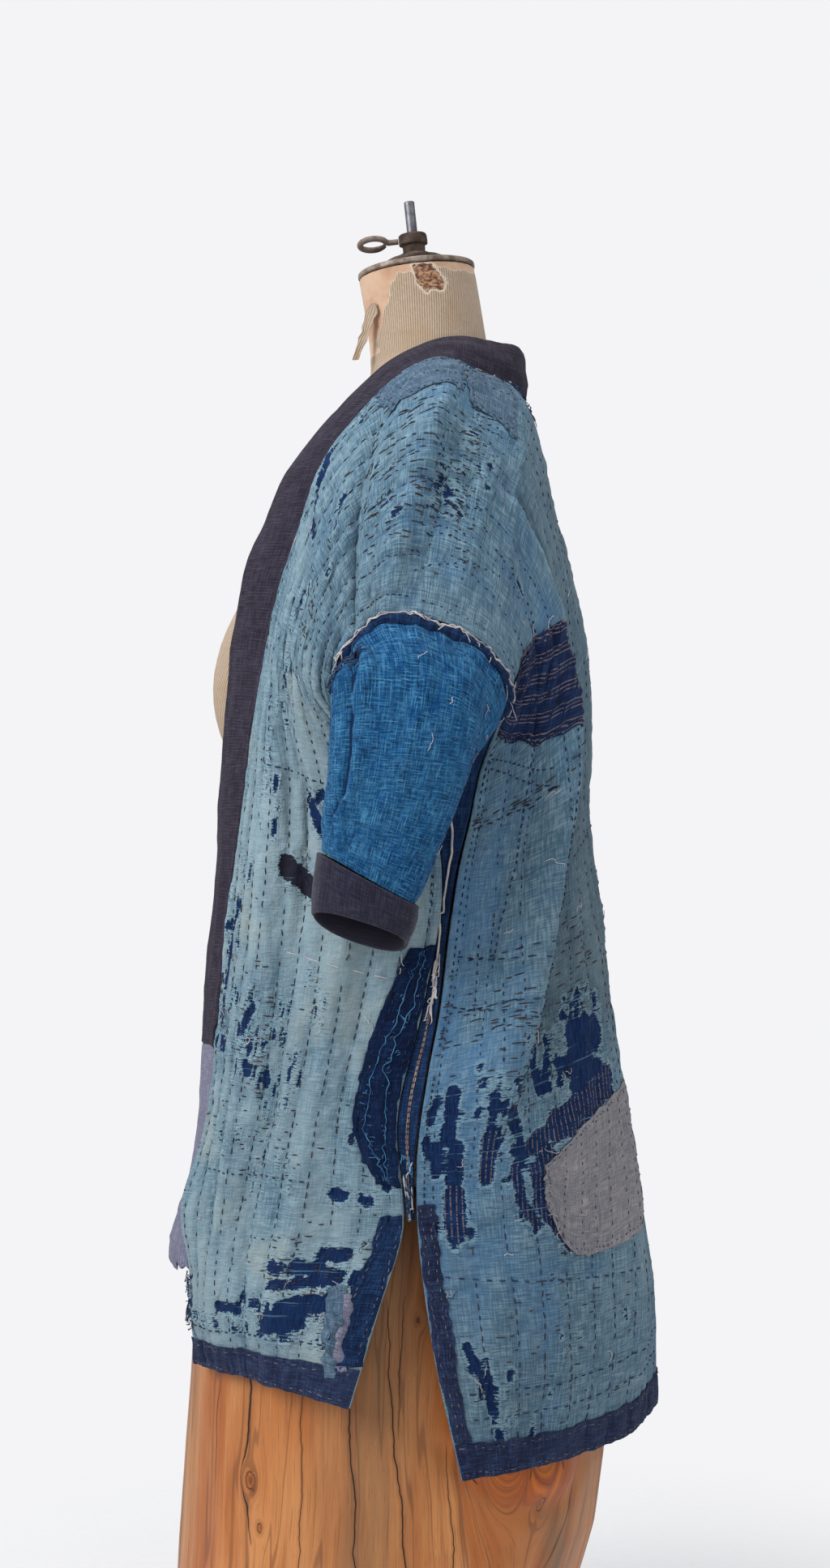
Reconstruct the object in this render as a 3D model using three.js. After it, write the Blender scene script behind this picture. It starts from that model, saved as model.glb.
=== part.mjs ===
// A boro noragi, the patched and mended indigo work jacket of rural Japan, worn open on a limbless
// dress form that stands on a polished trunk stump.
// Millimetres. +Z is up, the front of the jacket faces -Y and the wearer's left is +X.
// The origin is the middle of the stump's flat underside.
import * as THREE from "three";

// ---------------------------------------------------------------- sizes
const CLOTH = 2.4; // body cloth, several worn layers quilted together
const SLEEVE_CLOTH = 2.0;
const CUFF_CLOTH = 3.0;
const COLLAR_CLOTH = 3.6; // a folded band
const PATCH_CLOTH = 1.2;
const BAND_CLOTH = 1.4; // hem and vent bindings
const SEAM_GAP = 0.3; // clearance between one piece and the next
const CENTRE_BACK_GAP = 0.4; // between the two body strips down the back
const PANEL_WIDTH = 220; // finished width of one body strip, for laying out its folds
const ROW_SPACING = 70; // usual distance between its table rows
const ROLL_RADIUS = 5; // turned-out seam round the armhole
const ROLL_SEAT = 5.6; // from the strip's edge to the middle of the roll
const RING_POINTS = 24;
const GUSSET_PARTS = 4;
const FORM_POINTS = 36;
const STUMP_HEIGHT = 500;
const STUMP_POINTS = 32;
const ROD_RADIUS = 4.6;
const CLAMP_LEAN = 6; // degrees, the neck hardware leans to the front
const NECK_TOP = [0, 24.5, 1278.4]; // where the hardware's own axis meets the top of the neck
const SCREW = { height: 31, radius: 2.6, loopHalfLength: 11.5, loopHalfWidth: 8, loopTilt: 24 };

// ---------------------------------------------------------------- the left body strip
// One row per section of the strip, from the front hem up over the shoulder and down to the back hem.
// edge is the collar seam in front and the centre seam behind, side is the armhole and side seam.
const BODY_ROWS = [
  { name: "front hem", edge: [88, -161, 343], chest: [121, -137, 345], mid: [151, -111, 347], flank: [181, -77, 344], side: [201, -28, 335] },
  { name: "front skirt", edge: [94, -163, 402], chest: [126, -146, 404], mid: [156, -116, 407], flank: [184, -70, 410], side: [201, -6, 410] },
  { name: "vent top", edge: [104, -155, 478], chest: [135, -138, 478], mid: [164, -107, 479], flank: [189, -52, 479], side: [201, 14, 478] },
  { name: "front hip", edge: [120, -146, 568], chest: [149, -127, 567], mid: [176, -90, 566], flank: [191, -42, 564], side: [196, 9, 562] },
  { name: "front waist", edge: [133, -136, 662], chest: [160, -115, 660], mid: [184, -76, 658], flank: [192, -24, 656], side: [185, 30, 655] },
  { name: "front rib", edge: [144, -125, 752], chest: [169, -105, 750], mid: [189, -66, 748], flank: [193, -12, 745], side: [173, 44, 743] },
  { name: "under bust", edge: [149, -114, 840], chest: [174, -96, 836], mid: [194, -66, 828], flank: [197, -22, 816], side: [176, 34, 803] },
  { name: "bust", edge: [146, -103, 908], chest: [173, -92, 899], mid: [195, -74, 887], flank: [205, -43, 874], side: [195, -5, 862] },
  { name: "breast", edge: [139, -90, 975], chest: [169, -84, 960], mid: [194, -75, 937], flank: [209, -60, 912], side: [210, -36, 890] },
  { name: "chest", edge: [130, -70, 1042], chest: [163, -67, 1020], mid: [192, -60, 987], flank: [209, -50, 953], side: [214, -38, 925] },
  { name: "collarbone", edge: [116, -43, 1111], chest: [150, -40, 1093], mid: [185, -34, 1056], flank: [207, -26, 1006], side: [220, -17, 953] },
  { name: "shoulder", edge: [96, 45, 1185], chest: [135, 43, 1166], mid: [176, 37, 1126], flank: [203, 27, 1047], side: [223, 15, 963] },
  { name: "nape side", edge: [72, 84, 1175], chest: [112, 84, 1158], mid: [160, 78, 1115], flank: [199, 64, 1036], side: [221, 51, 954] },
  { name: "nape", edge: [32, 109, 1168], chest: [90, 112, 1148], mid: [148, 106, 1098], flank: [194, 89, 1012], side: [214, 79, 938] },
  { name: "centre neck", edge: [0, 119, 1160], chest: [73, 124, 1126], mid: [138, 118, 1072], flank: [185, 105, 985], side: [203, 95, 917] },
  { name: "shoulder blade", edge: [0, 137, 1080], chest: [70, 140, 1055], mid: [130, 136, 1010], flank: [172, 122, 943], side: [187, 91, 886] },
  { name: "upper back", edge: [0, 153, 1024], chest: [68, 154, 1000], mid: [124, 147, 955], flank: [165, 123, 892], side: [173, 77, 848] },
  { name: "back", edge: [0, 167, 965], chest: [66, 166, 940], mid: [122, 153, 890], flank: [162, 121, 830], side: [171, 67, 800] },
  { name: "low back", edge: [0, 172, 880], chest: [66, 169, 860], mid: [122, 152, 815], flank: [163, 114, 770], side: [175, 57, 755] },
  { name: "back waist", edge: [0, 170, 800], chest: [66, 167, 785], mid: [124, 150, 755], flank: [168, 109, 715], side: [181, 49, 700] },
  { name: "back hip", edge: [0, 182, 725], chest: [70, 176, 715], mid: [132, 152, 695], flank: [175, 105, 665], side: [188, 43, 650] },
  { name: "seat", edge: [0, 190, 645], chest: [74, 182, 640], mid: [140, 152, 628], flank: [183, 99, 610], side: [195, 33, 597] },
  { name: "low seat", edge: [0, 203, 565], chest: [76, 193, 562], mid: [146, 157, 556], flank: [190, 98, 545], side: [200, 25, 540] },
  { name: "back vent top", edge: [0, 218, 480], chest: [78, 204, 479], mid: [150, 162, 478], flank: [193, 100, 477], side: [201, 25, 476] },
  { name: "back skirt", edge: [0, 231, 390], chest: [76, 213, 389], mid: [147, 168, 386], flank: [190, 110, 384], side: [201, 37, 382] },
  { name: "back hem", edge: [0, 234, 285], chest: [70, 206, 283], mid: [132, 161, 281], flank: [174, 108, 279], side: [200, 59, 278] },
];
const ROW = Object.fromEntries(BODY_ROWS.map((row, k) => [row.name, k]));

// Main folds of a strip: a soft ridge (or a trough, where height is negative) that runs from one place
// (across, row) to another. lean pushes the crest sideways, towards the side seam where positive.
const LEFT_FOLDS = [
  { name: "great back pleat", from: [0.62, 16.2], to: [0.81, 21.4], width: 17, height: 13, lean: -8 },
  { name: "behind the pleat", from: [0.49, 16.2], to: [0.62, 21.2], width: 18, height: -11, lean: 0 },
  { name: "shoulder ridge", from: [0.36, 11.3], to: [0.86, 10.6], width: 19, height: 5, lean: 0 },
  { name: "shoulder hollow", from: [0.32, 10.6], to: [0.86, 9.9], width: 19, height: -6, lean: 0 },
  { name: "chest ridge", from: [0.3, 9.7], to: [0.84, 9.0], width: 17, height: 4, lean: 0 },
  { name: "front pleat", from: [0.34, 8.0], to: [0.3, 1.2], width: 11, height: 5, lean: 0 },
  { name: "front trough", from: [0.5, 7.4], to: [0.46, 1.4], width: 13, height: -5, lean: 0 },
  { name: "front side pleat", from: [0.68, 6.2], to: [0.66, 0.4], width: 12, height: 5, lean: 0 },
  { name: "skirt swell", from: [0.34, 20.5], to: [0.3, 25.0], width: 24, height: 6, lean: 0 },
];
const RIGHT_FOLDS = [
  { name: "great back pleat", from: [0.58, 16.6], to: [0.7, 22.2], width: 17, height: 12, lean: -7 },
  { name: "behind the pleat", from: [0.45, 16.6], to: [0.56, 21.8], width: 18, height: -10, lean: 0 },
  { name: "shoulder ridge", from: [0.34, 11.6], to: [0.84, 11.1], width: 19, height: 5, lean: 0 },
  { name: "shoulder hollow", from: [0.36, 10.5], to: [0.84, 10.0], width: 19, height: -5, lean: 0 },
  { name: "front pleat", from: [0.3, 8.2], to: [0.36, 0.8], width: 12, height: 5, lean: 0 },
  { name: "front trough", from: [0.46, 7.0], to: [0.52, 1.0], width: 13, height: -5, lean: 0 },
  { name: "front side pleat", from: [0.72, 6.0], to: [0.62, 0.6], width: 13, height: 5, lean: 0 },
  { name: "skirt swell", from: [0.4, 21.0], to: [0.36, 25.0], width: 22, height: 5, lean: 0 },
];

// Where the strip is divided across and along, so that every band and patch laid on it has its
// borders on the same lines.
const ACROSS = [0, 0.1, 0.2, 0.3, 0.4, 0.5, 0.6, 0.7, 0.8, 0.9, 1];
const ALONG = [
  0, 0.45, 1, 1.55, 2.1, 2.6, 3.05, 3.5, 4, 4.5, 5, 5.5, 6, 6.5, 7, 7.5, 8, 8.5, 9, 9.5, 10, 10.25,
  10.5, 10.75, 11, 11.25, 11.5, 12, 12.5, 13, 13.5, 14, 14.5, 15, 15.5, 16, 16.5, 17.1, 17.7, 18.3,
  18.9, 19.5, 20.1, 20.7, 21.3, 22, 22.7, 23.4, 24.1, 24.74, 25,
];

// ---------------------------------------------------------------- the collar
// The outer edge of the band at places along the strip's edge, from the front to the centre back.
const COLLAR_ROWS = [
  { along: 3.505, edge: [79, -154.7, 612], bulge: 2 },
  { along: 4.1, edge: [88, -151, 671], bulge: 2 },
  { along: 4.87, edge: [98, -142, 740], bulge: 3 },
  { along: 5.65, edge: [105, -139, 808], bulge: 3 },
  { along: 6.5, edge: [108, -134, 876], bulge: 3 },
  { along: 7.5, edge: [105, -128, 946], bulge: 3 },
  { along: 8.55, edge: [99, -116, 1015], bulge: 3 },
  { along: 9.1, edge: [92, -101, 1051], bulge: 3 },
  { along: 9.7, edge: [85, -84, 1090], bulge: 3 },
  { along: 10.15, edge: [77, -60, 1124], bulge: 3 },
  { along: 10.45, edge: [70, -34, 1155], bulge: 3 },
  { along: 10.7, edge: [65, -8, 1181], bulge: 3 },
  { along: 10.88, edge: [61, 15, 1197], bulge: 3 },
  { along: 11.15, edge: [58, 42, 1208], bulge: 3 },
  { along: 11.6, edge: [53, 66, 1212], bulge: 3 },
  { along: 12.3, edge: [41, 90, 1211], bulge: 3 },
  { along: 13.2, edge: [20, 109, 1211], bulge: 3 },
  { along: 14, edge: [0, 115, 1210], bulge: 2 },
];
// The worn lower run of the band, down to its frayed end.
const COLLAR_END_ROWS = [
  { along: 1.12, edge: [58, -182, 413], bulge: 0 },
  { along: 1.3, edge: [52, -187, 424], bulge: 1 },
  { along: 1.75, edge: [58, -180, 461], bulge: 1 },
  { along: 2.2, edge: [64, -168, 497], bulge: 1 },
  { along: 2.6, edge: [68, -161, 531], bulge: 2 },
  { along: 3.495, edge: [78.8, -154.8, 610.8], bulge: 2 },
];

// ---------------------------------------------------------------- sleeve and cuff
// Rings down the sleeve, each by its four sides.
const SLEEVE_ROWS = [
  { name: "below the armhole", front: [227, -42, 901], outer: [250, 17, 920], back: [222, 77, 886], inner: [213, 32, 852] },
  { name: "upper arm", front: [230, -43, 864], outer: [259, 14, 868], back: [229, 69, 858], inner: [216, 20, 846] },
  { name: "elbow", front: [232, -46, 820], outer: [261, 4, 814], back: [230, 51, 803], inner: [218, 5, 804] },
  { name: "forearm", front: [233, -49, 778], outer: [258, -13, 757], back: [232, 22, 737], inner: [218, -12, 757] },
];
const CUFF_ROWS = [
  { name: "cuff seam", front: [233, -52, 777], outer: [260, -13, 756], back: [233, 25, 735], inner: [216, -12, 756] },
  { name: "cuff middle", front: [233, -55, 753], outer: [260, -15, 738], back: [233, 21, 719], inner: [215, -15, 736] },
  { name: "cuff edge", front: [232, -56, 728], outer: [259, -17, 724], back: [233, 16, 705], inner: [214, -20, 704] },
];

// ---------------------------------------------------------------- side gusset
// Each row joins a place along the front's side edge to one along the back's, and sags inwards between.
const GUSSET_ROWS = [
  { front: 2.12, back: 22.88, sag: 1 },
  { front: 3, back: 21.62, sag: 2 },
  { front: 4, back: 19.9, sag: 3 },
  { front: 5, back: 18.2, sag: 4 },
  { front: 6, back: 16.95, sag: 4 },
  { front: 6.5, back: 16.2, sag: 3 },
  { front: 7, back: 15, sag: -2 },
];

// ---------------------------------------------------------------- the dress form
// Level sections of the form: half its width, and how far it reaches to the front and to the back.
const FORM_ROWS = [
  { z: 500.3, half: 150, front: -96, back: 116 },
  { z: 506, half: 162, front: -103, back: 123 },
  { z: 560, half: 170, front: -108, back: 130 },
  { z: 630, half: 167, front: -106, back: 122 },
  { z: 700, half: 152, front: -97, back: 103 },
  { z: 755, half: 125, front: -88, back: 86 },
  { z: 820, half: 131, front: -98, back: 92 },
  { z: 890, half: 144, front: -106, back: 106 },
  { z: 960, half: 152, front: -106, back: 116 },
  { z: 1020, half: 160, front: -94, back: 118 },
  { z: 1072, half: 168, front: -75, back: 114 },
  { z: 1113, half: 165, front: -53, back: 107 },
  { z: 1137.1, half: 149, front: -38.2, back: 100 },
  { z: 1156, half: 124, front: -28.9, back: 94 },
  { z: 1172, half: 92, front: -22, back: 90 },
  { z: 1184, half: 71, front: -17, back: 89 },
  { z: 1201, half: 58.6, front: -16, back: 88 },
  { z: 1240, half: 52, front: -20, back: 82 },
  { z: 1278, half: 50.5, front: -26, back: 75 },
];
const BUST = { x: 72, z: 905, height: 52, wide: 54, tall: 112 };
const NECK_LEAN = 6; // degrees, the top of the neck tips to the front

// ---------------------------------------------------------------- the stump
// Level sections of the trunk: half its width and depth, its middle and how strong its lobes are.
const STUMP_ROWS = [
  { z: 0, half: 178, depth: 170, y: -18, lobe: 4 },
  { z: 8, half: 183, depth: 175, y: -18, lobe: 5 },
  { z: 140, half: 180, depth: 175, y: -9, lobe: 6 },
  { z: 190, half: 178, depth: 181, y: 0, lobe: 6 },
  { z: 250, half: 175, depth: 185, y: 6, lobe: 5 },
  { z: 345, half: 171, depth: 180, y: 6, lobe: 3 },
  { z: 430, half: 168, depth: 172, y: 5, lobe: 2 },
  { z: 484, half: 166, depth: 168, y: 5, lobe: 2 },
  { z: 496, half: 161, depth: 163, y: 5, lobe: 2 },
  { z: STUMP_HEIGHT, half: 152, depth: 154, y: 5, lobe: 2 },
];

// ---------------------------------------------------------------- the neck hardware
// Profiles [radius, height] up the leaning axis, from the top of the neck. The rod passes through the
// clamp collar and the flange with a running clearance.
const BORE = ROD_RADIUS + SEAM_GAP;
const CAP_PROFILE = [[48.5, 0.4], [51.5, 1.6], [51.5, 4.8], [49, 5.8], [36, 7.4], [20, 8.8]];
const FLANGE_PROFILE = [[BORE, 9.2], [20, 9.2], [23, 11], [23, 14.5], [17, 17.5], [12, 19], [BORE, 19]];
const CLAMP_PROFILE = [[BORE, 19.4], [9.8, 19.4], [9.8, 25.5], [12.4, 27], [12.4, 35], [11.2, 36.2], [BORE, 36.2]];

// ---------------------------------------------------------------- vectors
const add = (a, b) => [a[0] + b[0], a[1] + b[1], a[2] + b[2]];
const sub = (a, b) => [a[0] - b[0], a[1] - b[1], a[2] - b[2]];
const times = (a, s) => [a[0] * s, a[1] * s, a[2] * s];
const cross = (a, b) => [
  a[1] * b[2] - a[2] * b[1],
  a[2] * b[0] - a[0] * b[2],
  a[0] * b[1] - a[1] * b[0],
];
const dot = (a, b) => a[0] * b[0] + a[1] * b[1] + a[2] * b[2];
const size = (a) => Math.hypot(a[0], a[1], a[2]);
const unit = (a) => times(a, 1 / (size(a) || 1));
const middle = (a, b) => times(add(a, b), 0.5);
const smooth = (x) => {
  const t = Math.min(1, Math.max(0, x));
  return t * t * (3 - 2 * t);
};
const mirror = (p) => [-p[0], p[1], p[2]];

// Distance run along a line of points, at each of them.
function lengthsOf(points) {
  const lengths = [0];
  for (let k = 1; k < points.length; k++) lengths.push(lengths[k - 1] + size(sub(points[k], points[k - 1])));
  return lengths;
}

// A smooth curve through points, asked for by the number of the point and a fraction beyond it.
function curve(points) {
  const n = points.length;
  const knots = [0];
  for (let k = 1; k < n; k++) knots.push(knots[k - 1] + Math.max(1e-6, size(sub(points[k], points[k - 1]))));
  const slopes = slopesOf(knots, points);
  return (place) => hermite(knots, points, slopes, place);
}

// Slopes at uneven knots, from the parabola through each three neighbours.
function slopesOf(knots, points) {
  const n = points.length;
  const chord = (k) => times(sub(points[k + 1], points[k]), 1 / (knots[k + 1] - knots[k]));
  return points.map((_, k) => {
    if (k === 0) return chord(0);
    if (k === n - 1) return chord(n - 2);
    const before = knots[k] - knots[k - 1];
    const after = knots[k + 1] - knots[k];
    return times(add(times(chord(k - 1), after), times(chord(k), before)), 1 / (before + after));
  });
}

function hermite(knots, points, slopes, place) {
  const k = Math.min(points.length - 2, Math.max(0, Math.floor(place)));
  const t = place - k;
  const h = knots[k + 1] - knots[k];
  const t2 = t * t;
  const t3 = t2 * t;
  const start = add(times(points[k], 2 * t3 - 3 * t2 + 1), times(slopes[k], h * (t3 - 2 * t2 + t)));
  const end = add(times(points[k + 1], 3 * t2 - 2 * t3), times(slopes[k + 1], h * (t3 - t2)));
  return add(start, end);
}

// ---------------------------------------------------------------- the strip as a surface
class Strip {
  constructor(rows, folds) {
    this.folds = folds;
    const columns = [0, 1, 2, 3, 4].map((c) =>
      rows.map((row) => [row.edge, row.chest, row.mid, row.flank, row.side][c]),
    );
    const knots = [0];
    for (let k = 1; k < rows.length; k++) {
      let chord = 0;
      for (const column of columns) chord += size(sub(column[k], column[k - 1])) / columns.length;
      knots.push(knots[k - 1] + chord);
    }
    this.columns = columns.map((points) => ({ points, knots, slopes: slopesOf(knots, points) }));
    this.centreNeck = ROW["centre neck"];
  }

  // The bare surface, before folds. across runs 0 to 1, along is a row number.
  plain(across, along) {
    const five = this.columns.map((c) => hermite(c.knots, c.points, c.slopes, along));
    const p = curve(five)(Math.min(4, Math.max(0, across * 4)));
    if (along > this.centreNeck - 0.6) p[0] = Math.max(p[0], CENTRE_BACK_GAP / 2);
    return p;
  }

  frame(across, along) {
    const e = 0.01;
    const a0 = Math.max(0, across - e);
    const a1 = Math.min(1, across + e);
    const s0 = Math.max(0, along - e);
    const s1 = Math.min(this.columns[0].points.length - 1, along + e);
    const side = unit(sub(this.plain(a1, along), this.plain(a0, along)));
    const up = unit(sub(this.plain(across, s1), this.plain(across, s0)));
    return { side, up, out: unit(cross(side, up)) };
  }

  at(across, along) {
    let p = this.plain(across, along);
    const { side, out } = this.frame(across, along);
    for (const fold of this.folds) {
      const start = [fold.from[0] * PANEL_WIDTH, fold.from[1] * ROW_SPACING];
      const run = [fold.to[0] * PANEL_WIDTH - start[0], fold.to[1] * ROW_SPACING - start[1]];
      const here = [across * PANEL_WIDTH - start[0], along * ROW_SPACING - start[1]];
      const length = Math.hypot(...run);
      const t = (here[0] * run[0] + here[1] * run[1]) / length ** 2;
      if (t < -0.25 || t > 1.25) continue;
      const away = (here[0] * run[1] - here[1] * run[0]) / length / fold.width;
      const ends = smooth((t + 0.25) / 0.4) * smooth((1.25 - t) / 0.4);
      const rims = smooth(across / 0.12) * smooth((1 - across) / 0.12);
      const rise = Math.exp(-away * away) * ends * rims;
      p = add(p, add(times(out, fold.height * rise), times(side, fold.lean * rise)));
    }
    return p;
  }
}

// ---------------------------------------------------------------- closed shells
// Unit normals of a grid of points, rows by columns. A ring grid wraps across.
function gridNormals(grid, ring = false) {
  const rows = grid.length;
  const cols = grid[0].length;
  return grid.map((line, i) =>
    line.map((_, j) => {
      const left = ring ? line[(j + cols - 1) % cols] : line[Math.max(0, j - 1)];
      const right = ring ? line[(j + 1) % cols] : line[Math.min(cols - 1, j + 1)];
      const below = grid[Math.max(0, i - 1)][j];
      const above = grid[Math.min(rows - 1, i + 1)][j];
      return unit(cross(sub(right, left), sub(above, below)));
    }),
  );
}

const raised = (grid, normals, height) => grid.map((line, i) => line.map((p, j) => add(p, times(normals[i][j], height))));

// A wall of cloth between two sheets of points that have the same layout.
function wall(inner, outer, ring = false) {
  const rows = inner.length;
  const cols = inner[0].length;
  const points = [...inner.flat(), ...outer.flat()];
  const faces = [];
  const at = (i, j) => i * cols + ((j + cols) % cols);
  const lift = rows * cols;
  const quad = (a, b, c, d) => faces.push([a, b, c], [a, c, d]);
  const last = ring ? cols : cols - 1;
  for (let i = 0; i < rows - 1; i++) {
    for (let j = 0; j < last; j++) {
      quad(lift + at(i, j), lift + at(i, j + 1), lift + at(i + 1, j + 1), lift + at(i + 1, j));
      quad(at(i, j), at(i + 1, j), at(i + 1, j + 1), at(i, j + 1));
    }
  }
  for (let j = 0; j < last; j++) {
    quad(at(0, j), at(0, j + 1), lift + at(0, j + 1), lift + at(0, j));
    quad(at(rows - 1, j + 1), at(rows - 1, j), lift + at(rows - 1, j), lift + at(rows - 1, j + 1));
  }
  if (!ring) {
    for (let i = 0; i < rows - 1; i++) {
      quad(at(i + 1, 0), at(i, 0), lift + at(i, 0), lift + at(i + 1, 0));
      quad(at(i, cols - 1), at(i + 1, cols - 1), lift + at(i + 1, cols - 1), lift + at(i, cols - 1));
    }
  }
  return solid(points, faces);
}

// A solid through a stack of rings, closed at both ends by a fan round the ring's middle.
function stack(rings) {
  const cols = rings[0].length;
  const points = rings.flat();
  const faces = [];
  for (let i = 0; i < rings.length - 1; i++) {
    for (let j = 0; j < cols; j++) {
      const k = (j + 1) % cols;
      const a = i * cols + j;
      const b = i * cols + k;
      faces.push([a, b, b + cols], [a, b + cols, a + cols]);
    }
  }
  for (const [ring, base, turn] of [
    [rings[0], 0, 1],
    [rings.at(-1), (rings.length - 1) * cols, 0],
  ]) {
    const hub = points.length;
    points.push(times(ring.reduce(add), 1 / cols));
    for (let j = 0; j < cols; j++) {
      const k = (j + 1) % cols;
      faces.push(turn ? [hub, base + k, base + j] : [hub, base + j, base + k]);
    }
  }
  return solid(points, faces);
}

// A closed geometry with its faces turned outwards.
function solid(points, faces) {
  let volume = 0;
  for (const [a, b, c] of faces) {
    const n = cross(points[b], points[c]);
    volume += points[a][0] * n[0] + points[a][1] * n[1] + points[a][2] * n[2];
  }
  const index = faces.flatMap(([a, b, c]) => (volume < 0 ? [a, c, b] : [a, b, c]));
  const geometry = new THREE.BufferGeometry();
  geometry.setAttribute("position", new THREE.Float32BufferAttribute(points.flat(), 3));
  geometry.setIndex(index);
  return geometry;
}

// ---------------------------------------------------------------- the cloth of one side
class Half {
  constructor(isLeft) {
    this.isLeft = isLeft;
    this.strip = new Strip(BODY_ROWS, isLeft ? LEFT_FOLDS : RIGHT_FOLDS);
    this.grid = ALONG.map((v) => ACROSS.map((u) => this.strip.at(u, v)));
    this.normals = gridNormals(this.grid);
  }

  // Mirrors a sheet of points for the right side.
  place(sheet) {
    return this.isLeft ? sheet : sheet.map((line) => line.map(mirror));
  }

  shell(grid, normals, low, high, ring = false) {
    return wall(this.place(raised(grid, normals, low)), this.place(raised(grid, normals, high)), ring);
  }

  body() {
    return this.shell(this.grid, this.normals, 0, CLOTH);
  }

  // Part of the strip's own points, between two lines across and two along, drawn in by half a seam
  // gap on every border.
  part(fromAcross, toAcross, fromAlong, toAlong) {
    const cut = (sheet) =>
      sheet
        .filter((_, i) => ALONG[i] >= fromAlong - 1e-6 && ALONG[i] <= toAlong + 1e-6)
        .map((line) => line.filter((_, j) => ACROSS[j] >= fromAcross - 1e-6 && ACROSS[j] <= toAcross + 1e-6));
    const grid = cut(this.grid);
    const drawIn = (from, to) => add(from, times(unit(sub(to, from)), SEAM_GAP / 2 + 0.05));
    for (const line of grid) {
      [line[0], line[line.length - 1]] = [drawIn(line[0], line[1]), drawIn(line.at(-1), line.at(-2))];
    }
    const n = grid.length;
    const first = grid[0].map((p, j) => drawIn(p, grid[1][j]));
    const last = grid[n - 1].map((p, j) => drawIn(p, grid[n - 2][j]));
    return { grid: [first, ...grid.slice(1, -1), last], normals: cut(this.normals) };
  }

  // A piece laid flat on the strip.
  overlay(fromAcross, toAcross, fromAlong, toAlong, thickness) {
    const { grid, normals } = this.part(fromAcross, toAcross, fromAlong, toAlong);
    const low = CLOTH + SEAM_GAP;
    return this.shell(grid, normals, low, low + thickness);
  }

  // A place on one of the strip's own straight-edged facets, along its collar edge (line 0) or its
  // side edge (the last line), with the way that leads out of the cloth.
  rim(line, along) {
    let k = 0;
    while (k < ALONG.length - 2 && ALONG[k + 1] < along) k++;
    const t = (along - ALONG[k]) / (ALONG[k + 1] - ALONG[k]);
    const blend = (sheet) => add(times(sheet[k][line], 1 - t), times(sheet[k + 1][line], t));
    const next = line === 0 ? 1 : line - 1;
    const inwards = sub(add(times(this.grid[k][next], 1 - t), times(this.grid[k + 1][next], t)), blend(this.grid));
    return { p: blend(this.grid), face: unit(blend(this.normals)), out: unit(times(inwards, -1)) };
  }

  // The ribbon from the strip's edge out to the band's outer edge.
  ribbon(rows) {
    const edges = curve(rows.map((row) => row.edge));
    const first = rows[0].along;
    const last = rows.at(-1).along;
    const places = [first, ...ALONG.filter((v) => v > first + 0.02 && v < last - 0.02), last];
    const grid = [];
    const normals = [];
    for (const along of places) {
      let k = 0;
      while (k < rows.length - 2 && rows[k + 1].along < along) k++;
      const t = (along - rows[k].along) / (rows[k + 1].along - rows[k].along);
      const bulge = rows[k].bulge * (1 - t) + rows[k + 1].bulge * t;
      const edge = edges(k + t);
      const seam = this.rim(0, along);
      const reach = sub(edge, seam.p);
      const start = add(seam.p, times(unit(reach), SEAM_GAP * 2.5));
      const way = sub(this.rim(0, Math.min(14, along + 0.1)).p, this.rim(0, along - 0.1).p);
      const face = unit(cross(times(reach, -1), way));
      const mid = add(middle(start, edge), times(face, bulge));
      grid.push([edge, mid, start]);
      normals.push([face, face, unit(add(face, times(seam.face, 2)))]);
    }
    return { grid, normals };
  }

  // Points of the armhole, from low in front over the shoulder line to low behind, then back
  // underneath along the gusset. Each has the run of the edge there and the way out of the cloth.
  armhole() {
    const last = ACROSS.length - 1;
    const onStrip = (along) => {
      const { p, face, out } = this.rim(last, along);
      return { p: add(p, times(face, CLOTH / 2)), face, out };
    };
    const loop = [];
    for (let along = 8; along <= 15; along += 0.5) loop.push(onStrip(along));
    const { grid, normals } = this.gussetSheet();
    const top = curve(grid.at(-1));
    const below = curve(grid.at(-2));
    const faces = curve(normals.at(-1));
    for (let i = 1; i <= 7; i++) {
      const place = (1 - i / 8) * (grid[0].length - 1);
      const face = unit(faces(place));
      loop.push({ p: add(top(place), times(face, CLOTH / 2)), face, out: sub(top(place), below(place)) });
    }
    loop.push(onStrip(7), onStrip(7.5));
    const n = loop.length;
    return loop.map(({ p, face, out }, i) => {
      const ahead = unit(sub(loop[(i + 1) % n].p, loop[(i + n - 1) % n].p));
      const across = unit(cross(face, ahead));
      return { p, ahead, way: dot(across, out) < 0 ? times(across, -1) : across };
    });
  }

  roll() {
    const loop = this.armhole();
    const rings = loop.map(({ p: edge, ahead, way }) => {
      const p = add(edge, times(way, ROLL_SEAT));
      const up = unit(cross(ahead, way));
      return [0, 1, 2, 3, 4, 5].map((k) => {
        const turn = (k / 6) * Math.PI * 2;
        const reach = add(times(way, Math.cos(turn)), times(up, Math.sin(turn)));
        return add(p, times(reach, ROLL_RADIUS));
      });
    });
    const sheet = this.place(rings);
    return torus(sheet);
  }

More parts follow.
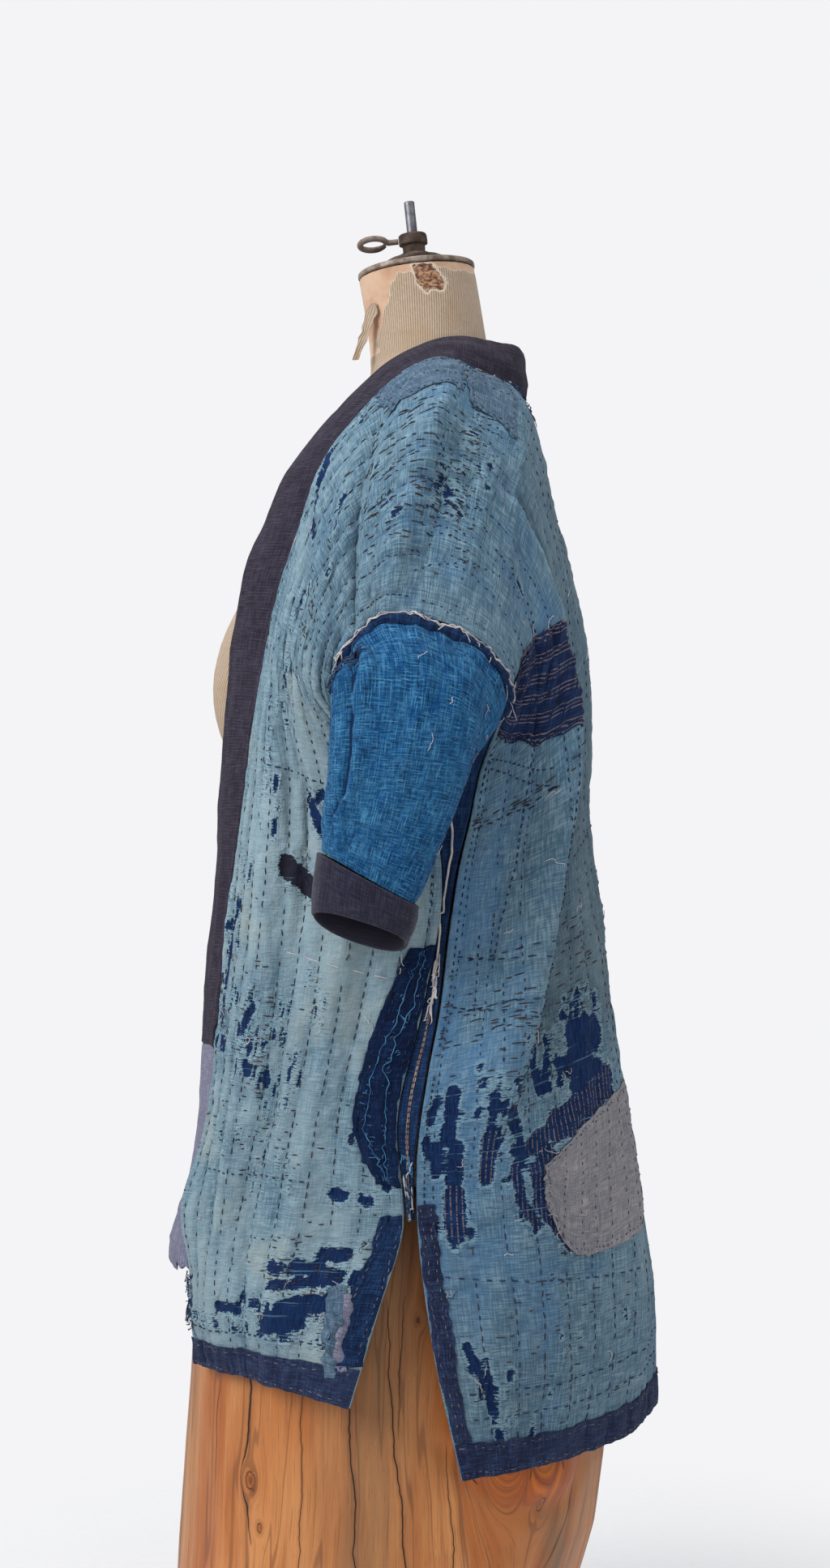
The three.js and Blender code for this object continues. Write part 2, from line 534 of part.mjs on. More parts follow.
  gussetSheet() {
    const last = ACROSS.length - 1;
    const rows = GUSSET_ROWS;
    const grid = [];
    const normals = [];
    for (const front of [rows[0].front, ...ALONG.filter((v) => v > rows[0].front + 0.1 && v <= 7)]) {
      let k = 0;
      while (k < rows.length - 2 && rows[k + 1].front < front) k++;
      const t = (front - rows[k].front) / (rows[k + 1].front - rows[k].front);
      const back = rows[k].back * (1 - t) + rows[k + 1].back * t;
      const sag = rows[k].sag * (1 - t) + rows[k + 1].sag * t;
      const one = this.rim(last, front);
      const two = this.rim(last, back);
      const a = add(one.p, times(one.out, SEAM_GAP));
      const b = add(two.p, times(two.out, SEAM_GAP * 4));
      const line = [];
      const faces = [];
      for (let j = 0; j <= GUSSET_PARTS; j++) {
        const s = j / GUSSET_PARTS;
        const face = unit(add(times(one.face, 1 - s), times(two.face, s)));
        line.push(add(add(times(a, 1 - s), times(b, s)), times(face, -sag * Math.sin(Math.PI * s))));
        faces.push(face);
      }
      grid.push(line);
      normals.push(faces);
    }
    return { grid, normals };
  }

  // A ring of the sleeve from its four sides, starting at the front. shares says how far round the
  // outer and then the inner half each point lies, so that rings match the armhole's own spacing.
  ring(row, shares) {
    const centre = middle(row.front, row.back);
    const fore = sub(row.front, centre);
    const turned = (turn) => {
      const c = Math.cos(turn);
      const s = Math.sin(turn);
      const bulge = s > 0 ? sub(row.outer, centre) : sub(centre, row.inner);
      const cc = Math.sign(c) * Math.abs(c) ** 0.85;
      const ss = Math.sign(s) * Math.abs(s) ** 0.85;
      return add(centre, add(times(fore, cc), times(bulge, ss)));
    };
    const fine = [0, 1].map((half) => {
      const line = [];
      for (let i = 0; i <= 48; i++) line.push(turned((half + i / 48) * Math.PI));
      return { line, lengths: lengthsOf(line) };
    });
    return shares.map((share) => {
      const { line, lengths } = fine[share < 1 ? 0 : 1];
      const wanted = (share % 1) * lengths.at(-1);
      let k = 0;
      while (k < line.length - 2 && lengths[k + 1] < wanted) k++;
      const t = (wanted - lengths[k]) / (lengths[k + 1] - lengths[k]);
      return add(times(line[k], 1 - t), times(line[k + 1], t));
    });
  }

  // How far round each armhole point lies: 0 to 1 over the outer half, 1 to 2 over the inner half.
  shares() {
    const loop = this.armhole().map(({ p }) => p);
    const outer = lengthsOf(loop.slice(0, 13));
    const inner = lengthsOf([...loop.slice(12), loop[0]]);
    return loop.map((_, i) => (i < 12 ? outer[i] / outer.at(-1) : 1 + inner[i - 12] / inner.at(-1)));
  }

  sleeveSheet() {
    const loop = this.armhole();
    const rings = SLEEVE_ROWS.map((row) => this.ring(row, this.shares()));
    const first = loop.map(({ p, way, ahead }, i) => {
      const seat = add(p, times(way, ROLL_SEAT));
      const there = sub(rings[0][i], seat);
      const on = unit(sub(there, times(ahead, dot(there, ahead))));
      return add(seat, times(on, ROLL_SEAT + 0.6));
    });
    const lines = first.map((p, i) => curve([p, ...rings.map((ring) => ring[i])]));
    const grid = [];
    const steps = 11;
    for (let i = 0; i <= steps; i++) {
      const place = (i / steps) * rings.length;
      grid.push(lines.map((line) => line(place)));
    }
    return grid;
  }

  sleeve() {
    const grid = this.sleeveSheet();
    const normals = gridNormals(grid, true).map((line) => line.map((n) => times(n, -1)));
    return this.shell(grid, normals, -SLEEVE_CLOTH / 2, SLEEVE_CLOTH / 2, true);
  }

  cuff() {
    const rings = CUFF_ROWS.map((row) => this.ring(row, this.shares()));
    const lines = rings[0].map((_, i) => curve(rings.map((ring) => ring[i])));
    const grid = [];
    for (let i = 0; i <= 3; i++) {
      const place = Math.max(0.008, (i / 3) * 2);
      grid.push(lines.map((line) => line(place)));
    }
    const normals = gridNormals(grid, true).map((line) => line.map((n) => times(n, -1)));
    return this.shell(grid, normals, -CUFF_CLOTH / 2, CUFF_CLOTH / 2, true);
  }
}

// A closed tube whose path is a loop.
function torus(rings) {
  const rows = rings.length;
  const cols = rings[0].length;
  const points = rings.flat();
  const faces = [];
  for (let i = 0; i < rows; i++) {
    for (let j = 0; j < cols; j++) {
      const a = i * cols + j;
      const b = i * cols + ((j + 1) % cols);
      const c = ((i + 1) % rows) * cols + ((j + 1) % cols);
      const d = ((i + 1) % rows) * cols + j;
      faces.push([a, b, c], [a, c, d]);
    }
  }
  return solid(points, faces);
}

// ---------------------------------------------------------------- pieces that cross the middle
function collar(left, right) {
  const half = left.ribbon(COLLAR_ROWS);
  const other = right.ribbon(COLLAR_ROWS);
  // the two halves meet on the middle plane, in one shared line of points
  const centre = (line) => line.map((p) => [0, p[1], p[2]]);
  const grid = [
    ...half.grid.slice(0, -1),
    centre(half.grid.at(-1)),
    ...other.grid.slice(0, -1).reverse().map((line) => line.map(mirror)),
  ];
  const normals = [
    ...half.normals.slice(0, -1),
    centre(half.normals.at(-1)).map(unit),
    ...other.normals.slice(0, -1).reverse().map((line) => line.map(mirror)),
  ];
  return wall(raised(grid, normals, -0.6), raised(grid, normals, COLLAR_CLOTH - 0.6));
}

function collarEnd(half) {
  const { grid, normals } = half.ribbon(COLLAR_END_ROWS);
  return half.shell(grid, normals, -0.4, CLOTH);
}

// ---------------------------------------------------------------- the stand
function formRing(row, lean = 0) {
  const y = (row.front + row.back) / 2;
  const depth = (row.back - row.front) / 2;
  const ring = [];
  for (let i = 0; i < FORM_POINTS; i++) {
    const turn = (i / FORM_POINTS) * Math.PI * 2;
    const c = Math.cos(turn);
    const s = Math.sin(turn);
    const power = row.z > 1150 ? 1 : 0.9;
    const x = row.half * Math.sign(c) * Math.abs(c) ** power;
    let out = depth * Math.sign(s) * Math.abs(s) ** power;
    if (s < 0 && row.z < 1120) {
      const near = ((Math.abs(x) - BUST.x) / BUST.wide) ** 2 + ((row.z - BUST.z) / BUST.tall) ** 2;
      out -= BUST.height * Math.exp(-near) * smooth(-s * 1.6);
    }
    ring.push([x, y + out, row.z + out * Math.tan((lean * Math.PI) / 180)]);
  }
  return ring;
}

function formTorso() {
  const lines = curve(FORM_ROWS.map((row) => [row.half, row.front, row.back]));
  const levels = curve(FORM_ROWS.map((row) => [row.z, 0, 0]));
  const rings = [];
  const last = FORM_ROWS.length - 1;
  for (let k = 0; k < last; k += 1) {
    const parts = FORM_ROWS[k + 1].z - FORM_ROWS[k].z > 45 ? 2 : 1;
    for (let i = 0; i < parts; i++) {
      const place = k + i / parts;
      const [half, front, back] = lines(place);
      const z = levels(place)[0];
      rings.push(formRing({ z, half, front, back }, NECK_LEAN * smooth((z - 1170) / 100)));
    }
  }
  rings.push(formRing(FORM_ROWS[last], NECK_LEAN));
  return stack(rings);
}

function stump() {
  const rings = STUMP_ROWS.map((row) => {
    const ring = [];
    for (let i = 0; i < STUMP_POINTS; i++) {
      const turn = (i / STUMP_POINTS) * Math.PI * 2;
      const lobes = row.lobe * (Math.cos(3 * turn + 0.6) + 0.6 * Math.cos(5 * turn + 2.1)) * 0.6;
      ring.push([(row.half + lobes) * Math.cos(turn), row.y + (row.depth + lobes) * Math.sin(turn), row.z]);
    }
    return ring;
  });
  return stack(rings);
}

// A turned part on the upright axis of the neck hardware, from a profile of [radius, height]. Beyond
// lobesFrom its edge swells into four lobes.
function turnedRing(radius, height, sides, lobes, lobesFrom) {
  const ring = [];
  for (let i = 0; i < sides; i++) {
    const turn = (i / sides) * Math.PI * 2;
    const r = radius + (radius > lobesFrom ? lobes * Math.cos(4 * turn) : 0);
    ring.push([r * Math.cos(turn), r * Math.sin(turn), height]);
  }
  return ring;
}

const turned = (profile, sides) => stack(profile.map(([r, h]) => turnedRing(r, h, sides, 0, Infinity)));
const turnedHollow = (profile, sides, lobes = 0, lobesFrom = Infinity) =>
  torus(profile.map(([r, h]) => turnedRing(r, h, sides, lobes, lobesFrom)));

// A bent rod through places, closed at both ends.
function bentRod(places, radius, sides) {
  const n = places.length;
  let across = [0, 0, 1];
  const rings = places.map((p, i) => {
    const ahead = unit(sub(places[Math.min(n - 1, i + 1)], places[Math.max(0, i - 1)]));
    const side = unit(cross(ahead, across));
    across = unit(cross(side, ahead));
    const ring = [];
    for (let k = 0; k < sides; k++) {
      const turn = (k / sides) * Math.PI * 2;
      ring.push(add(p, add(times(side, radius * Math.cos(turn)), times(across, radius * Math.sin(turn)))));
    }
    return ring;
  });
  return stack(rings);
}

// The screw is one rod: a straight shank from the clamp collar, then bent round into an oval finger
// loop that closes to just short of the shank.
function screwPlaces() {
  const places = [
    [0, -13, SCREW.height],
    [0, -17, SCREW.height],
    [0, -21, SCREW.height],
  ];
  const tilt = (SCREW.loopTilt * Math.PI) / 180;
  for (let i = 0; i <= 18; i++) {
    const turn = ((14 + (i / 18) * 318) * Math.PI) / 180;
    const side = SCREW.loopHalfWidth * Math.sin(turn);
    const y = -24 - SCREW.loopHalfLength * (1 - Math.cos(turn));
    places.push([side * Math.cos(tilt), y, SCREW.height + side * Math.sin(tilt)]);
  }
  return places;
}

// ---------------------------------------------------------------- colours
const cloth = (color, roughness = 0.95) => new THREE.MeshStandardMaterial({ color, roughness, metalness: 0 });
const FADED_INDIGO = cloth(0x7d9bab);
const CHARCOAL = cloth(0x3d3a47);
const LAVENDER = cloth(0x8c8aa0);
const BRIGHT_INDIGO = cloth(0x2f638f);
const NAVY = cloth(0x1e2a4a);
const GREY_PATCH = cloth(0x8d8f98);
const LINEN = cloth(0xcdbda1);
const WOOD = new THREE.MeshStandardMaterial({ color: 0xb9713c, roughness: 0.45, metalness: 0 });
const IRON = new THREE.MeshStandardMaterial({ color: 0x6a625c, roughness: 0.6, metalness: 0.8 });
const PEWTER = new THREE.MeshStandardMaterial({ color: 0x9d9a95, roughness: 0.55, metalness: 0.7 });
const STEEL = new THREE.MeshStandardMaterial({ color: 0xa9abb0, roughness: 0.35, metalness: 1 });

const group = new THREE.Group();
function piece(name, geometry, material) {
  const mesh = new THREE.Mesh(geometry, material.clone());
  mesh.name = name;
  group.add(mesh);
  return mesh;
}

const left = new Half(true);
const right = new Half(false);
for (const [half, hand] of [
  [left, "left"],
  [right, "right"],
]) {
  piece(`body_${hand}`, half.body(), FADED_INDIGO);
  piece(`collar_end_${hand}`, collarEnd(half), LAVENDER);
  piece(`armhole_roll_${hand}`, half.roll(), NAVY);
  piece(`sleeve_${hand}`, half.sleeve(), BRIGHT_INDIGO);
  piece(`cuff_${hand}`, half.cuff(), CHARCOAL);
  const gusset = half.gussetSheet();
  piece(`gusset_${hand}`, half.shell(gusset.grid, gusset.normals, 0, CLOTH), NAVY);
  piece(`side_flap_${hand}`, half.overlay(0.8, 1, 2.6, 4.5, PATCH_CLOTH), NAVY);
  piece(`hem_band_front_${hand}`, half.overlay(0, 1, 0, 0.45, BAND_CLOTH), NAVY);
  piece(`hem_band_back_${hand}`, half.overlay(0, 1, 24.74, 25, BAND_CLOTH), NAVY);
  piece(`vent_band_front_${hand}`, half.overlay(0.9, 1, 0.45, 2.1, BAND_CLOTH), NAVY);
  piece(`vent_band_back_${hand}`, half.overlay(0.9, 1, 22.7, 24.74, BAND_CLOTH), NAVY);
  piece(`shoulder_patch_${hand}`, half.overlay(0, 0.4, 10.5, 11.5, PATCH_CLOTH), FADED_INDIGO);
  piece(`yoke_patch_${hand}`, half.overlay(0.1, 0.5, 11.5, 13, PATCH_CLOTH), FADED_INDIGO);
  piece(`underarm_patch_${hand}`, half.overlay(0.6, 0.9, 15, 16.5, PATCH_CLOTH), NAVY);
}
piece("back_patch_left", left.overlay(0, 0.6, 22, 23.4, PATCH_CLOTH), GREY_PATCH);
piece("back_patch_right", right.overlay(0.2, 0.6, 19.5, 21.3, PATCH_CLOTH), GREY_PATCH);
piece("collar", collar(left, right), CHARCOAL);

piece("form_torso", formTorso(), LINEN);
piece("stump", stump(), WOOD);
for (const [name, geometry, material] of [
  ["neck_cap", turned(CAP_PROFILE, 36), PEWTER],
  ["neck_flange", turnedHollow(FLANGE_PROFILE, 32, 2.4, 15), IRON],
  ["clamp_collar", turnedHollow(CLAMP_PROFILE, 16), IRON],
  ["rod", turned([[ROD_RADIUS, 9.1], [ROD_RADIUS, 64], [ROD_RADIUS - 0.8, 65]], 16), STEEL],
  ["clamp_screw", bentRod(screwPlaces(), SCREW.radius, 8), IRON],
]) {
  const mesh = piece(name, geometry, material);
  mesh.position.set(...NECK_TOP);
  mesh.rotation.x = (CLAMP_LEAN * Math.PI) / 180;
}

export default group;
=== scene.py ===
"""Looks of a boro noragi, a patched and mended indigo work jacket, worn open on a limbless dress form
that stands on a polished trunk stump.

Tables and shapes are in millimetres and meshes in metres, in the model's own frame: +Z up, the front
of the jacket to -Y, the wearer's left to +X. A cloth place is given as (across, along): across runs 0
to 1 from the collar seam to the side seam, and along is the number of a table row, counted from the
front hem over the shoulder to the back hem.
"""
import logging
import math
from dataclasses import dataclass, field, replace
from enum import Enum
from typing import Sequence

import bpy
import numpy as np
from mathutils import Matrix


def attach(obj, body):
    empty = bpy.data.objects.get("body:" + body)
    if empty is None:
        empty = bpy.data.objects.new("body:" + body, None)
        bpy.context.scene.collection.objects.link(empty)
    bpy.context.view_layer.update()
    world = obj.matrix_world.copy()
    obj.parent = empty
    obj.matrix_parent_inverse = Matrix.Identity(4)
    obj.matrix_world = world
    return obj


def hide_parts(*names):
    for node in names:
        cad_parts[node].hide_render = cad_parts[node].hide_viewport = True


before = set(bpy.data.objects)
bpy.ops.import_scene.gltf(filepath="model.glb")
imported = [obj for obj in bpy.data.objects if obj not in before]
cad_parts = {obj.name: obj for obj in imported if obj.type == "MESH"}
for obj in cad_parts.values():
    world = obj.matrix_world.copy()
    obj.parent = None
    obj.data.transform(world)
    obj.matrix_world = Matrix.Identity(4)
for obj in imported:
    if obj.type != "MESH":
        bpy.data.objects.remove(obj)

Array = np.ndarray
Material = bpy.types.Material
Socket = bpy.types.NodeSocket
Piece = bpy.types.Object
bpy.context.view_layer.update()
STAND = "stand"
SCREW_BODY = "clamp_screw"
MM = 0.001
FLAT_MAP = "flat"  # the UV map that holds a piece's flat-cloth coordinates, in metres
log = logging.getLogger("noragi")

# ---------------------------------------------------------------- sizes, in millimetres
CLOTH = 2.4
SLEEVE_CLOTH = 2.0
CUFF_CLOTH = 3.0
COLLAR_CLOTH = 3.6
PATCH_CLOTH = 1.2
BAND_CLOTH = 1.4
PANEL_WIDTH = 220.0  # folds are laid out on a strip this wide
ROW_SPACING = 70.0  # and with its rows this far apart
FLAT_WIDTH = 255.0  # width of a body strip laid flat
ROW_LENGTH = 80.0  # about how much cloth lies between two table rows
ROLL_SEAT = 5.6  # from the armhole's edge to the middle of its roll
HOLE_REACH = 9.0  # how far from a hole's outline its depth is still counted
SEAM_GAP = 0.3
CENTRE_BACK_GAP = 0.4
NECK_TOP = (0.0, 24.5, 1278.4)
CLAMP_LEAN = 6.0
CENTRE_SEAM_ROW = 13.4  # behind it the two strips meet at the centre back
BACK_HEM_ROW = 25.0
STUMP_HEIGHT = 500.0

# ---------------------------------------------------------------- section tables of the jacket
# Each row: name, then the places of its edge, chest, mid, flank and side columns.
BODY_ROWS = (
    ("front hem", (88, -161, 343), (121, -137, 345), (151, -111, 347), (181, -77, 344), (201, -28, 335)),
    ("front skirt", (94, -163, 402), (126, -146, 404), (156, -116, 407), (184, -70, 410), (201, -6, 410)),
    ("vent top", (104, -155, 478), (135, -138, 478), (164, -107, 479), (189, -52, 479), (201, 14, 478)),
    ("front hip", (120, -146, 568), (149, -127, 567), (176, -90, 566), (191, -42, 564), (196, 9, 562)),
    ("front waist", (133, -136, 662), (160, -115, 660), (184, -76, 658), (192, -24, 656), (185, 30, 655)),
    ("front rib", (144, -125, 752), (169, -105, 750), (189, -66, 748), (193, -12, 745), (173, 44, 743)),
    ("under bust", (149, -114, 840), (174, -96, 836), (194, -66, 828), (197, -22, 816), (176, 34, 803)),
    ("bust", (146, -103, 908), (173, -92, 899), (195, -74, 887), (205, -43, 874), (195, -5, 862)),
    ("breast", (139, -90, 975), (169, -84, 960), (194, -75, 937), (209, -60, 912), (210, -36, 890)),
    ("chest", (130, -70, 1042), (163, -67, 1020), (192, -60, 987), (209, -50, 953), (214, -38, 925)),
    ("collarbone", (116, -43, 1111), (150, -40, 1093), (185, -34, 1056), (207, -26, 1006), (220, -17, 953)),
    ("shoulder", (96, 45, 1185), (135, 43, 1166), (176, 37, 1126), (203, 27, 1047), (223, 15, 963)),
    ("nape side", (72, 84, 1175), (112, 84, 1158), (160, 78, 1115), (199, 64, 1036), (221, 51, 954)),
    ("nape", (32, 109, 1168), (90, 112, 1148), (148, 106, 1098), (194, 89, 1012), (214, 79, 938)),
    ("centre neck", (0, 119, 1160), (73, 124, 1126), (138, 118, 1072), (185, 105, 985), (203, 95, 917)),
    ("shoulder blade", (0, 137, 1080), (70, 140, 1055), (130, 136, 1010), (172, 122, 943), (187, 91, 886)),
    ("upper back", (0, 153, 1024), (68, 154, 1000), (124, 147, 955), (165, 123, 892), (173, 77, 848)),
    ("back", (0, 167, 965), (66, 166, 940), (122, 153, 890), (162, 121, 830), (171, 67, 800)),
    ("low back", (0, 172, 880), (66, 169, 860), (122, 152, 815), (163, 114, 770), (175, 57, 755)),
    ("back waist", (0, 170, 800), (66, 167, 785), (124, 150, 755), (168, 109, 715), (181, 49, 700)),
    ("back hip", (0, 182, 725), (70, 176, 715), (132, 152, 695), (175, 105, 665), (188, 43, 650)),
    ("seat", (0, 190, 645), (74, 182, 640), (140, 152, 628), (183, 99, 610), (195, 33, 597)),
    ("low seat", (0, 203, 565), (76, 193, 562), (146, 157, 556), (190, 98, 545), (200, 25, 540)),
    ("back vent top", (0, 218, 480), (78, 204, 479), (150, 162, 478), (193, 100, 477), (201, 25, 476)),
    ("back skirt", (0, 231, 390), (76, 213, 389), (147, 168, 386), (190, 110, 384), (201, 37, 382)),
    ("back hem", (0, 234, 285), (70, 206, 283), (132, 161, 281), (174, 108, 279), (200, 59, 278)),
)


@dataclass(frozen=True)
class Fold:
    """A soft ridge, or a trough where height is negative, from one cloth place to another."""

    name: str
    start: tuple[float, float]
    end: tuple[float, float]
    width: float
    height: float
    lean: float = 0.0


LEFT_FOLDS = (
    Fold("great back pleat", (0.62, 16.2), (0.81, 21.4), 17, 13, -8),
    Fold("behind the pleat", (0.49, 16.2), (0.62, 21.2), 18, -11),
    Fold("shoulder ridge", (0.36, 11.3), (0.86, 10.6), 19, 5),
    Fold("shoulder hollow", (0.32, 10.6), (0.86, 9.9), 19, -6),
    Fold("chest ridge", (0.3, 9.7), (0.84, 9.0), 17, 4),
    Fold("front pleat", (0.34, 8.0), (0.3, 1.2), 11, 5),
    Fold("front trough", (0.5, 7.4), (0.46, 1.4), 13, -5),
    Fold("front side pleat", (0.68, 6.2), (0.66, 0.4), 12, 5),
    Fold("skirt swell", (0.34, 20.5), (0.3, 25.0), 24, 6),
)
RIGHT_FOLDS = (
    Fold("great back pleat", (0.58, 16.6), (0.7, 22.2), 17, 12, -7),
    Fold("behind the pleat", (0.45, 16.6), (0.56, 21.8), 18, -10),
    Fold("shoulder ridge", (0.34, 11.6), (0.84, 11.1), 19, 5),
    Fold("shoulder hollow", (0.36, 10.5), (0.84, 10.0), 19, -5),
    Fold("front pleat", (0.3, 8.2), (0.36, 0.8), 12, 5),
    Fold("front trough", (0.46, 7.0), (0.52, 1.0), 13, -5),
    Fold("front side pleat", (0.72, 6.0), (0.62, 0.6), 13, 5),
    Fold("skirt swell", (0.4, 21.0), (0.36, 25.0), 22, 5),
)
# Small creases that only the finished cloth has: they lie on the main folds above.
LEFT_CREASES = (
    Fold("shoulder fold", (0.3, 10.75), (0.95, 10.1), 6, 4.0),
    Fold("shoulder fold hollow", (0.3, 10.45), (0.95, 9.8), 5, -4.0),
    Fold("shoulder ridge", (0.4, 11.15), (0.92, 10.75), 8, 3.4),
    Fold("shoulder ridge hollow", (0.5, 11.6), (0.9, 11.25), 8, -3.2),
    Fold("upper arm crease", (0.6, 12.4), (0.9, 12.2), 7, 2.6),
    Fold("sleeve head crease", (0.55, 12.2), (0.92, 12.0), 8, 2.0),
    Fold("back shoulder crease", (0.4, 12.9), (0.8, 13.4), 7, 2.2),
    Fold("blade ridge", (0.44, 12.05), (0.62, 15.2), 8, 3.2),
    Fold("blade hollow", (0.6, 12.6), (0.78, 15.0), 8, -3.0),
    Fold("chest drag", (0.12, 9.9), (0.5, 8.2), 6, 3.0),
    Fold("chest drag two", (0.24, 9.4), (0.62, 7.4), 7, -1.8),
    Fold("under sleeve drag", (0.55, 7.4), (0.42, 4.6), 7, 2.0),
    Fold("pleat lip", (0.66, 17.0), (0.79, 21.2), 4, 2.0),
    Fold("back hollow crease", (0.36, 16.8), (0.4, 20.4), 8, -2.6),
    Fold("centre back crease", (0.12, 16.5), (0.16, 21.6), 9, 2.4),
    Fold("seat drag", (0.5, 21.9), (0.86, 22.9), 7, 2.2),
    Fold("skirt crease", (0.72, 23.1), (0.6, 24.6), 8, 2.4),
    Fold("skirt crease two", (0.4, 23.5), (0.32, 24.7), 9, -2.2),
    Fold("front hem crease", (0.44, 1.9), (0.4, 0.4), 8, 2.2),
)
RIGHT_CREASES = (
    Fold("shoulder crease", (0.22, 11.2), (0.8, 10.6), 6, 2.6),
    Fold("upper arm crease", (0.5, 11.9), (0.92, 11.4), 8, 2.4),
    Fold("blade ridge", (0.4, 12.3), (0.6, 15.0), 8, 3.0),
    Fold("chest drag", (0.14, 9.7), (0.56, 8.0), 6, 2.0),
    Fold("front drag", (0.5, 7.2), (0.4, 4.2), 7, 2.0),
    Fold("centre back crease", (0.14, 16.8), (0.18, 22.0), 9, 2.4),
    Fold("seat drag", (0.44, 21.6), (0.84, 22.8), 7, 2.2),
    Fold("skirt crease", (0.66, 23.2), (0.58, 24.6), 8, 2.4),
)

# The edge of the great pleat's upper layer: along, across, and how high it stands.
LEFT_LIP = (
    (12.4, 0.62, 0), (13.6, 0.6, 0.55), (16, 0.62, 0.75), (18, 0.655, 1), (20, 0.68, 1), (21, 0.72, 0.9),
    (21.8, 0.76, 0),
)
RIGHT_LIP = ((15, 0.58, 0), (16.5, 0.59, 0.6), (18.5, 0.6, 1), (20.5, 0.63, 1), (21.6, 0.66, 0.8), (22.4, 0.7, 0))
# The collar band's outer edge at places along the strip's edge: along, place, bulge.
COLLAR_ROWS = (
    (3.505, (79, -154.7, 612), 2), (4.1, (88, -151, 671), 2), (4.87, (98, -142, 740), 3),
    (5.65, (105, -139, 808), 3), (6.5, (108, -134, 876), 3), (7.5, (105, -128, 946), 3),
    (8.55, (99, -116, 1015), 3), (9.1, (92, -101, 1051), 3), (9.7, (85, -84, 1090), 3),
    (10.15, (77, -60, 1124), 3), (10.45, (70, -34, 1155), 3), (10.7, (65, -8, 1181), 3),
    (10.88, (61, 15, 1197), 3), (11.15, (58, 42, 1208), 3), (11.6, (53, 66, 1212), 3),
    (12.3, (41, 90, 1211), 3), (13.2, (20, 109, 1211), 3), (14.0, (0, 115, 1210), 2),
)
COLLAR_END_ROWS = (
    (1.12, (58, -182, 413), 0), (1.3, (52, -187, 424), 1), (1.75, (58, -180, 461), 1),
    (2.2, (64, -168, 497), 1), (2.6, (68, -161, 531), 2), (3.495, (78.8, -154.8, 610.8), 2),
)
# Rings down the sleeve and the cuff: front, outer, back and inner places.
SLEEVE_ROWS = (
    ((227, -42, 901), (250, 17, 920), (222, 77, 886), (213, 32, 852)),
    ((230, -43, 864), (259, 14, 868), (229, 69, 858), (216, 20, 846)),
    ((232, -46, 820), (261, 4, 814), (230, 51, 803), (218, 5, 804)),
    ((233, -49, 778), (258, -13, 757), (232, 22, 737), (218, -12, 757)),
)
CUFF_ROWS = (
    ((233, -52, 777), (260, -13, 756), (233, 25, 735), (216, -12, 756)),
    ((233, -55, 753), (260, -15, 738), (233, 21, 719), (215, -15, 736)),
    ((232, -56, 728), (259, -17, 724), (233, 16, 705), (214, -20, 704)),
)
# Side gusset: a place along the front's side edge, one along the back's, and the sag between them.
GUSSET_ROWS = (
    (2.12, 22.88, 1), (3, 21.62, 2), (4, 19.9, 3), (5, 18.2, 4), (6, 16.95, 4), (6.5, 16.2, 3), (7, 15, -2)
)

# ---------------------------------------------------------------- section tables of the stand
# Level sections of the form: height, half width, reach to the front and to the back.
FORM_ROWS = (
    (500.3, 150, -96, 116), (506, 162, -103, 123), (560, 170, -108, 130), (630, 167, -106, 122),
    (700, 152, -97, 103), (755, 125, -88, 86), (820, 131, -98, 92), (890, 144, -106, 106),
    (960, 152, -106, 116), (1020, 160, -94, 118), (1072, 168, -75, 114), (1113, 165, -53, 107),
    (1137.1, 149, -38.2, 100), (1156, 124, -28.9, 94), (1172, 92, -22, 90), (1184, 71, -17, 89),
    (1201, 58.6, -16, 88), (1240, 52, -20, 82), (1278, 50.5, -26, 75),
)
BUST = {"x": 72.0, "z": 905.0, "height": 52.0, "wide": 54.0, "tall": 112.0}
NECK_LEAN = 6.0
# Level sections of the stump: height, half width, half depth, middle, lobe.
STUMP_ROWS = (
    (0, 178, 170, -18, 4), (8, 183, 175, -18, 5), (140, 180, 175, -9, 6), (190, 178, 181, 0, 6),
    (250, 175, 185, 6, 5), (345, 171, 180, 6, 3), (430, 168, 172, 5, 2), (484, 166, 168, 5, 2),
    (496, 161, 163, 5, 2), (500, 152, 154, 5, 2),
)


# ---------------------------------------------------------------- numbers and fields
def smooth(x: Array) -> Array:
    """Smooth step: 0 below 0, 1 above 1, and 3t^2 - 2t^3 between."""
    t = np.clip(x, 0.0, 1.0)
    return t * t * (3.0 - 2.0 * t)


def unit(a: Array) -> Array:
    """Vectors of length one along the last axis."""
    return a / np.maximum(np.linalg.norm(a, axis=-1, keepdims=True), 1e-9)


def cloud(x: Array, y: Array, pitch_x: float, pitch_y: float, seed: int) -> Array:
    """Soft random field: random values on a lattice, blended between by the smooth step.

    Args:
        x, y: places, in millimetres.
        pitch_x, pitch_y: lattice spacing, in millimetres.
        seed: which field.

    Returns:
        Values between -1 and 1, in the shape of x.
    """
    table = np.random.default_rng(seed).uniform(-1.0, 1.0, (61, 59))
    gx = np.asarray(x) / pitch_x + 500.0
    gy = np.asarray(y) / pitch_y + 500.0
    i = np.floor(gx).astype(int)
    j = np.floor(gy).astype(int)
    fx = smooth(gx - i)
    fy = smooth(gy - j)
    a = table[i % 61, j % 59]
    b = table[(i + 1) % 61, j % 59]
    c = table[i % 61, (j + 1) % 59]
    d = table[(i + 1) % 61, (j + 1) % 59]
    return (a * (1 - fx) + b * fx) * (1 - fy) + (c * (1 - fx) + d * fx) * fy


def drift(x: Array, pitch: float, seed: int) -> Array:
    """Soft random values along one line."""
    return cloud(x, x * 0, pitch, 9, seed)


def joined(*parts: Array) -> Array:
    """Arrays side by side along a new last axis."""
    return np.stack(parts, axis=-1)


def totals(steps: Array) -> Array:
    """Running totals of steps, from nought."""
    return np.concatenate([[0.0], np.cumsum(steps)])


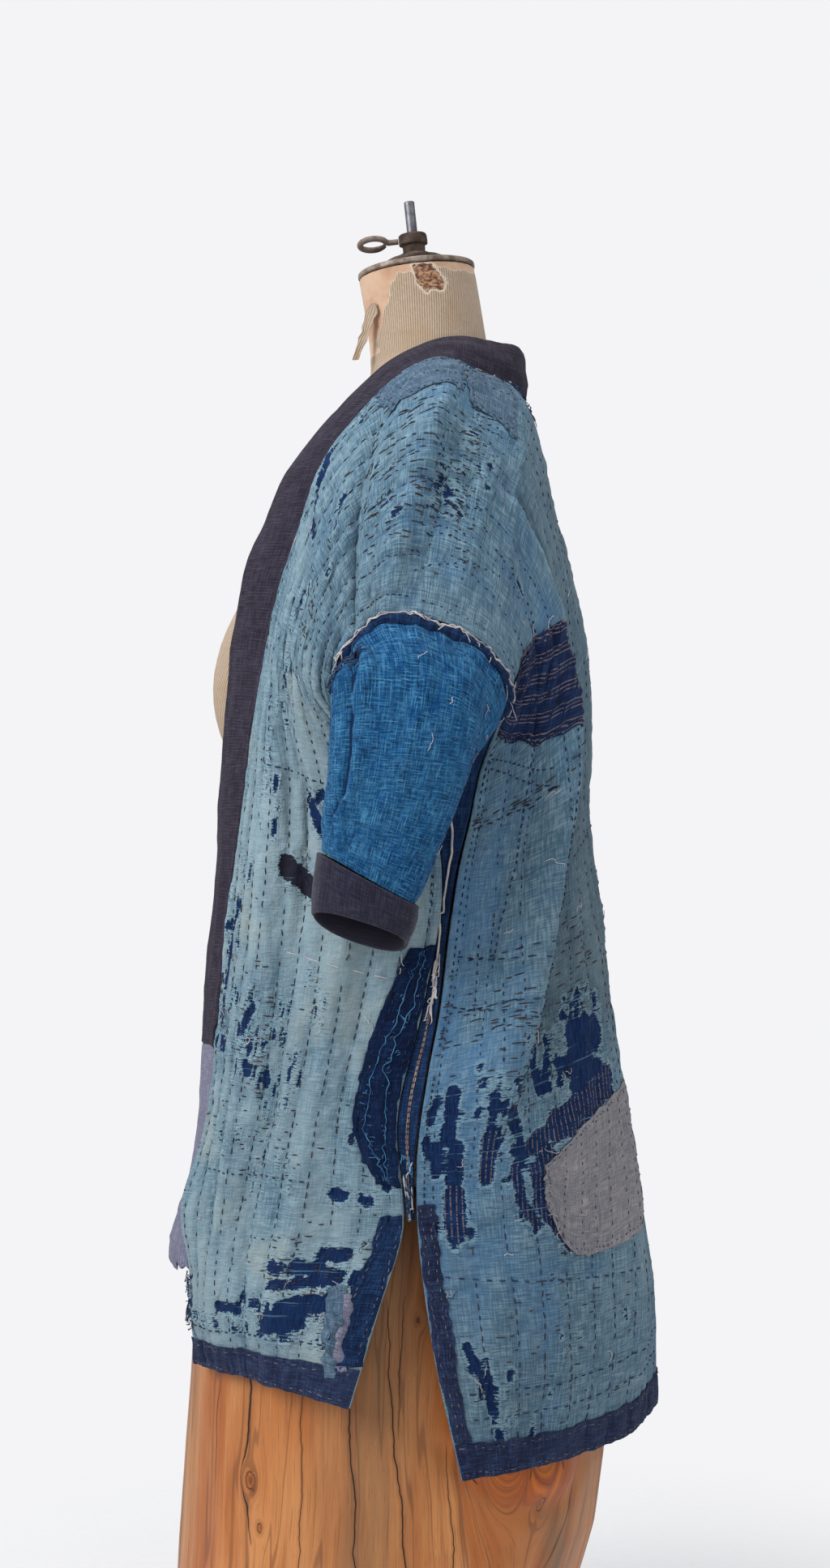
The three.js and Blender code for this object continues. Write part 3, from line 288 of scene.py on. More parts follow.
def slopes_at(knots: Array, points: Array) -> Array:
    """Slope at each knot, from the parabola through it and its two neighbours.

    Args:
        knots: (..., n) uneven places.
        points: (..., n, d) values there.

    Returns:
        (..., n, d) slopes. The two ends take the slope of their own chord.
    """
    step = np.diff(knots, axis=-1)[..., None]
    chord = np.diff(points, axis=-2) / step
    before, after = step[..., :-1, :], step[..., 1:, :]
    inner = (chord[..., :-1, :] * after + chord[..., 1:, :] * before) / (before + after)
    return np.concatenate([chord[..., :1, :], inner, chord[..., -1:, :]], axis=-2)


def blended(p0: Array, p1: Array, m0: Array, m1: Array, h: Array, t: Array) -> Array:
    """Cubic between p0 and p1 with slopes m0 and m1 over a span h, at the fraction t (Hermite form)."""
    t2, t3 = t * t, t * t * t
    return p0 * (2 * t3 - 3 * t2 + 1) + m0 * h * (t3 - 2 * t2 + t) + p1 * (3 * t2 - 2 * t3) + m1 * h * (t3 - t2)


@dataclass
class Curve:
    """A smooth curve through rows of values, asked for by row number and a fraction beyond it."""

    points: Array

    def __post_init__(self) -> None:
        """Works out the knots, spaced by the distance between rows, and the slopes."""
        self.points = np.asarray(self.points, float)
        gaps = np.maximum(np.linalg.norm(np.diff(self.points, axis=0), axis=1), 1e-6)
        self.knots = totals(gaps)
        self.slopes = slopes_at(self.knots, self.points)

    def at(self, place: Array) -> Array:
        """Values at places (m,), as (m, d)."""
        place = np.asarray(place, float)
        k = np.clip(np.floor(place).astype(int), 0, len(self.points) - 2)
        t = (place - k)[..., None]
        h = (self.knots[k + 1] - self.knots[k])[..., None]
        return blended(self.points[k], self.points[k + 1], self.slopes[k], self.slopes[k + 1], h, t)


@dataclass
class StripShape:
    """The bare surface of one body strip, from its section table and its folds."""

    folds: Sequence[Fold]

    def __post_init__(self) -> None:
        """Lays the table out as five columns with one set of knots along them."""
        table = np.array([row[1:] for row in BODY_ROWS], float)
        self.columns = table.transpose(1, 0, 2)
        gaps = np.linalg.norm(np.diff(self.columns, axis=1), axis=2).mean(axis=0)
        self.knots = totals(gaps)
        self.slopes = slopes_at(np.broadcast_to(self.knots, self.columns.shape[:2]), self.columns)

    def bare(self, across: Array, along: Array) -> Array:
        """Places (n, 3) at flat arrays across and along: a curve down each column, then one across the five."""
        k = np.clip(np.floor(along).astype(int), 0, len(self.knots) - 2)
        t = (along - k)[None, :, None]
        h = (self.knots[k + 1] - self.knots[k])[None, :, None]
        c, s = self.columns, self.slopes
        five = blended(c[:, k], c[:, k + 1], s[:, k], s[:, k + 1], h, t).transpose(1, 0, 2)
        gaps = np.linalg.norm(np.diff(five, axis=1), axis=2)
        knots = np.concatenate([np.zeros((len(five), 1)), np.cumsum(gaps, axis=1)], axis=1)
        slopes = slopes_at(knots, five)
        place = np.clip(across * 4.0, 0.0, 4.0)
        j = np.clip(np.floor(place).astype(int), 0, 3)
        n = np.arange(len(five))
        w = (knots[n, j + 1] - knots[n, j])[:, None]
        p = blended(five[n, j], five[n, j + 1], slopes[n, j], slopes[n, j + 1], w, (place - j)[:, None])
        behind = along > CENTRE_SEAM_ROW
        p[behind, 0] = np.maximum(p[behind, 0], CENTRE_BACK_GAP / 2)
        return p

    def rise(self, fold: Fold, across: Array, along: Array, rims: bool = True) -> Array:
        """How strongly a fold acts: a bell across its run that fades beyond both ends and at the strip's rims."""
        sx, sy = fold.start[0] * PANEL_WIDTH, fold.start[1] * ROW_SPACING
        rx, ry = fold.end[0] * PANEL_WIDTH - sx, fold.end[1] * ROW_SPACING - sy
        hx, hy = across * PANEL_WIDTH - sx, along * ROW_SPACING - sy
        length = math.hypot(rx, ry)
        t = (hx * rx + hy * ry) / length**2
        away = (hx * ry - hy * rx) / length / fold.width
        value = np.exp(-away * away) * smooth((t + 0.25) / 0.4) * smooth((1.25 - t) / 0.4)
        if rims:
            value = value * smooth(across / 0.12) * smooth((1 - across) / 0.12)
        return value

    def folded(self, across: Array, along: Array) -> Array:
        """The bare surface with its main folds: each lifts the cloth outwards and leans it sideways."""
        e = 0.01
        p = self.bare(across, along)
        side = unit(self.bare(np.minimum(1, across + e), along) - self.bare(np.maximum(0, across - e), along))
        up = unit(
            self.bare(across, np.minimum(BACK_HEM_ROW, along + e)) - self.bare(across, np.maximum(0, along - e))
        )
        out = unit(np.cross(side, up))
        for fold in self.folds:
            rise = self.rise(fold, across, along)[:, None]
            p = p + out * (fold.height * rise) + side * (fold.lean * rise)
        return p


# ---------------------------------------------------------------- surfaces
class Surface:
    """A cloth surface kept as a fine table of places over (across, along), with its normals, its
    flat-cloth coordinates in millimetres and any named values that its finish reads."""

    def __init__(self, points: Array, top: float, wraps: bool = False, facing: float = 1.0) -> None:
        """
        Args:
            points: (rows, cols, 3) places, cols over across 0 to 1 and rows over along 0 to top.
            top: the last value of along.
            wraps: whether across 1 is the same line as across 0.
            facing: 1 or -1, so that the normals leave the cloth's outer face.
        """
        self.points, self.top, self.wraps, self.facing = points, top, wraps, facing
        self.rows, self.cols = points.shape[:2]
        self.values: dict[str, Array] = {}
        run = np.linalg.norm(np.diff(points, axis=0), axis=2).mean(axis=1)
        wide = np.linalg.norm(np.diff(points, axis=1), axis=2).mean(axis=0)
        y = totals(run)
        x = totals(wide)
        self.flat_x, self.flat_y = np.meshgrid(x, y)
        self.normals = self._normals()

    def _normals(self) -> Array:
        """Unit normals from the cross product of the steps across and along."""
        p = self.points
        if self.wraps:
            ring = np.concatenate([p[:, -2:-1], p, p[:, 1:2]], axis=1)
            across = ring[:, 2:] - ring[:, :-2]
        else:
            across = np.gradient(p, axis=1)
        return unit(np.cross(across, np.gradient(p, axis=0))) * self.facing

    def grids(self) -> tuple[Array, Array]:
        """The across and along value of every table place."""
        return np.meshgrid(np.linspace(0, 1, self.cols), np.linspace(0, self.top, self.rows))

    def size(self) -> tuple[float, float]:
        """How wide and how long the cloth is laid flat, in millimetres."""
        return float(self.flat_x.max()), float(self.flat_y.max())

    def metres(self) -> tuple[float, float]:
        """The same in metres."""
        wide, long = self.size()
        return wide / 1000, long / 1000

    def spaced(self, pitch: float, taller: float, rounding: float) -> tuple[Array, Array]:
        """The lines of a wall's outer face, across and along, at a pitch each way in millimetres."""
        wide, long = self.size()
        return lines(wide, pitch, rounding), lines(long, taller, rounding) * self.top

    def face(self, ways: Array) -> None:
        """Turns the normals over if they look against the given ways."""
        if (self.normals * ways).sum() < 0:
            self.facing, self.normals = -self.facing, -self.normals

    def raise_by(self, height: Array) -> None:
        """Moves the surface out along its normals by height, and works the normals out again."""
        self.points = self.points + self.normals * height[..., None]
        self.normals = self._normals()

    def read(self, table: Array, across: Array, along: Array) -> Array:
        """Values of a table at any places, blended from the four nearest entries."""
        gx = np.clip(across, 0, 1) * (self.cols - 1)
        gy = np.clip(along / self.top, 0, 1) * (self.rows - 1)
        i = np.clip(np.floor(gy).astype(int), 0, self.rows - 2)
        j = np.clip(np.floor(gx).astype(int), 0, self.cols - 2)
        fy, fx = gy - i, gx - j
        if table.ndim == 3:
            fy, fx = fy[..., None], fx[..., None]
        low = table[i, j] * (1 - fx) + table[i, j + 1] * fx
        high = table[i + 1, j] * (1 - fx) + table[i + 1, j + 1] * fx
        return low * (1 - fy) + high * fy

    def at(self, across: Array, along: Array, lift: Array | float = 0.0) -> Array:
        """Places on the surface, lifted off it along its normals."""
        p = self.read(self.points, across, along)
        return p + self.normal(across, along) * np.asarray(lift, float)[..., None]

    def cut(self, across: Array, along: Array, lift: Array | float = 0.0) -> "Surface":
        """A piece of cloth laid on this one at grids of places, with its own flat size."""
        laid = Surface(self.at(across, along, lift), 1.0)
        laid.face(self.normal(across, along))
        return laid

    def normal(self, across: Array, along: Array) -> Array:
        """Unit normals at any places."""
        return unit(self.read(self.normals, across, along))

    def flat(self, across: Array, along: Array) -> Array:
        """Flat-cloth coordinates (..., 2) at any places, in millimetres."""
        return joined(self.read(self.flat_x, across, along), self.read(self.flat_y, across, along))


# ---------------------------------------------------------------- meshes
def block(rows: int, cols: int, start: int = 0, wrap: bool = False) -> Array:
    """Quads (n, 4) over a grid of points numbered row by row from start."""
    last = cols if wrap else cols - 1
    i, j = np.meshgrid(np.arange(rows - 1), np.arange(last), indexing="ij")
    k = (j + 1) % cols
    quads = joined(i * cols + j, i * cols + k, (i + 1) * cols + k, (i + 1) * cols + j)
    return quads.reshape(-1, 4) + start


def hem_faces(fine: Array, coarse: Array, every: int) -> list[Array]:
    """Faces between a fine line of points and a coarse one that has a point at each fine one's every-th.

    Args:
        fine: point numbers along the fine line.
        coarse: point numbers along the coarse line.
        every: fine steps to each coarse step.

    Returns:
        Triangle arrays that join the two lines with no gap.
    """
    k = np.arange(len(fine) - 1)
    split = (every + 1) // 2
    near = k // every + (k % every >= split)
    fans = joined(fine[k + 1], fine[k], coarse[near])
    j = np.arange(len(coarse) - 1)
    bridges = joined(coarse[j], coarse[j + 1], fine[j * every + split])
    return [fans, bridges]


def mesh_object(
    name: str,
    points: Array,
    faces: Sequence[Array],
    finish: Material,
    flat: Array | None = None,
    values: dict[str, Array] | None = None,
    crease: float = 60.0,
    round_mm: float = 0.0,
) -> Piece:
    """Makes a mesh object with its faces outwards.

    Args:
        name: the piece's name.
        points: (n, 3) places in millimetres.
        faces: arrays of triangles or quads.
        finish: its material.
        flat: (n, 2) flat-cloth coordinates in millimetres, kept in metres.
        values: named values for each point.
        crease: edges sharper than this many degrees stay sharp.
        round_mm: flat length once round a tube, so that the face that closes it reads on from the last.

    Returns:
        The object, linked to the scene, at the origin.
    """
    faces = [f for f in faces if len(f)]
    signed = 0.0
    for f in faces:
        for a, b, c in ((0, 1, 2), (0, 2, 3))[: f.shape[1] - 2]:
            signed += float(np.einsum("ij,ij->i", points[f[:, a]], np.cross(points[f[:, b]], points[f[:, c]])).sum())
    if signed < 0:
        faces = [f[:, ::-1] for f in faces]
    corners = np.concatenate([f.ravel() for f in faces]).astype(np.int32)
    counts = np.concatenate([np.full(len(f), f.shape[1]) for f in faces])
    starts = np.concatenate([[0], np.cumsum(counts)[:-1]]).astype(np.int32)
    mesh = bpy.data.meshes.new(name)
    mesh.vertices.add(len(points))
    mesh.vertices.foreach_set("co", (points * MM).astype(np.float32).ravel())
    mesh.loops.add(len(corners))
    mesh.loops.foreach_set("vertex_index", corners)
    mesh.polygons.add(len(counts))
    mesh.polygons.foreach_set("loop_start", starts)
    mesh.update(calc_edges=True)
    mesh.polygons.foreach_set("use_smooth", np.ones(len(counts), bool))
    if flat is not None:
        layer = mesh.uv_layers.new(name=FLAT_MAP)
        laid = []
        for f in faces:
            place = flat[f]
            if round_mm:
                low = place[..., 0] < place[..., 0].max(axis=1, keepdims=True) - round_mm / 2
                place[..., 0] += low * round_mm
            laid.append(place.reshape(-1, 2))
        layer.data.foreach_set("uv", (np.concatenate(laid) * MM).astype(np.float32).ravel())
    for key, value in (values or {}).items():
        mesh.attributes.new(key, "FLOAT", "POINT").data.foreach_set("value", np.asarray(value, np.float32).ravel())
    mesh.set_sharp_from_angle(angle=math.radians(crease))
    mesh.materials.append(finish)
    mesh.validate()
    made = bpy.data.objects.new(name, mesh)
    bpy.context.scene.collection.objects.link(made)
    return made


def lines(length: float, pitch: float, rounding: float = 0.0, every: int = 3) -> Array:
    """Places 0 to 1 along a length: a multiple of every plus one of them, three close ones at each end."""
    count = max(4 * every, round(length / pitch / every) * every) + 1
    if not rounding:
        return np.linspace(0.0, 1.0, count)
    edge = np.array([0.0, 0.12, 0.45, 1.0]) * rounding / length
    return np.concatenate([edge[:3], np.linspace(edge[3], 1 - edge[3], count - 6), 1 - edge[2::-1]])


def rim_drop(surface: Surface, across: Array, along: Array, r: float) -> Array:
    """How far a face draws in beside an open edge, so that the edge is round."""
    place = surface.flat(across, along)
    x, y = place[..., 0], place[..., 1]
    e = np.minimum(y, surface.flat_y.max() - y)
    if not surface.wraps:
        e = np.minimum(e, np.minimum(x, surface.flat_x.max() - x))
    inwards = 1.0 - np.clip(e / r, 0.0, 1.0)
    return 0.8 * r * (1.0 - np.sqrt(1.0 - inwards**2))


def cloth_wall(
    name: str,
    surface: Surface,
    finish: Material,
    across: Array,
    along: Array,
    lift: float,
    thickness: float,
    every: int = 3,
    inner: Surface | None = None,
    inner_lift: float | None = None,
) -> Piece:
    """A closed wall of cloth: a fine outer face, a coarser inner one, and rounded edges between them.

    Near an edge at a distance e, both faces draw in by 0.8 (r - sqrt(r^2 - (r - e)^2)), with r half
    the thickness.

    Args:
        across, along: table values of the outer face's lines, a multiple of every plus one of each
            (on a tube, a multiple of every across).
        lift: how far the outer face stands off the surface.
        thickness: from the outer face to the inner one.
        every: outer lines to each inner one.
        inner: a smoother surface for the inner face, if the outer one is deeply worked.
        inner_lift: how far the inner face stands off it.

    Returns:
        The wall's object.
    """
    wraps = surface.wraps
    u, v = np.meshgrid(across, along)
    ui, vi = np.meshgrid(across[::every], along[::every])
    under = inner or surface
    outer_points = surface.at(u, v, lift - rim_drop(surface, u, v, thickness / 2))
    inner_lift = lift - thickness if inner_lift is None else inner_lift
    inner_points = under.at(ui, vi, inner_lift + rim_drop(under, ui, vi, thickness / 2))
    rows, cols = u.shape
    irows, icols = ui.shape
    base = rows * cols
    faces = [block(rows, cols, 0, wraps), block(irows, icols, base, wraps)[:, ::-1]]
    outer = np.arange(base).reshape(rows, cols)
    inside = base + np.arange(irows * icols).reshape(irows, icols)
    if wraps:
        outer = np.concatenate([outer, outer[:, :1]], axis=1)
        inside = np.concatenate([inside, inside[:, :1]], axis=1)
    rims = [(outer[0], inside[0], 1), (outer[-1], inside[-1], -1)]
    if not wraps:
        rims += [(outer[:, 0], inside[:, 0], -1), (outer[:, -1], inside[:, -1], 1)]
    for fine, coarse, turn in rims:
        faces += [f[:, ::turn] for f in hem_faces(fine, coarse, every)]
    points = np.concatenate([outer_points.reshape(-1, 3), inner_points.reshape(-1, 3)])
    flat = np.concatenate([surface.flat(u, v).reshape(-1, 2), surface.flat(ui, vi).reshape(-1, 2)])
    values = {"inside": np.concatenate([np.zeros(base), np.ones(irows * icols)])}
    for key, table in surface.values.items():
        inner_value = np.full(irows * icols, -HOLE_REACH) if key == "hole" else surface.read(table, ui, vi).ravel()
        values[key] = np.concatenate([surface.read(table, u, v).ravel(), inner_value])
    round_mm = surface.size()[0] if wraps else 0.0
    return mesh_object(name, points, faces, finish, flat, values, round_mm=round_mm)


def tubes(paths: Array, radii: Array, up: Array, sides: int) -> tuple[Array, list[Array]]:
    """Thin closed tubes, such as stitches and threads, that taper to a point at both ends.

    Args:
        paths: (m, k, 3) places along m tubes. The first and last are the points.
        radii: (m, k) radii; those of the two ends aren't used.
        up: (m, k, 3) directions that the tubes' sections are built on.
        sides: how many sides.

    Returns:
        Points (n, 3) and face arrays. A ring stands at right angles to its path, and each point lies
        at radius r and angle a: side * r cos a + top * r sin a.
    """
    m, k = paths.shape[:2]
    ahead = unit(np.gradient(paths, axis=1))
    side = unit(np.cross(ahead, up))
    top = unit(np.cross(side, ahead))
    turn = np.arange(sides) / sides * 2 * math.pi
    ring = side[:, 1:-1, None] * np.cos(turn)[:, None] + top[:, 1:-1, None] * np.sin(turn)[:, None]
    rings = paths[:, 1:-1, None] + ring * radii[:, 1:-1, None, None]
    body = rings.reshape(m, (k - 2) * sides, 3)
    points = np.concatenate([paths[:, :1], body, paths[:, -1:]], axis=1)
    per = (k - 2) * sides + 2
    quads = block(k - 2, sides, 1, wrap=True)
    s = np.arange(sides)
    first = joined(np.zeros(sides, int), 1 + (s + 1) % sides, 1 + s)
    base = 1 + (k - 3) * sides
    last = joined(np.full(sides, per - 1), base + s, base + (s + 1) % sides)
    shift = (np.arange(m) * per)[:, None, None]
    many = [(f[None] + shift).reshape(-1, f.shape[1]) for f in (quads, first, last)]
    return points.reshape(-1, 3), many


def settle(piece: Piece, body: str, slot: str, *nodes: str) -> Piece:
    """Rides a piece on its body and hides the plain solids it stands for."""
    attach(piece, body)
    if nodes:
        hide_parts(*nodes)
    triangles = sum(len(p.vertices) - 2 for p in piece.data.polygons)
    log.info("%s: %d triangles", piece.name, triangles)
    return piece


# ---------------------------------------------------------------- finishes
def ink(code: str) -> tuple[float, float, float, float]:
    """A colour from its six-digit code, as linear light."""
    parts = [int(code[i : i + 2], 16) / 255 for i in (1, 3, 5)]
    linear = [c / 12.92 if c <= 0.04045 else ((c + 0.055) / 1.055) ** 2.4 for c in parts]
    return (*linear, 1.0)


class Recipe:
    """Builds one material's nodes around a Principled shader."""

    def __init__(self, name: str, roughness: float, metallic: float = 0.0) -> None:
        """Starts the material with its plain settings."""
        self.material = bpy.data.materials.new(name)
        self.material.use_nodes = True
        self.tree = self.material.node_tree
        self.tree.nodes.clear()
        self.shader = self.node("ShaderNodeBsdfPrincipled")
        out = self.node("ShaderNodeOutputMaterial")
        self.tree.links.new(self.shader.outputs[0], out.inputs["Surface"])
        self.shader.inputs["Roughness"].default_value = roughness
        self.shader.inputs["Metallic"].default_value = metallic

    def node(self, kind: str, **settings: object) -> bpy.types.Node:
        """Adds a node and sets its properties."""
        made = self.tree.nodes.new(kind)
        for key, value in settings.items():
            setattr(made, key, value)
        return made

    def feed(self, socket: Socket, value: object) -> None:
        """Links a socket to another one, or sets its value."""
        if isinstance(value, Socket):
            self.tree.links.new(value, socket)
        else:
            socket.default_value = value

    def flat(self) -> Socket:
        """The piece's flat-cloth coordinates."""
        return self.node("ShaderNodeUVMap", uv_map=FLAT_MAP).outputs["UV"]

    def place(self) -> Socket:
        """The piece's own object coordinates."""
        return self.node("ShaderNodeTexCoord").outputs["Object"]

    def value(self, name: str) -> Socket:
        """A named value of the piece's points."""
        return self.node("ShaderNodeAttribute", attribute_type="GEOMETRY", attribute_name=name).outputs["Fac"]

    def stretch(self, where: object, scale: tuple[float, float, float], turn: float = 0.0) -> Socket:
        """Scales coordinates by axis, after turning them by some degrees about Z."""
        made = self.node("ShaderNodeMapping")
        self.feed(made.inputs["Vector"], where)
        made.inputs["Scale"].default_value = scale
        made.inputs["Rotation"].default_value = (0, 0, math.radians(turn))
        return made.outputs["Vector"]

    def math(self, operation: str, a: object, b: object = 0.0, clamp: bool = False) -> Socket:
        """One sum, product or other operation on two values."""
        made = self.node("ShaderNodeMath", operation=operation, use_clamp=clamp)
        self.feed(made.inputs[0], a)
        self.feed(made.inputs[1], b)
        return made.outputs[0]

    def times(self, a: object, b: object, clamp: bool = False) -> Socket:
        """Two values multiplied."""
        return self.math("MULTIPLY", a, b, clamp)

    def plus(self, a: object, b: object, clamp: bool = False) -> Socket:
        """Two values added."""
        return self.math("ADD", a, b, clamp)

    def minus(self, a: object, b: object) -> Socket:
        """One value less another."""
        return self.math("SUBTRACT", a, b)

    def rest(self, share: object) -> Socket:
        """What a share leaves of 1."""
        return self.minus(1.0, share)

    def turns(self, run: object, pitch_mm: float) -> Socket:
        """The angle at a run in metres of a wave whose pitch is in millimetres."""
        return self.times(run, 2000 * math.pi / pitch_mm)

    def noise(self, where: object, scale: float = 1.0, detail: float = 2.0, rough: float = 0.5) -> Socket:
        """Soft random values about 0.5."""
        made = self.node("ShaderNodeTexNoise")
        self.feed(made.inputs["Vector"], where)
        made.inputs["Scale"].default_value = scale
        made.inputs["Detail"].default_value = detail
        made.inputs["Roughness"].default_value = rough
        return made.outputs["Fac"]

    def drawn(
        self, where: object, x_scale: float, y_scale: float, detail: float, rough: float = 0.5, turn: float = 0.0
    ) -> Socket:
        """Soft random values about 0.5, drawn out along the axis of the lower scale."""
        return self.noise(self.stretch(where, (x_scale, y_scale, 1), turn), 1.0, detail, rough)

    def jitter(self, noise: object, reach: float) -> Socket:
        """Noise moved to lie about nought, and scaled."""
        return self.times(self.minus(noise, 0.5), reach)

    def step(self, value: object, low: float, high: float) -> Socket:
        """Smooth step of a value, from 0 at low to 1 at high."""
        made = self.node("ShaderNodeMapRange", interpolation_type="SMOOTHSTEP")
        self.feed(made.inputs["Value"], value)
        made.inputs["From Min"].default_value = low
        made.inputs["From Max"].default_value = high
        return made.outputs["Result"]

    def mix(self, share: object, a: object, b: object, kind: str = "MIX") -> Socket:
        """Blends colour a into colour b by share."""
        made = self.node("ShaderNodeMix", data_type="RGBA", blend_type=kind)
        self.feed(made.inputs[0], share)
        self.feed(made.inputs[6], ink(a) if isinstance(a, str) else a)
        self.feed(made.inputs[7], ink(b) if isinstance(b, str) else b)
        return made.outputs[2]

    def tint(self, colour: object, other: object, share: object, strength: float) -> Socket:
        """Blends a colour into another by a share of some strength."""
        return self.mix(self.times(share, strength), colour, other)

    def split(self, where: object) -> tuple[Socket, Socket, Socket]:
        """The three parts of coordinates."""
        made = self.node("ShaderNodeSeparateXYZ")
        self.feed(made.inputs[0], where)
        return made.outputs[0], made.outputs[1], made.outputs[2]

    def finish(self, colour: object, height: object = None, depth_mm: float = 0.3, strength: float = 0.7) -> Material:
        """Connects the colour and the relief, and gives the material."""
        self.feed(self.shader.inputs["Base Color"], ink(colour) if isinstance(colour, str) else colour)
        if height is not None:
            bump = self.node("ShaderNodeBump")
            bump.inputs["Strength"].default_value = strength
            bump.inputs["Distance"].default_value = depth_mm * MM
            self.feed(bump.inputs["Height"], height)
            self.tree.links.new(bump.outputs["Normal"], self.shader.inputs["Normal"])
        return self.material


class Stripes(Enum):
    """Which way a cloth's woven stripes run."""

    NONE = 0
    ALONG = 1
    ACROSS = 2


@dataclass(frozen=True)
class ClothFinish:
    """Worn plain-weave cotton: thread-scale slubs, cloudy fading, rubbed high places, painted shade in the puckers'
    hollows, and soft nap.
    """

    name: str
    ground: str
    pale: str
    deep: str
    thread_mm: float = 1.15
    slub: float = 0.8
    fading: float = 0.5
    nap: float = 0.5
    stripes: Stripes = Stripes.NONE
    stripe_mm: float = 7.0
    stripe_ink: str = "#b7a592"
    stripe_strength: float = 0.8
    grouped: float = 0.0
    streaks: float = 0.0
    sheen: float = 0.04
    crumple: float = 1.0
    lining: str = "#1f2738"

    def weave(self, r: Recipe, flat: object) -> Socket:
        """Slubs of both thread systems, 0 to 1: noise drawn out along the warp, plus noise along the weft."""
        t = 1000 / self.thread_mm
        warp = r.drawn(flat, t, t / 16, 1.0)
        weft = r.drawn(flat, t / 12, t, 1.0)
        return r.step(r.plus(r.times(warp, 0.5), r.times(weft, 0.5)), 0.32, 0.68)

    def stripe_share(self, r: Recipe, flat: object, threads: object) -> Socket:
        """Pinstripes: thin lines at an even pitch, broken up by the threads that cross them."""
        x, y, _ = r.split(flat)
        line = x if self.stripes is Stripes.ALONG else y
        wander = r.drawn(flat, 60, 60, 1.0)
        turn = r.plus(r.turns(line, self.stripe_mm), r.times(wander, 1.2))
        band = r.step(r.math("SINE", turn), 0.5, 0.85)
        if self.grouped:
            band = r.times(band, r.step(r.math("SINE", r.math("DIVIDE", turn, self.grouped)), -0.35, 0.0))
        broken = r.step(threads, 0.18, 0.5)
        return r.times(r.times(band, broken), self.stripe_strength)

    def dyed(self, r: Recipe, flat: object) -> tuple[object, object]:
        """The cloth's colour and relief before any mending."""
        threads = self.weave(r, flat)
        cloudy = r.noise(flat, 9.0, 3.0, 0.6)
        patchy = r.noise(flat, 48.0, 3.0, 0.65)
        colour = r.mix(r.times(threads, self.slub), self.deep, self.ground)
        colour = r.mix(0.4, colour, self.ground)
        rubbed = r.step(r.plus(r.times(patchy, 0.6), r.times(threads, 0.4)), 0.38, 0.85)
        colour = r.tint(colour, self.pale, rubbed, self.fading)
        dull = r.step(cloudy, 0.35, 0.7)
        colour = r.tint(colour, self.pale, dull, 0.28 * self.fading)
        speck = r.step(r.drawn(flat, 420, 760, 2.0), 0.3, 0.42)
        colour = r.tint(colour, self.deep, r.rest(speck), 0.45 * self.slub)
        if self.streaks:
            long = r.step(r.drawn(flat, 950, 75, 3.0, 0.65), 0.52, 0.7)
            wide = r.step(r.drawn(flat, 85, 1050, 3.0, 0.65), 0.52, 0.7)
            both = r.math("MAXIMUM", long, wide)
            colour = r.tint(colour, self.pale, both, self.streaks)
        if self.stripes is not Stripes.NONE:
            colour = r.mix(self.stripe_share(r, flat, threads), colour, self.stripe_ink)
        fuzz = r.noise(flat, 900.0, 2.0, 0.7)
        height = r.plus(r.times(threads, 0.8), r.times(fuzz, 0.6 * self.nap))
        height = r.plus(height, r.times(patchy, 1.1))
        puckers = r.drawn(flat, 75, 190, 3.0, 0.6)
        # Painted shade: the puckers' hollows are drawn darker, towards the deep colour.
        colour = r.mix(r.step(puckers, 0.5, 0.32), colour, r.mix(0.24 * self.crumple, colour, self.deep))
        height = r.plus(height, r.times(puckers, 4.5 * self.crumple))
        return colour, height

    def start(self) -> Recipe:
        """A rough, faintly napped shader."""
        r = Recipe(self.name, 0.93)
        r.shader.inputs["Sheen Weight"].default_value = self.sheen
        r.shader.inputs["Sheen Roughness"].default_value = 0.55
        r.shader.inputs["Specular IOR Level"].default_value = 0.1
        return r

    def make(self) -> Material:
        """The plain cloth, with its lining colour on the inner face."""
        r = self.start()
        flat = r.flat()
        colour, height = self.dyed(r, flat)
        colour = r.mix(
            r.step(r.value("inside"), 0.3, 0.7), colour, r.mix(r.noise(flat, 60.0, 3.0), self.lining, self.deep)
        )
        return r.finish(colour, height, 0.35, 0.8)


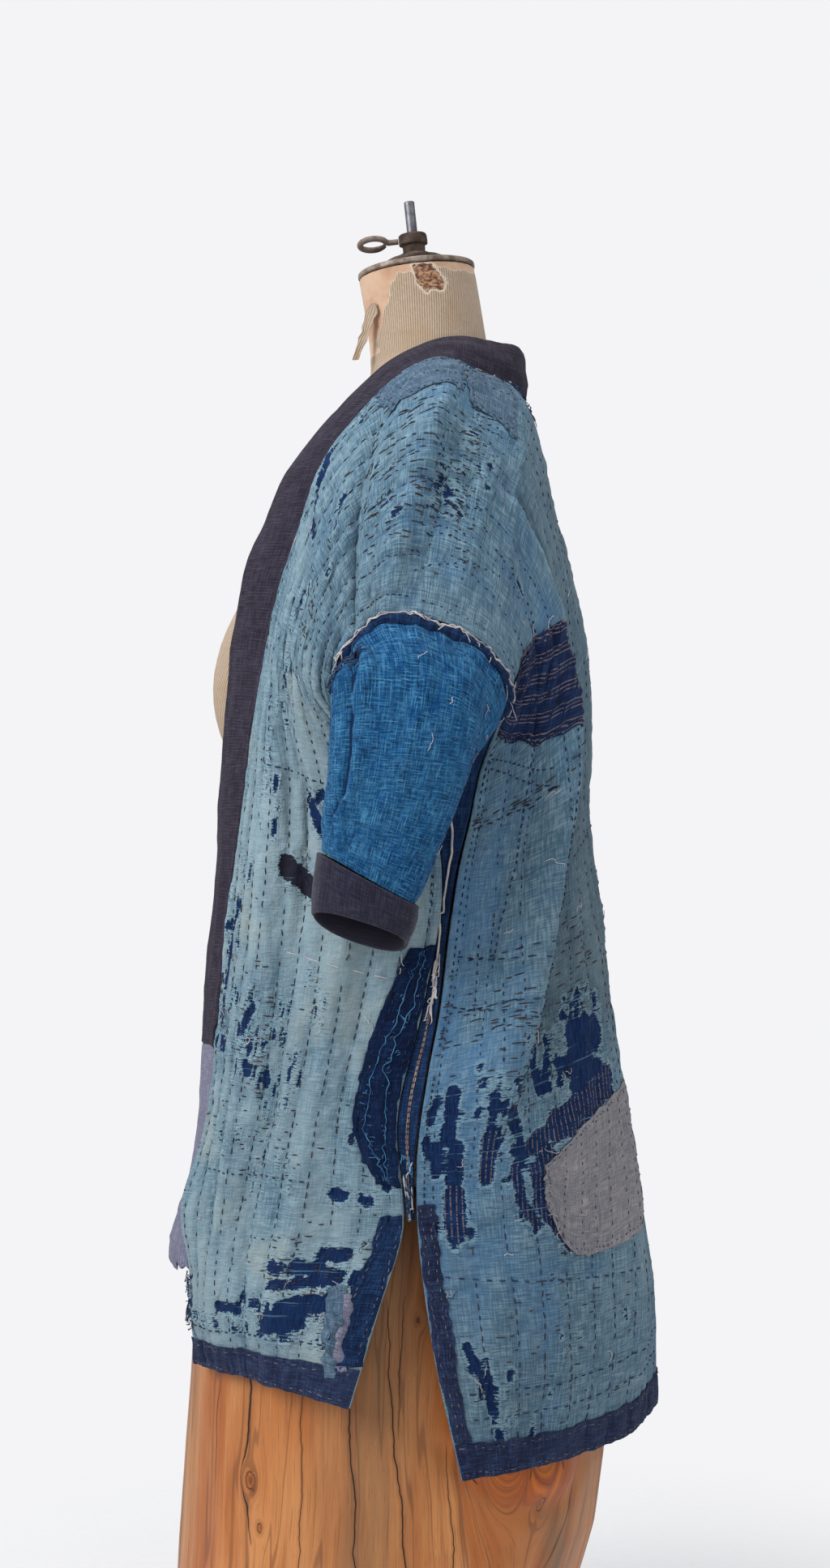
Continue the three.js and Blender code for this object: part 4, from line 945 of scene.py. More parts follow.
@dataclass(frozen=True)
class MendedFinish(ClothFinish):
    """The body cloth: it also wears through to the layers under it.

    The piece's points carry hole (millimetres inside a hole's outline, negative outside), under (which
    layer shows: 0 navy, 1 striped, 2 charcoal), fade (-1.2 deeper blue to 1.4 paler; it is also paler on the
    quilting's ridges, partly wear and partly painted shade in the stitched valleys), grime (0 to 1.4: grime
    towards the hems and in blotches, and painted shade behind the great pleat's edge), over (1 on the
    shoulder, where the wear runs along the strip), and lip and stand (millimetres past the edge of the great
    pleat, and how high that edge stands, 0 to 1), which place a painted shadow behind that edge and a painted
    highlight along it.
    """

    blue: str = "#4373a0"
    green: str = "#9cb2b9"
    dirt: str = "#465258"
    navy: str = "#0c1f42"
    charcoal: str = "#262633"
    rim: str = "#8fb0bd"

    def turned(self, r: Recipe, flat: object, over: object, scale: tuple[float, float], detail: float) -> Socket:
        """Drawn-out noise that runs across the strip, or along it where over is 1."""
        across = r.drawn(flat, *scale, detail, 0.6)
        along = r.drawn(flat, *scale[::-1], detail, 0.6)
        return r.plus(r.times(across, r.rest(over)), r.times(along, over))

    def make(self) -> Material:
        """The cloth, its faded and grimy zones with painted shade behind the great pleat, its holes with their pale
        frayed rims, its lining, and the painted shadow and highlight at the great pleat's edge.
        """
        r = self.start()
        flat = r.flat()
        colour, height = self.dyed(r, flat)
        fade = r.value("fade")
        colour = r.mix(r.step(fade, 0.0, 1.2), colour, r.mix(0.7, colour, self.green))
        colour = r.mix(r.step(r.times(fade, -1.0), 0.0, 1.2), colour, r.mix(0.6, colour, self.blue))
        # Grime, and painted shade behind the great pleat, mix towards a dark grey.
        colour = r.mix(r.times(r.value("grime_and_shade"), 0.75, clamp=True), colour, r.mix(0.55, colour, self.dirt))
        stain = r.times(r.step(r.noise(flat, 7.5, 4.0, 0.6), 0.48, 0.7), r.step(fade, 0.1, 0.9))
        colour = r.tint(colour, "#a2a494", stain, 0.5)
        ragged = r.drawn(flat, 210, 330, 3.0, 0.7)
        fine = r.drawn(flat, 900, 500, 1.0, 0.5)
        edge = r.plus(r.value("hole"), r.jitter(ragged, 5.0))
        edge = r.plus(edge, r.jitter(fine, 2.4))
        over = r.value("over")
        wefts = self.turned(r, flat, over, (45, 640), 1.0)
        edge = r.plus(edge, r.times(r.minus(wefts, 0.53), 5.0))
        open_share = r.step(edge, -0.25, 0.45)
        rim = r.times(r.step(edge, -3.6, -0.8), r.rest(open_share))
        colour = r.tint(colour, self.rim, rim, 0.4)
        flecks = r.step(self.turned(r, flat, over, (200, 800), 2.0), 0.56, 0.64)
        thin = r.times(flecks, r.plus(r.step(r.value("hole"), -8.5, -1.0), 0.05))
        colour = r.mix(r.times(thin, 0.8, clamp=True), colour, self.navy)
        under = r.value("under")
        x, _, _ = r.split(flat)
        threads = r.step(r.drawn(flat, 900, 80, 1.0), 0.35, 0.65)
        navy = r.mix(threads, self.navy, "#15305a")
        line = r.step(r.math("SINE", r.turns(x, 3.9)), 0.6, 0.95)
        dashed = r.step(r.drawn(flat, 120, 620, 1.0), 0.4, 0.55)
        striped = r.mix(r.times(r.times(line, dashed), 0.75), navy, "#8a7568")
        layer = r.mix(r.step(under, 0.4, 0.6), navy, striped)
        layer = r.mix(r.step(under, 1.4, 1.6), layer, self.charcoal)
        bars = r.step(r.drawn(flat, 14, 460, 2.0), 0.62, 0.7)
        left_over = r.times(bars, r.step(edge, 7.5, 1.0))
        layer = r.mix(r.times(left_over, 0.75), layer, "#6f93a8")
        colour = r.mix(open_share, colour, layer)
        lining = r.mix(r.noise(flat, 22.0, 4.0), self.lining, "#4b5a72")
        colour = r.mix(r.step(r.value("inside"), 0.3, 0.7), colour, lining)
        # Painted shadow behind the great pleat's edge, darkest where that edge stands high.
        lip, stand = r.value("lip"), r.value("stand")
        wander = r.plus(lip, r.jitter(r.noise(flat, 120.0, 2.0), 2.0))
        behind = r.times(r.step(wander, -15.0, 0.0), r.step(wander, 0.7, 0.1))
        pleat_shadow = r.times(r.times(r.math("POWER", behind, 1.6), stand), 0.85)
        colour = r.mix(pleat_shadow, colour, "#1d2c3c")
        # A pale line along the great pleat's edge: a worn fold, and also a painted highlight.
        folded = r.step(r.math("ABSOLUTE", r.minus(wander, 1.9)), 1.5, 0.4)
        colour = r.tint(colour, self.rim, r.times(folded, stand), 0.42)
        height = r.plus(height, r.times(rim, 1.4))
        height = r.minus(height, r.times(open_share, 1.2))
        return r.finish(colour, height, 0.4, 0.8)


@dataclass(frozen=True)
class ThreadFinish:
    """Cotton thread, each stitch or end a little different in shade."""

    name: str
    ground: str
    other: str

    def make(self) -> Material:
        """Two shades mixed by the place on the piece, with a fine twist in relief."""
        r = Recipe(self.name, 0.85)
        where = r.place()
        share = r.step(r.noise(where, 70.0, 1.0), 0.38, 0.62)
        twist = r.noise(where, 1800.0, 1.0)
        return r.finish(r.mix(share, self.ground, self.other), twist, 0.2, 0.5)


@dataclass(frozen=True)
class LinenFinish:
    """The form's stretched ribbed linen, aged and stained, with paper showing pink at the worn top edge."""

    name: str = "aged ribbed linen"

    def make(self) -> Material:
        """Fine ribs that follow the neck, slubs, brown foxing, a rubbed pinkish rim, and card in the torn hole."""
        r = Recipe(self.name, 0.9)
        r.shader.inputs["Sheen Weight"].default_value = 0.15
        flat = r.flat()
        x, _, _ = r.split(r.stretch(flat, (1, 1, 1), 7))
        rib = r.times(r.plus(r.math("SINE", r.turns(x, 2.1)), 1.0), 0.5)
        slub = r.drawn(flat, 700, 240, 3.0, 0.7)
        cloudy = r.noise(flat, 16.0, 4.0, 0.65)
        colour = r.mix(r.times(rib, 0.95), "#88725d", "#c6b09a")
        colour = r.tint(colour, "#cab7a0", r.step(slub, 0.4, 0.72), 0.35)
        colour = r.tint(colour, "#a1855f", r.step(cloudy, 0.46, 0.72), 0.5)
        foxing = r.step(r.noise(flat, 42.0, 2.0, 0.5), 0.7, 0.78)
        colour = r.tint(colour, "#7a5230", foxing, 0.75)
        frayed = r.plus(r.value("rubbed"), r.jitter(r.noise(flat, 320.0, 4.0, 0.7), 0.9))
        bare = r.step(frayed, 0.46, 0.54)
        edge = r.times(r.step(frayed, 0.2, 0.44), r.rest(bare))
        colour = r.tint(colour, "#d8c9b4", edge, 0.75)
        shell = r.mix(r.step(cloudy, 0.35, 0.65), "#bb9072", "#cfae93")
        colour = r.mix(bare, colour, shell)
        torn = r.plus(r.value("torn"), r.jitter(r.noise(flat, 240.0, 4.0, 0.75), 7.0))
        gone = r.step(torn, -0.4, 0.6)
        lip = r.times(r.step(torn, -3.2, -0.8), r.rest(gone))
        colour = r.tint(colour, "#dccdb8", lip, 0.8)
        card = r.mix(r.step(r.drawn(flat, 150, 260, 4.0, 0.75), 0.42, 0.6), "#573320", "#b98d6d")
        colour = r.mix(gone, colour, card)
        rib = r.times(rib, r.rest(r.math("MAXIMUM", bare, gone)))
        rib = r.minus(rib, r.times(gone, 2.0))
        height = r.plus(rib, r.times(slub, 0.5))
        return r.finish(colour, height, 0.35, 0.8)


@dataclass(frozen=True)
class WoodFinish:
    """Polished cedar-coloured trunk wood: drawn-out grain, drying cracks, knots and brown heart streaks.

    The flat map holds the grain's own coordinates, bent round the knots. The points carry knot (the
    nearest knot's middle distance, in its own radii), heart (brown-grey heartwood, full from about 1)
    and burl (rich orange burled wood, 0 to 1).
    """

    cracks: Sequence["Crack"]
    name: str = "polished trunk wood"

    def crack_depth(self, r: Recipe, flat: object) -> tuple[object, object]:
        """How deep in a crack a place lies, 0 to 1, and how near one it is. Each crack wavers and tapers to
        both ends: its half width is widest * sin(pi t)^(1/2), with t from 0 at its foot to 1 at its top,
        and the depth rises smoothly from 0 at that distance from its line to 1 at a third of it."""
        x, y, _ = r.split(flat)
        waver = r.jitter(r.drawn(flat, 12, 22, 3.0, 0.55), 0.011)
        deep, near = 0.0, 0.0
        for crack in self.cracks:
            (top, high), (foot, low) = crack.top, crack.foot
            t = r.math("DIVIDE", r.minus(y, low * MM), (high - low) * MM, clamp=True)
            line = r.plus(r.times(t, (top - foot) * MM), foot * MM)
            away = r.math("ABSOLUTE", r.plus(r.minus(x, line), waver))
            taper = r.math("SQRT", r.math("SINE", r.times(t, math.pi)))
            width = r.plus(r.times(taper, crack.width * MM), 1e-6)
            share = r.math("DIVIDE", away, width)
            open_share = r.times(r.step(share, 1.0, 0.35), r.step(taper, 0.1, 0.4))
            deep = r.math("MAXIMUM", deep, open_share)
            near = r.math("MAXIMUM", near, r.times(r.step(share, 6.0, 0.5), r.step(taper, 0.1, 0.5)))
        return deep, near

    def make(self) -> Material:
        """Colour from three scales of grain, then the cracks and the rings of the knots."""
        r = Recipe(self.name, 0.42)
        r.shader.inputs["Specular IOR Level"].default_value = 0.35
        r.shader.inputs["Coat Weight"].default_value = 0.1
        r.shader.inputs["Coat Roughness"].default_value = 0.3
        flat = r.flat()
        broad = r.drawn(flat, 16, 3.4, 3.0, 0.6)
        grain = r.drawn(flat, 85, 3.2, 4.0, 0.62)
        fine = r.drawn(flat, 620, 14, 4.0, 0.7)
        pores = r.drawn(flat, 1500, 60, 2.0, 0.6)
        colour = r.mix(r.step(broad, 0.32, 0.68), "#ad5e24", "#ca8850")
        colour = r.tint(colour, "#85491f", r.step(grain, 0.5, 0.7), 0.45)
        colour = r.tint(colour, "#cb8f58", r.step(grain, 0.48, 0.3), 0.4)
        heart = r.times(r.value("heart"), r.step(grain, 0.22, 0.55))
        colour = r.tint(colour, r.mix(r.step(broad, 0.35, 0.65), "#7c6247", "#93714c"), heart, 0.8)
        colour = r.tint(colour, r.mix(r.step(grain, 0.36, 0.64), "#9a4307", "#cb6c14"), r.value("burl"), 0.95)
        colour = r.tint(colour, "#6d3916", r.step(fine, 0.5, 0.72), 0.5)
        colour = r.tint(colour, "#5c2f13", r.step(pores, 0.58, 0.72), 0.35)
        line = r.math("ABSOLUTE", r.minus(r.drawn(flat, 34, 1.7, 2.0, 0.5), 0.5))
        colour = r.tint(colour, "#5b351c", r.step(line, 0.012, 0.003), 0.45)
        deep, near = self.crack_depth(r, flat)
        colour = r.tint(colour, "#6d3c1a", near, 0.35)
        colour = r.mix(deep, colour, "#20120a")
        knot = r.plus(r.value("knot"), r.jitter(r.noise(flat, 160.0, 2.0), 0.35))
        colour = r.tint(colour, "#8a4a1c", r.step(knot, 2.6, 1.0), 0.4)
        colour = r.mix(r.step(knot, 1.0, 0.8), colour, r.mix(r.step(knot, 0.15, 0.8), "#6a3414", "#a45f28"))
        rim = r.step(r.math("ABSOLUTE", r.minus(knot, 0.98)), 0.16, 0.05)
        colour = r.tint(colour, "#3d1f10", rim, 0.8)
        colour = r.mix(r.step(knot, 0.3, 0.12), colour, "#2b170d")
        # Pale streaks drawn out along the grain.
        pale_streaks = r.step(r.drawn(flat, 220, 26, 4.0, 0.7, turn=4), 0.63, 0.78)
        colour = r.tint(colour, "#d3a983", pale_streaks, 0.35)
        r.feed(r.shader.inputs["Roughness"], r.plus(r.times(grain, 0.3), 0.3))
        height = r.minus(r.times(fine, 0.4), r.times(deep, 2.5))
        height = r.minus(height, r.times(rim, 0.8))
        return r.finish(colour, height, 0.5, 0.7)


@dataclass(frozen=True)
class MetalFinish:
    """Old metal: its ground colour, what it has tarnished to, and how rough it is."""

    name: str
    ground: str
    tarnish: str
    roughness: float
    metallic: float
    pitted: float = 0.5
    turned: bool = False

    def make(self) -> Material:
        """Ground and tarnish mixed by cloudy noise, pitted relief, and turning marks on a lathe-made part."""
        r = Recipe(self.name, self.roughness, self.metallic)
        where = r.place()
        cloudy = r.noise(where, 60.0, 5.0, 0.7)
        fine = r.noise(where, 420.0, 3.0, 0.7)
        colour = r.mix(r.step(cloudy, 0.38, 0.64), self.ground, self.tarnish)
        colour = r.tint(colour, self.tarnish, r.step(fine, 0.5, 0.75), 0.4)
        marks = r.noise(r.stretch(where, (30, 30, 2600)), 1.0, 1.0) if self.turned else fine
        rough = r.plus(r.jitter(cloudy, 0.35), self.roughness, clamp=True)
        r.feed(r.shader.inputs["Roughness"], rough)
        height = r.plus(r.times(fine, self.pitted), r.times(marks, 0.3))
        return r.finish(colour, height, 0.3, 0.6)


# ---------------------------------------------------------------- threads
@dataclass
class ThreadWork:
    """Stitches and thread ends of one shade, which become one piece."""

    name: str
    finish: Material
    points: list[Array] = field(default_factory=list)
    faces: list[Array] = field(default_factory=list)
    count: int = 0

    def add(self, paths: Array, radii: Array, up: Array, sides: int = 4) -> None:
        """Adds tubes along paths (m, k, 3)."""
        points, faces = tubes(paths, radii, up, sides)
        self.faces += [f + self.count for f in faces]
        self.points.append(points)
        self.count += len(points)

    def sew(
        self, cloth: Surface, places: Array, ways: Array, lengths: Array, radius: float, proud: float = 0.45
    ) -> None:
        """Adds one short stitch at each cloth place: it comes out of the cloth, lies on it and goes back in.

        Args:
            places: (m, 2) across and along of their middles.
            ways: (m, 2) directions, in flat millimetres.
            lengths: (m,) millimetres.
            radius: thread radius.
            proud: how far the middle stands off the cloth.
        """
        t = np.array([-0.5, -0.34, 0.0, 0.34, 0.5])
        ways = unit(ways)
        u = places[:, :1] + ways[:, :1] * lengths[:, None] * t / cloth.flat_x.max()
        v = places[:, 1:] + ways[:, 1:] * lengths[:, None] * t * cloth.top / cloth.flat_y.max()
        lift = np.broadcast_to(np.array([-0.6, 0.1, proud, 0.1, -0.6]), u.shape)
        thick = np.broadcast_to(np.array([0.0, 0.8, 1.0, 0.8, 0.0]) * radius, u.shape)
        self.add(cloth.at(u, v, lift), thick, cloth.normal(u, v))

    def loose(
        self, cloth: Surface, places: Array, reach: float, radius: float, seed: int, stand: float = 4.0
    ) -> None:
        """Adds one curling thread end at each cloth place: its heading turns at random as it goes.

        Args:
            places: (m, 2) where each leaves the cloth.
            reach: about how long they are, in millimetres.
            radius: thread radius.
            seed: which curls.
            stand: how far the free end stands off the cloth.
        """
        rng = np.random.default_rng(seed)
        m, k = len(places), 12
        step = reach * rng.uniform(0.5, 1.3, (m, 1)) / k
        turn = rng.uniform(0, 2 * math.pi, (m, 1)) + np.cumsum(rng.normal(0, 0.55, (m, k)), axis=1)
        x = np.cumsum(np.cos(turn) * step, axis=1)
        y = np.cumsum(np.sin(turn) * step, axis=1)
        u = np.clip(places[:, :1] + x / cloth.flat_x.max(), 0, 1)
        v = places[:, 1:] + y * cloth.top / cloth.flat_y.max()
        t = np.linspace(0, 1, k)
        lift = 0.3 + stand * rng.uniform(0.3, 1.0, (m, 1)) * t * (1.2 - 0.5 * t)
        path = cloth.at(u, v, lift)
        path[..., 2] -= 0.25 * stand * (t * t)[None, :] * rng.uniform(0, 1.5, (m, 1))
        self.add(path, np.full((m, k), radius), cloth.normal(u, v))

    def run(self, path: Array, radius: float, up: Array, sides: int = 6) -> None:
        """Adds one long thread or cord along a path (k, 3)."""
        self.add(path[None], np.full((1, len(path)), radius), up[None], sides)

    def make(self) -> Piece:
        """The piece, riding on the stand."""
        made = mesh_object(self.name, np.concatenate(self.points), self.faces, self.finish)
        return settle(made, STAND, "")


# ---------------------------------------------------------------- the body strips
class Side(Enum):
    """The wearer's left or right, with the sign of X on that side."""

    LEFT = 1
    RIGHT = -1

    @property
    def hand(self) -> str:
        """The side as pieces' names give it."""
        return self.name.lower()


class Layer(Enum):
    """What shows through a hole."""

    NAVY = 0
    STRIPED = 1
    CHARCOAL = 2


@dataclass(frozen=True)
class Hole:
    """A worn-through place: half its width, in millimetres, and the cloth places that it runs through."""

    half: float
    path: tuple[tuple[float, float], ...]
    layer: Layer = Layer.NAVY


@dataclass(frozen=True)
class WornRun:
    """Many small upright holes scattered along a line of wear."""

    start: tuple[float, float]
    end: tuple[float, float]
    count: int
    spread: float
    half: float
    layer: Layer = Layer.NAVY

    def holes(self, seed: int) -> list[Hole]:
        """The scattered holes."""
        rng = np.random.default_rng(seed)
        t = rng.uniform(0, 1, self.count)
        u = self.start[0] + (self.end[0] - self.start[0]) * t + rng.normal(0, self.spread, self.count) / FLAT_WIDTH
        v = self.start[1] + (self.end[1] - self.start[1]) * t
        tall = rng.uniform(0.02, 0.11, self.count)
        half = self.half * rng.uniform(0.35, 1.2, self.count)
        return [
            Hole(float(h), ((float(a), float(b)), (float(a), float(b + d))), self.layer)
            for h, a, b, d in zip(half, np.clip(u, 0.015, 0.98), v, tall)
        ]


LEFT_HOLES = (
    # chest, beside the collar
    Hole(2.5, ((0.15, 10.4), (0.2, 10.3))),
    Hole(4.2, ((0.1, 10.0), (0.25, 9.7), (0.4, 9.4))),
    Hole(7.0, ((0.19, 9.82), (0.29, 9.6))),
    Hole(3.0, ((0.75, 13.9), (0.75, 14.05))),
    # front, beside the sleeve
    Hole(3.4, ((0.35, 6.0), (0.35, 5.9))),
    Hole(3.0, ((0.35, 5.6), (0.35, 5.5))),
    Hole(4.0, ((0.6, 6.0), (0.57, 5.9))),
    Hole(6.5, ((0.53, 5.85), (0.58, 5.6))),
    Hole(8.0, ((0.4, 5.2), (0.5, 5.05), (0.6, 4.9)), Layer.CHARCOAL),
    # front, beside the collar
    Hole(2.6, ((0.2, 5.15), (0.2, 5.05))),
    Hole(3.4, ((0.1, 4.8), (0.1, 4.6))),
    Hole(4.6, ((0.08, 4.4), (0.08, 4.1))),
    Hole(4.2, ((0.08, 3.9), (0.07, 3.7))),
    Hole(4.2, ((0.33, 3.9), (0.3, 3.7))),
    Hole(3.0, ((0.47, 3.7), (0.47, 3.6))),
    Hole(3.0, ((0.55, 3.4), (0.55, 3.3))),
    Hole(4.6, ((0.33, 3.4), (0.35, 3.35))),
    Hole(4.0, ((0.42, 3.35), (0.43, 3.25))),
    # front, beside the flap
    Hole(2.6, ((0.85, 3.0), (0.85, 2.9))),
    Hole(3.0, ((0.83, 2.85), (0.83, 2.8))),
    Hole(5.0, ((0.93, 2.6), (0.95, 2.4))),
    Hole(4.2, ((0.77, 2.3), (0.82, 2.28))),
    Hole(4.0, ((0.87, 2.25), (0.9, 2.25))),
    # the long tear above the front hem
    Hole(5.5, ((0.78, 1.65), (0.85, 1.65))),
    Hole(5.0, ((0.7, 1.5), (0.8, 1.45))),
    Hole(4.0, ((0.62, 1.25), (0.72, 1.3), (0.85, 1.35))),
    Hole(7.0, ((0.68, 1.0), (0.85, 1.1))),
    Hole(7.5, ((0.62, 0.8), (0.76, 0.85))),
    Hole(4.0, ((0.33, 0.95), (0.47, 0.95))),
    Hole(10.0, ((0.93, 1.4), (0.94, 1.0), (0.93, 0.6))),
    # back, beside the vent
    Hole(4.0, ((0.96, 21.35), (0.96, 21.4))),
    Hole(4.5, ((0.97, 21.5), (0.97, 21.65))),
    Hole(4.0, ((0.98, 21.9), (0.97, 22.1))),
    Hole(6.5, ((0.92, 21.3), (0.92, 21.9))),
    Hole(5.5, ((0.95, 22.0), (0.95, 22.3))),
    Hole(6.5, ((0.9, 22.0), (0.9, 22.4))),
    Hole(9.0, ((0.9, 22.6), (0.9, 23.0)), Layer.STRIPED),
    Hole(4.0, ((0.82, 21.4), (0.82, 21.8))),
    Hole(6.5, ((0.82, 21.9), (0.82, 22.4)), Layer.STRIPED),
    # back, under the fold of the great pleat
    Hole(4.0, ((0.74, 21.2), (0.74, 21.45))),
    Hole(6.5, ((0.76, 21.6), (0.75, 21.8))),
    Hole(5.0, ((0.73, 21.9), (0.72, 22.2))),
    Hole(4.5, ((0.68, 20.9), (0.64, 21.5))),
    # back, the great hole and the striped lining below it
    Hole(12.0, ((0.5, 21.05), (0.42, 21.12))),
    Hole(8.0, ((0.54, 21.35), (0.42, 21.5))),
    Hole(4.5, ((0.6, 21.2), (0.62, 21.5))),
    Hole(5.0, ((0.57, 21.3), (0.5, 21.3), (0.43, 21.4))),
    Hole(6.5, ((0.52, 21.6), (0.47, 21.6))),
    Hole(11.0, ((0.6, 21.98), (0.5, 21.88), (0.38, 21.68)), Layer.STRIPED),
    Hole(9.0, ((0.66, 22.1), (0.62, 22.4)), Layer.STRIPED),
    Hole(5.0, ((0.74, 22.3), (0.72, 22.7), (0.68, 23.0)), Layer.STRIPED),
    Hole(6.5, ((0.68, 22.4), (0.66, 22.8)), Layer.STRIPED),
    Hole(5.5, ((0.65, 22.9), (0.57, 23.2)), Layer.STRIPED),
    # back, above the hem
    Hole(4.0, ((0.91, 24.0), (0.87, 24.3))),
    Hole(4.0, ((0.86, 24.2), (0.86, 24.5))),
    Hole(4.0, ((0.84, 24.7), (0.82, 24.8))),
    Hole(3.0, ((0.8, 24.2), (0.8, 24.25))),
    Hole(3.0, ((0.72, 24.7), (0.72, 24.75))),
)
LEFT_WEAR = (
    WornRun((0.5, 10.0), (0.65, 9.4), 18, 4, 1.8),
    WornRun((0.1, 10.3), (0.1, 9.0), 16, 6, 1.5),
    WornRun((0.5, 9.0), (0.4, 6.4), 34, 6, 1.7),
    WornRun((0.3, 8.4), (0.3, 5.4), 26, 10, 1.5),
    WornRun((0.1, 5.4), (0.08, 3.4), 40, 9, 2.8),
    WornRun((0.25, 4.0), (0.4, 3.2), 34, 20, 2.4),
    WornRun((0.55, 4.2), (0.5, 3.0), 20, 14, 2.0),
    WornRun((0.3, 3.0), (0.5, 2.2), 18, 26, 1.4),
    WornRun((0.6, 1.45), (0.88, 1.35), 40, 7, 2.8),
    WornRun((0.5, 1.05), (0.86, 0.85), 46, 7, 2.6),
    WornRun((0.1, 0.72), (0.9, 0.6), 60, 6, 1.6),
    WornRun((0.66, 11.2), (0.7, 11.8), 30, 12, 1.7),
    WornRun((0.66, 10.4), (0.74, 10.7), 14, 10, 1.4),
    WornRun((0.56, 11.7), (0.62, 12.4), 16, 12, 1.4),
    WornRun((0.9, 21.0), (0.92, 23.2), 26, 9, 2.4),
    WornRun((0.82, 21.1), (0.82, 22.6), 18, 6, 2.4),
    WornRun((0.45, 20.5), (0.55, 21.5), 60, 18, 2.8),
    WornRun((0.36, 21.75), (0.74, 22.1), 46, 10, 2.6, Layer.STRIPED),
    WornRun((0.74, 21.2), (0.7, 23.0), 30, 8, 2.6),
    WornRun((0.72, 20.6), (0.6, 21.2), 16, 10, 1.8),
    WornRun((0.9, 23.9), (0.84, 24.8), 18, 5, 2.2),
    WornRun((0.4, 23.8), (0.8, 24.6), 12, 30, 1.4),
)
RIGHT_HOLES = (
    Hole(3.0, ((0.3, 9.6), (0.34, 9.3))),
    Hole(6.0, ((0.5, 5.4), (0.54, 5.2), (0.52, 5.0))),
    Hole(4.0, ((0.1, 4.4), (0.1, 4.2))),
    Hole(7.0, ((0.62, 1.3), (0.74, 1.2), (0.84, 1.3))),
    Hole(7.0, ((0.86, 21.3), (0.85, 21.9)), Layer.STRIPED),
    Hole(6.0, ((0.4, 22.4), (0.5, 22.6), (0.56, 22.5))),
    Hole(5.0, ((0.3, 15.4), (0.34, 15.7))),
)
RIGHT_WEAR = (
    WornRun((0.05, 9.6), (0.08, 3.4), 40, 5, 2.2),
    WornRun((0.5, 9.0), (0.4, 6.4), 16, 7, 2.0),
    WornRun((0.6, 1.4), (0.86, 1.1), 24, 9, 2.8),
    WornRun((0.4, 22.0), (0.7, 22.8), 30, 12, 2.6, Layer.STRIPED),
    WornRun((0.86, 21.0), (0.86, 22.4), 16, 8, 2.4, Layer.STRIPED),
)


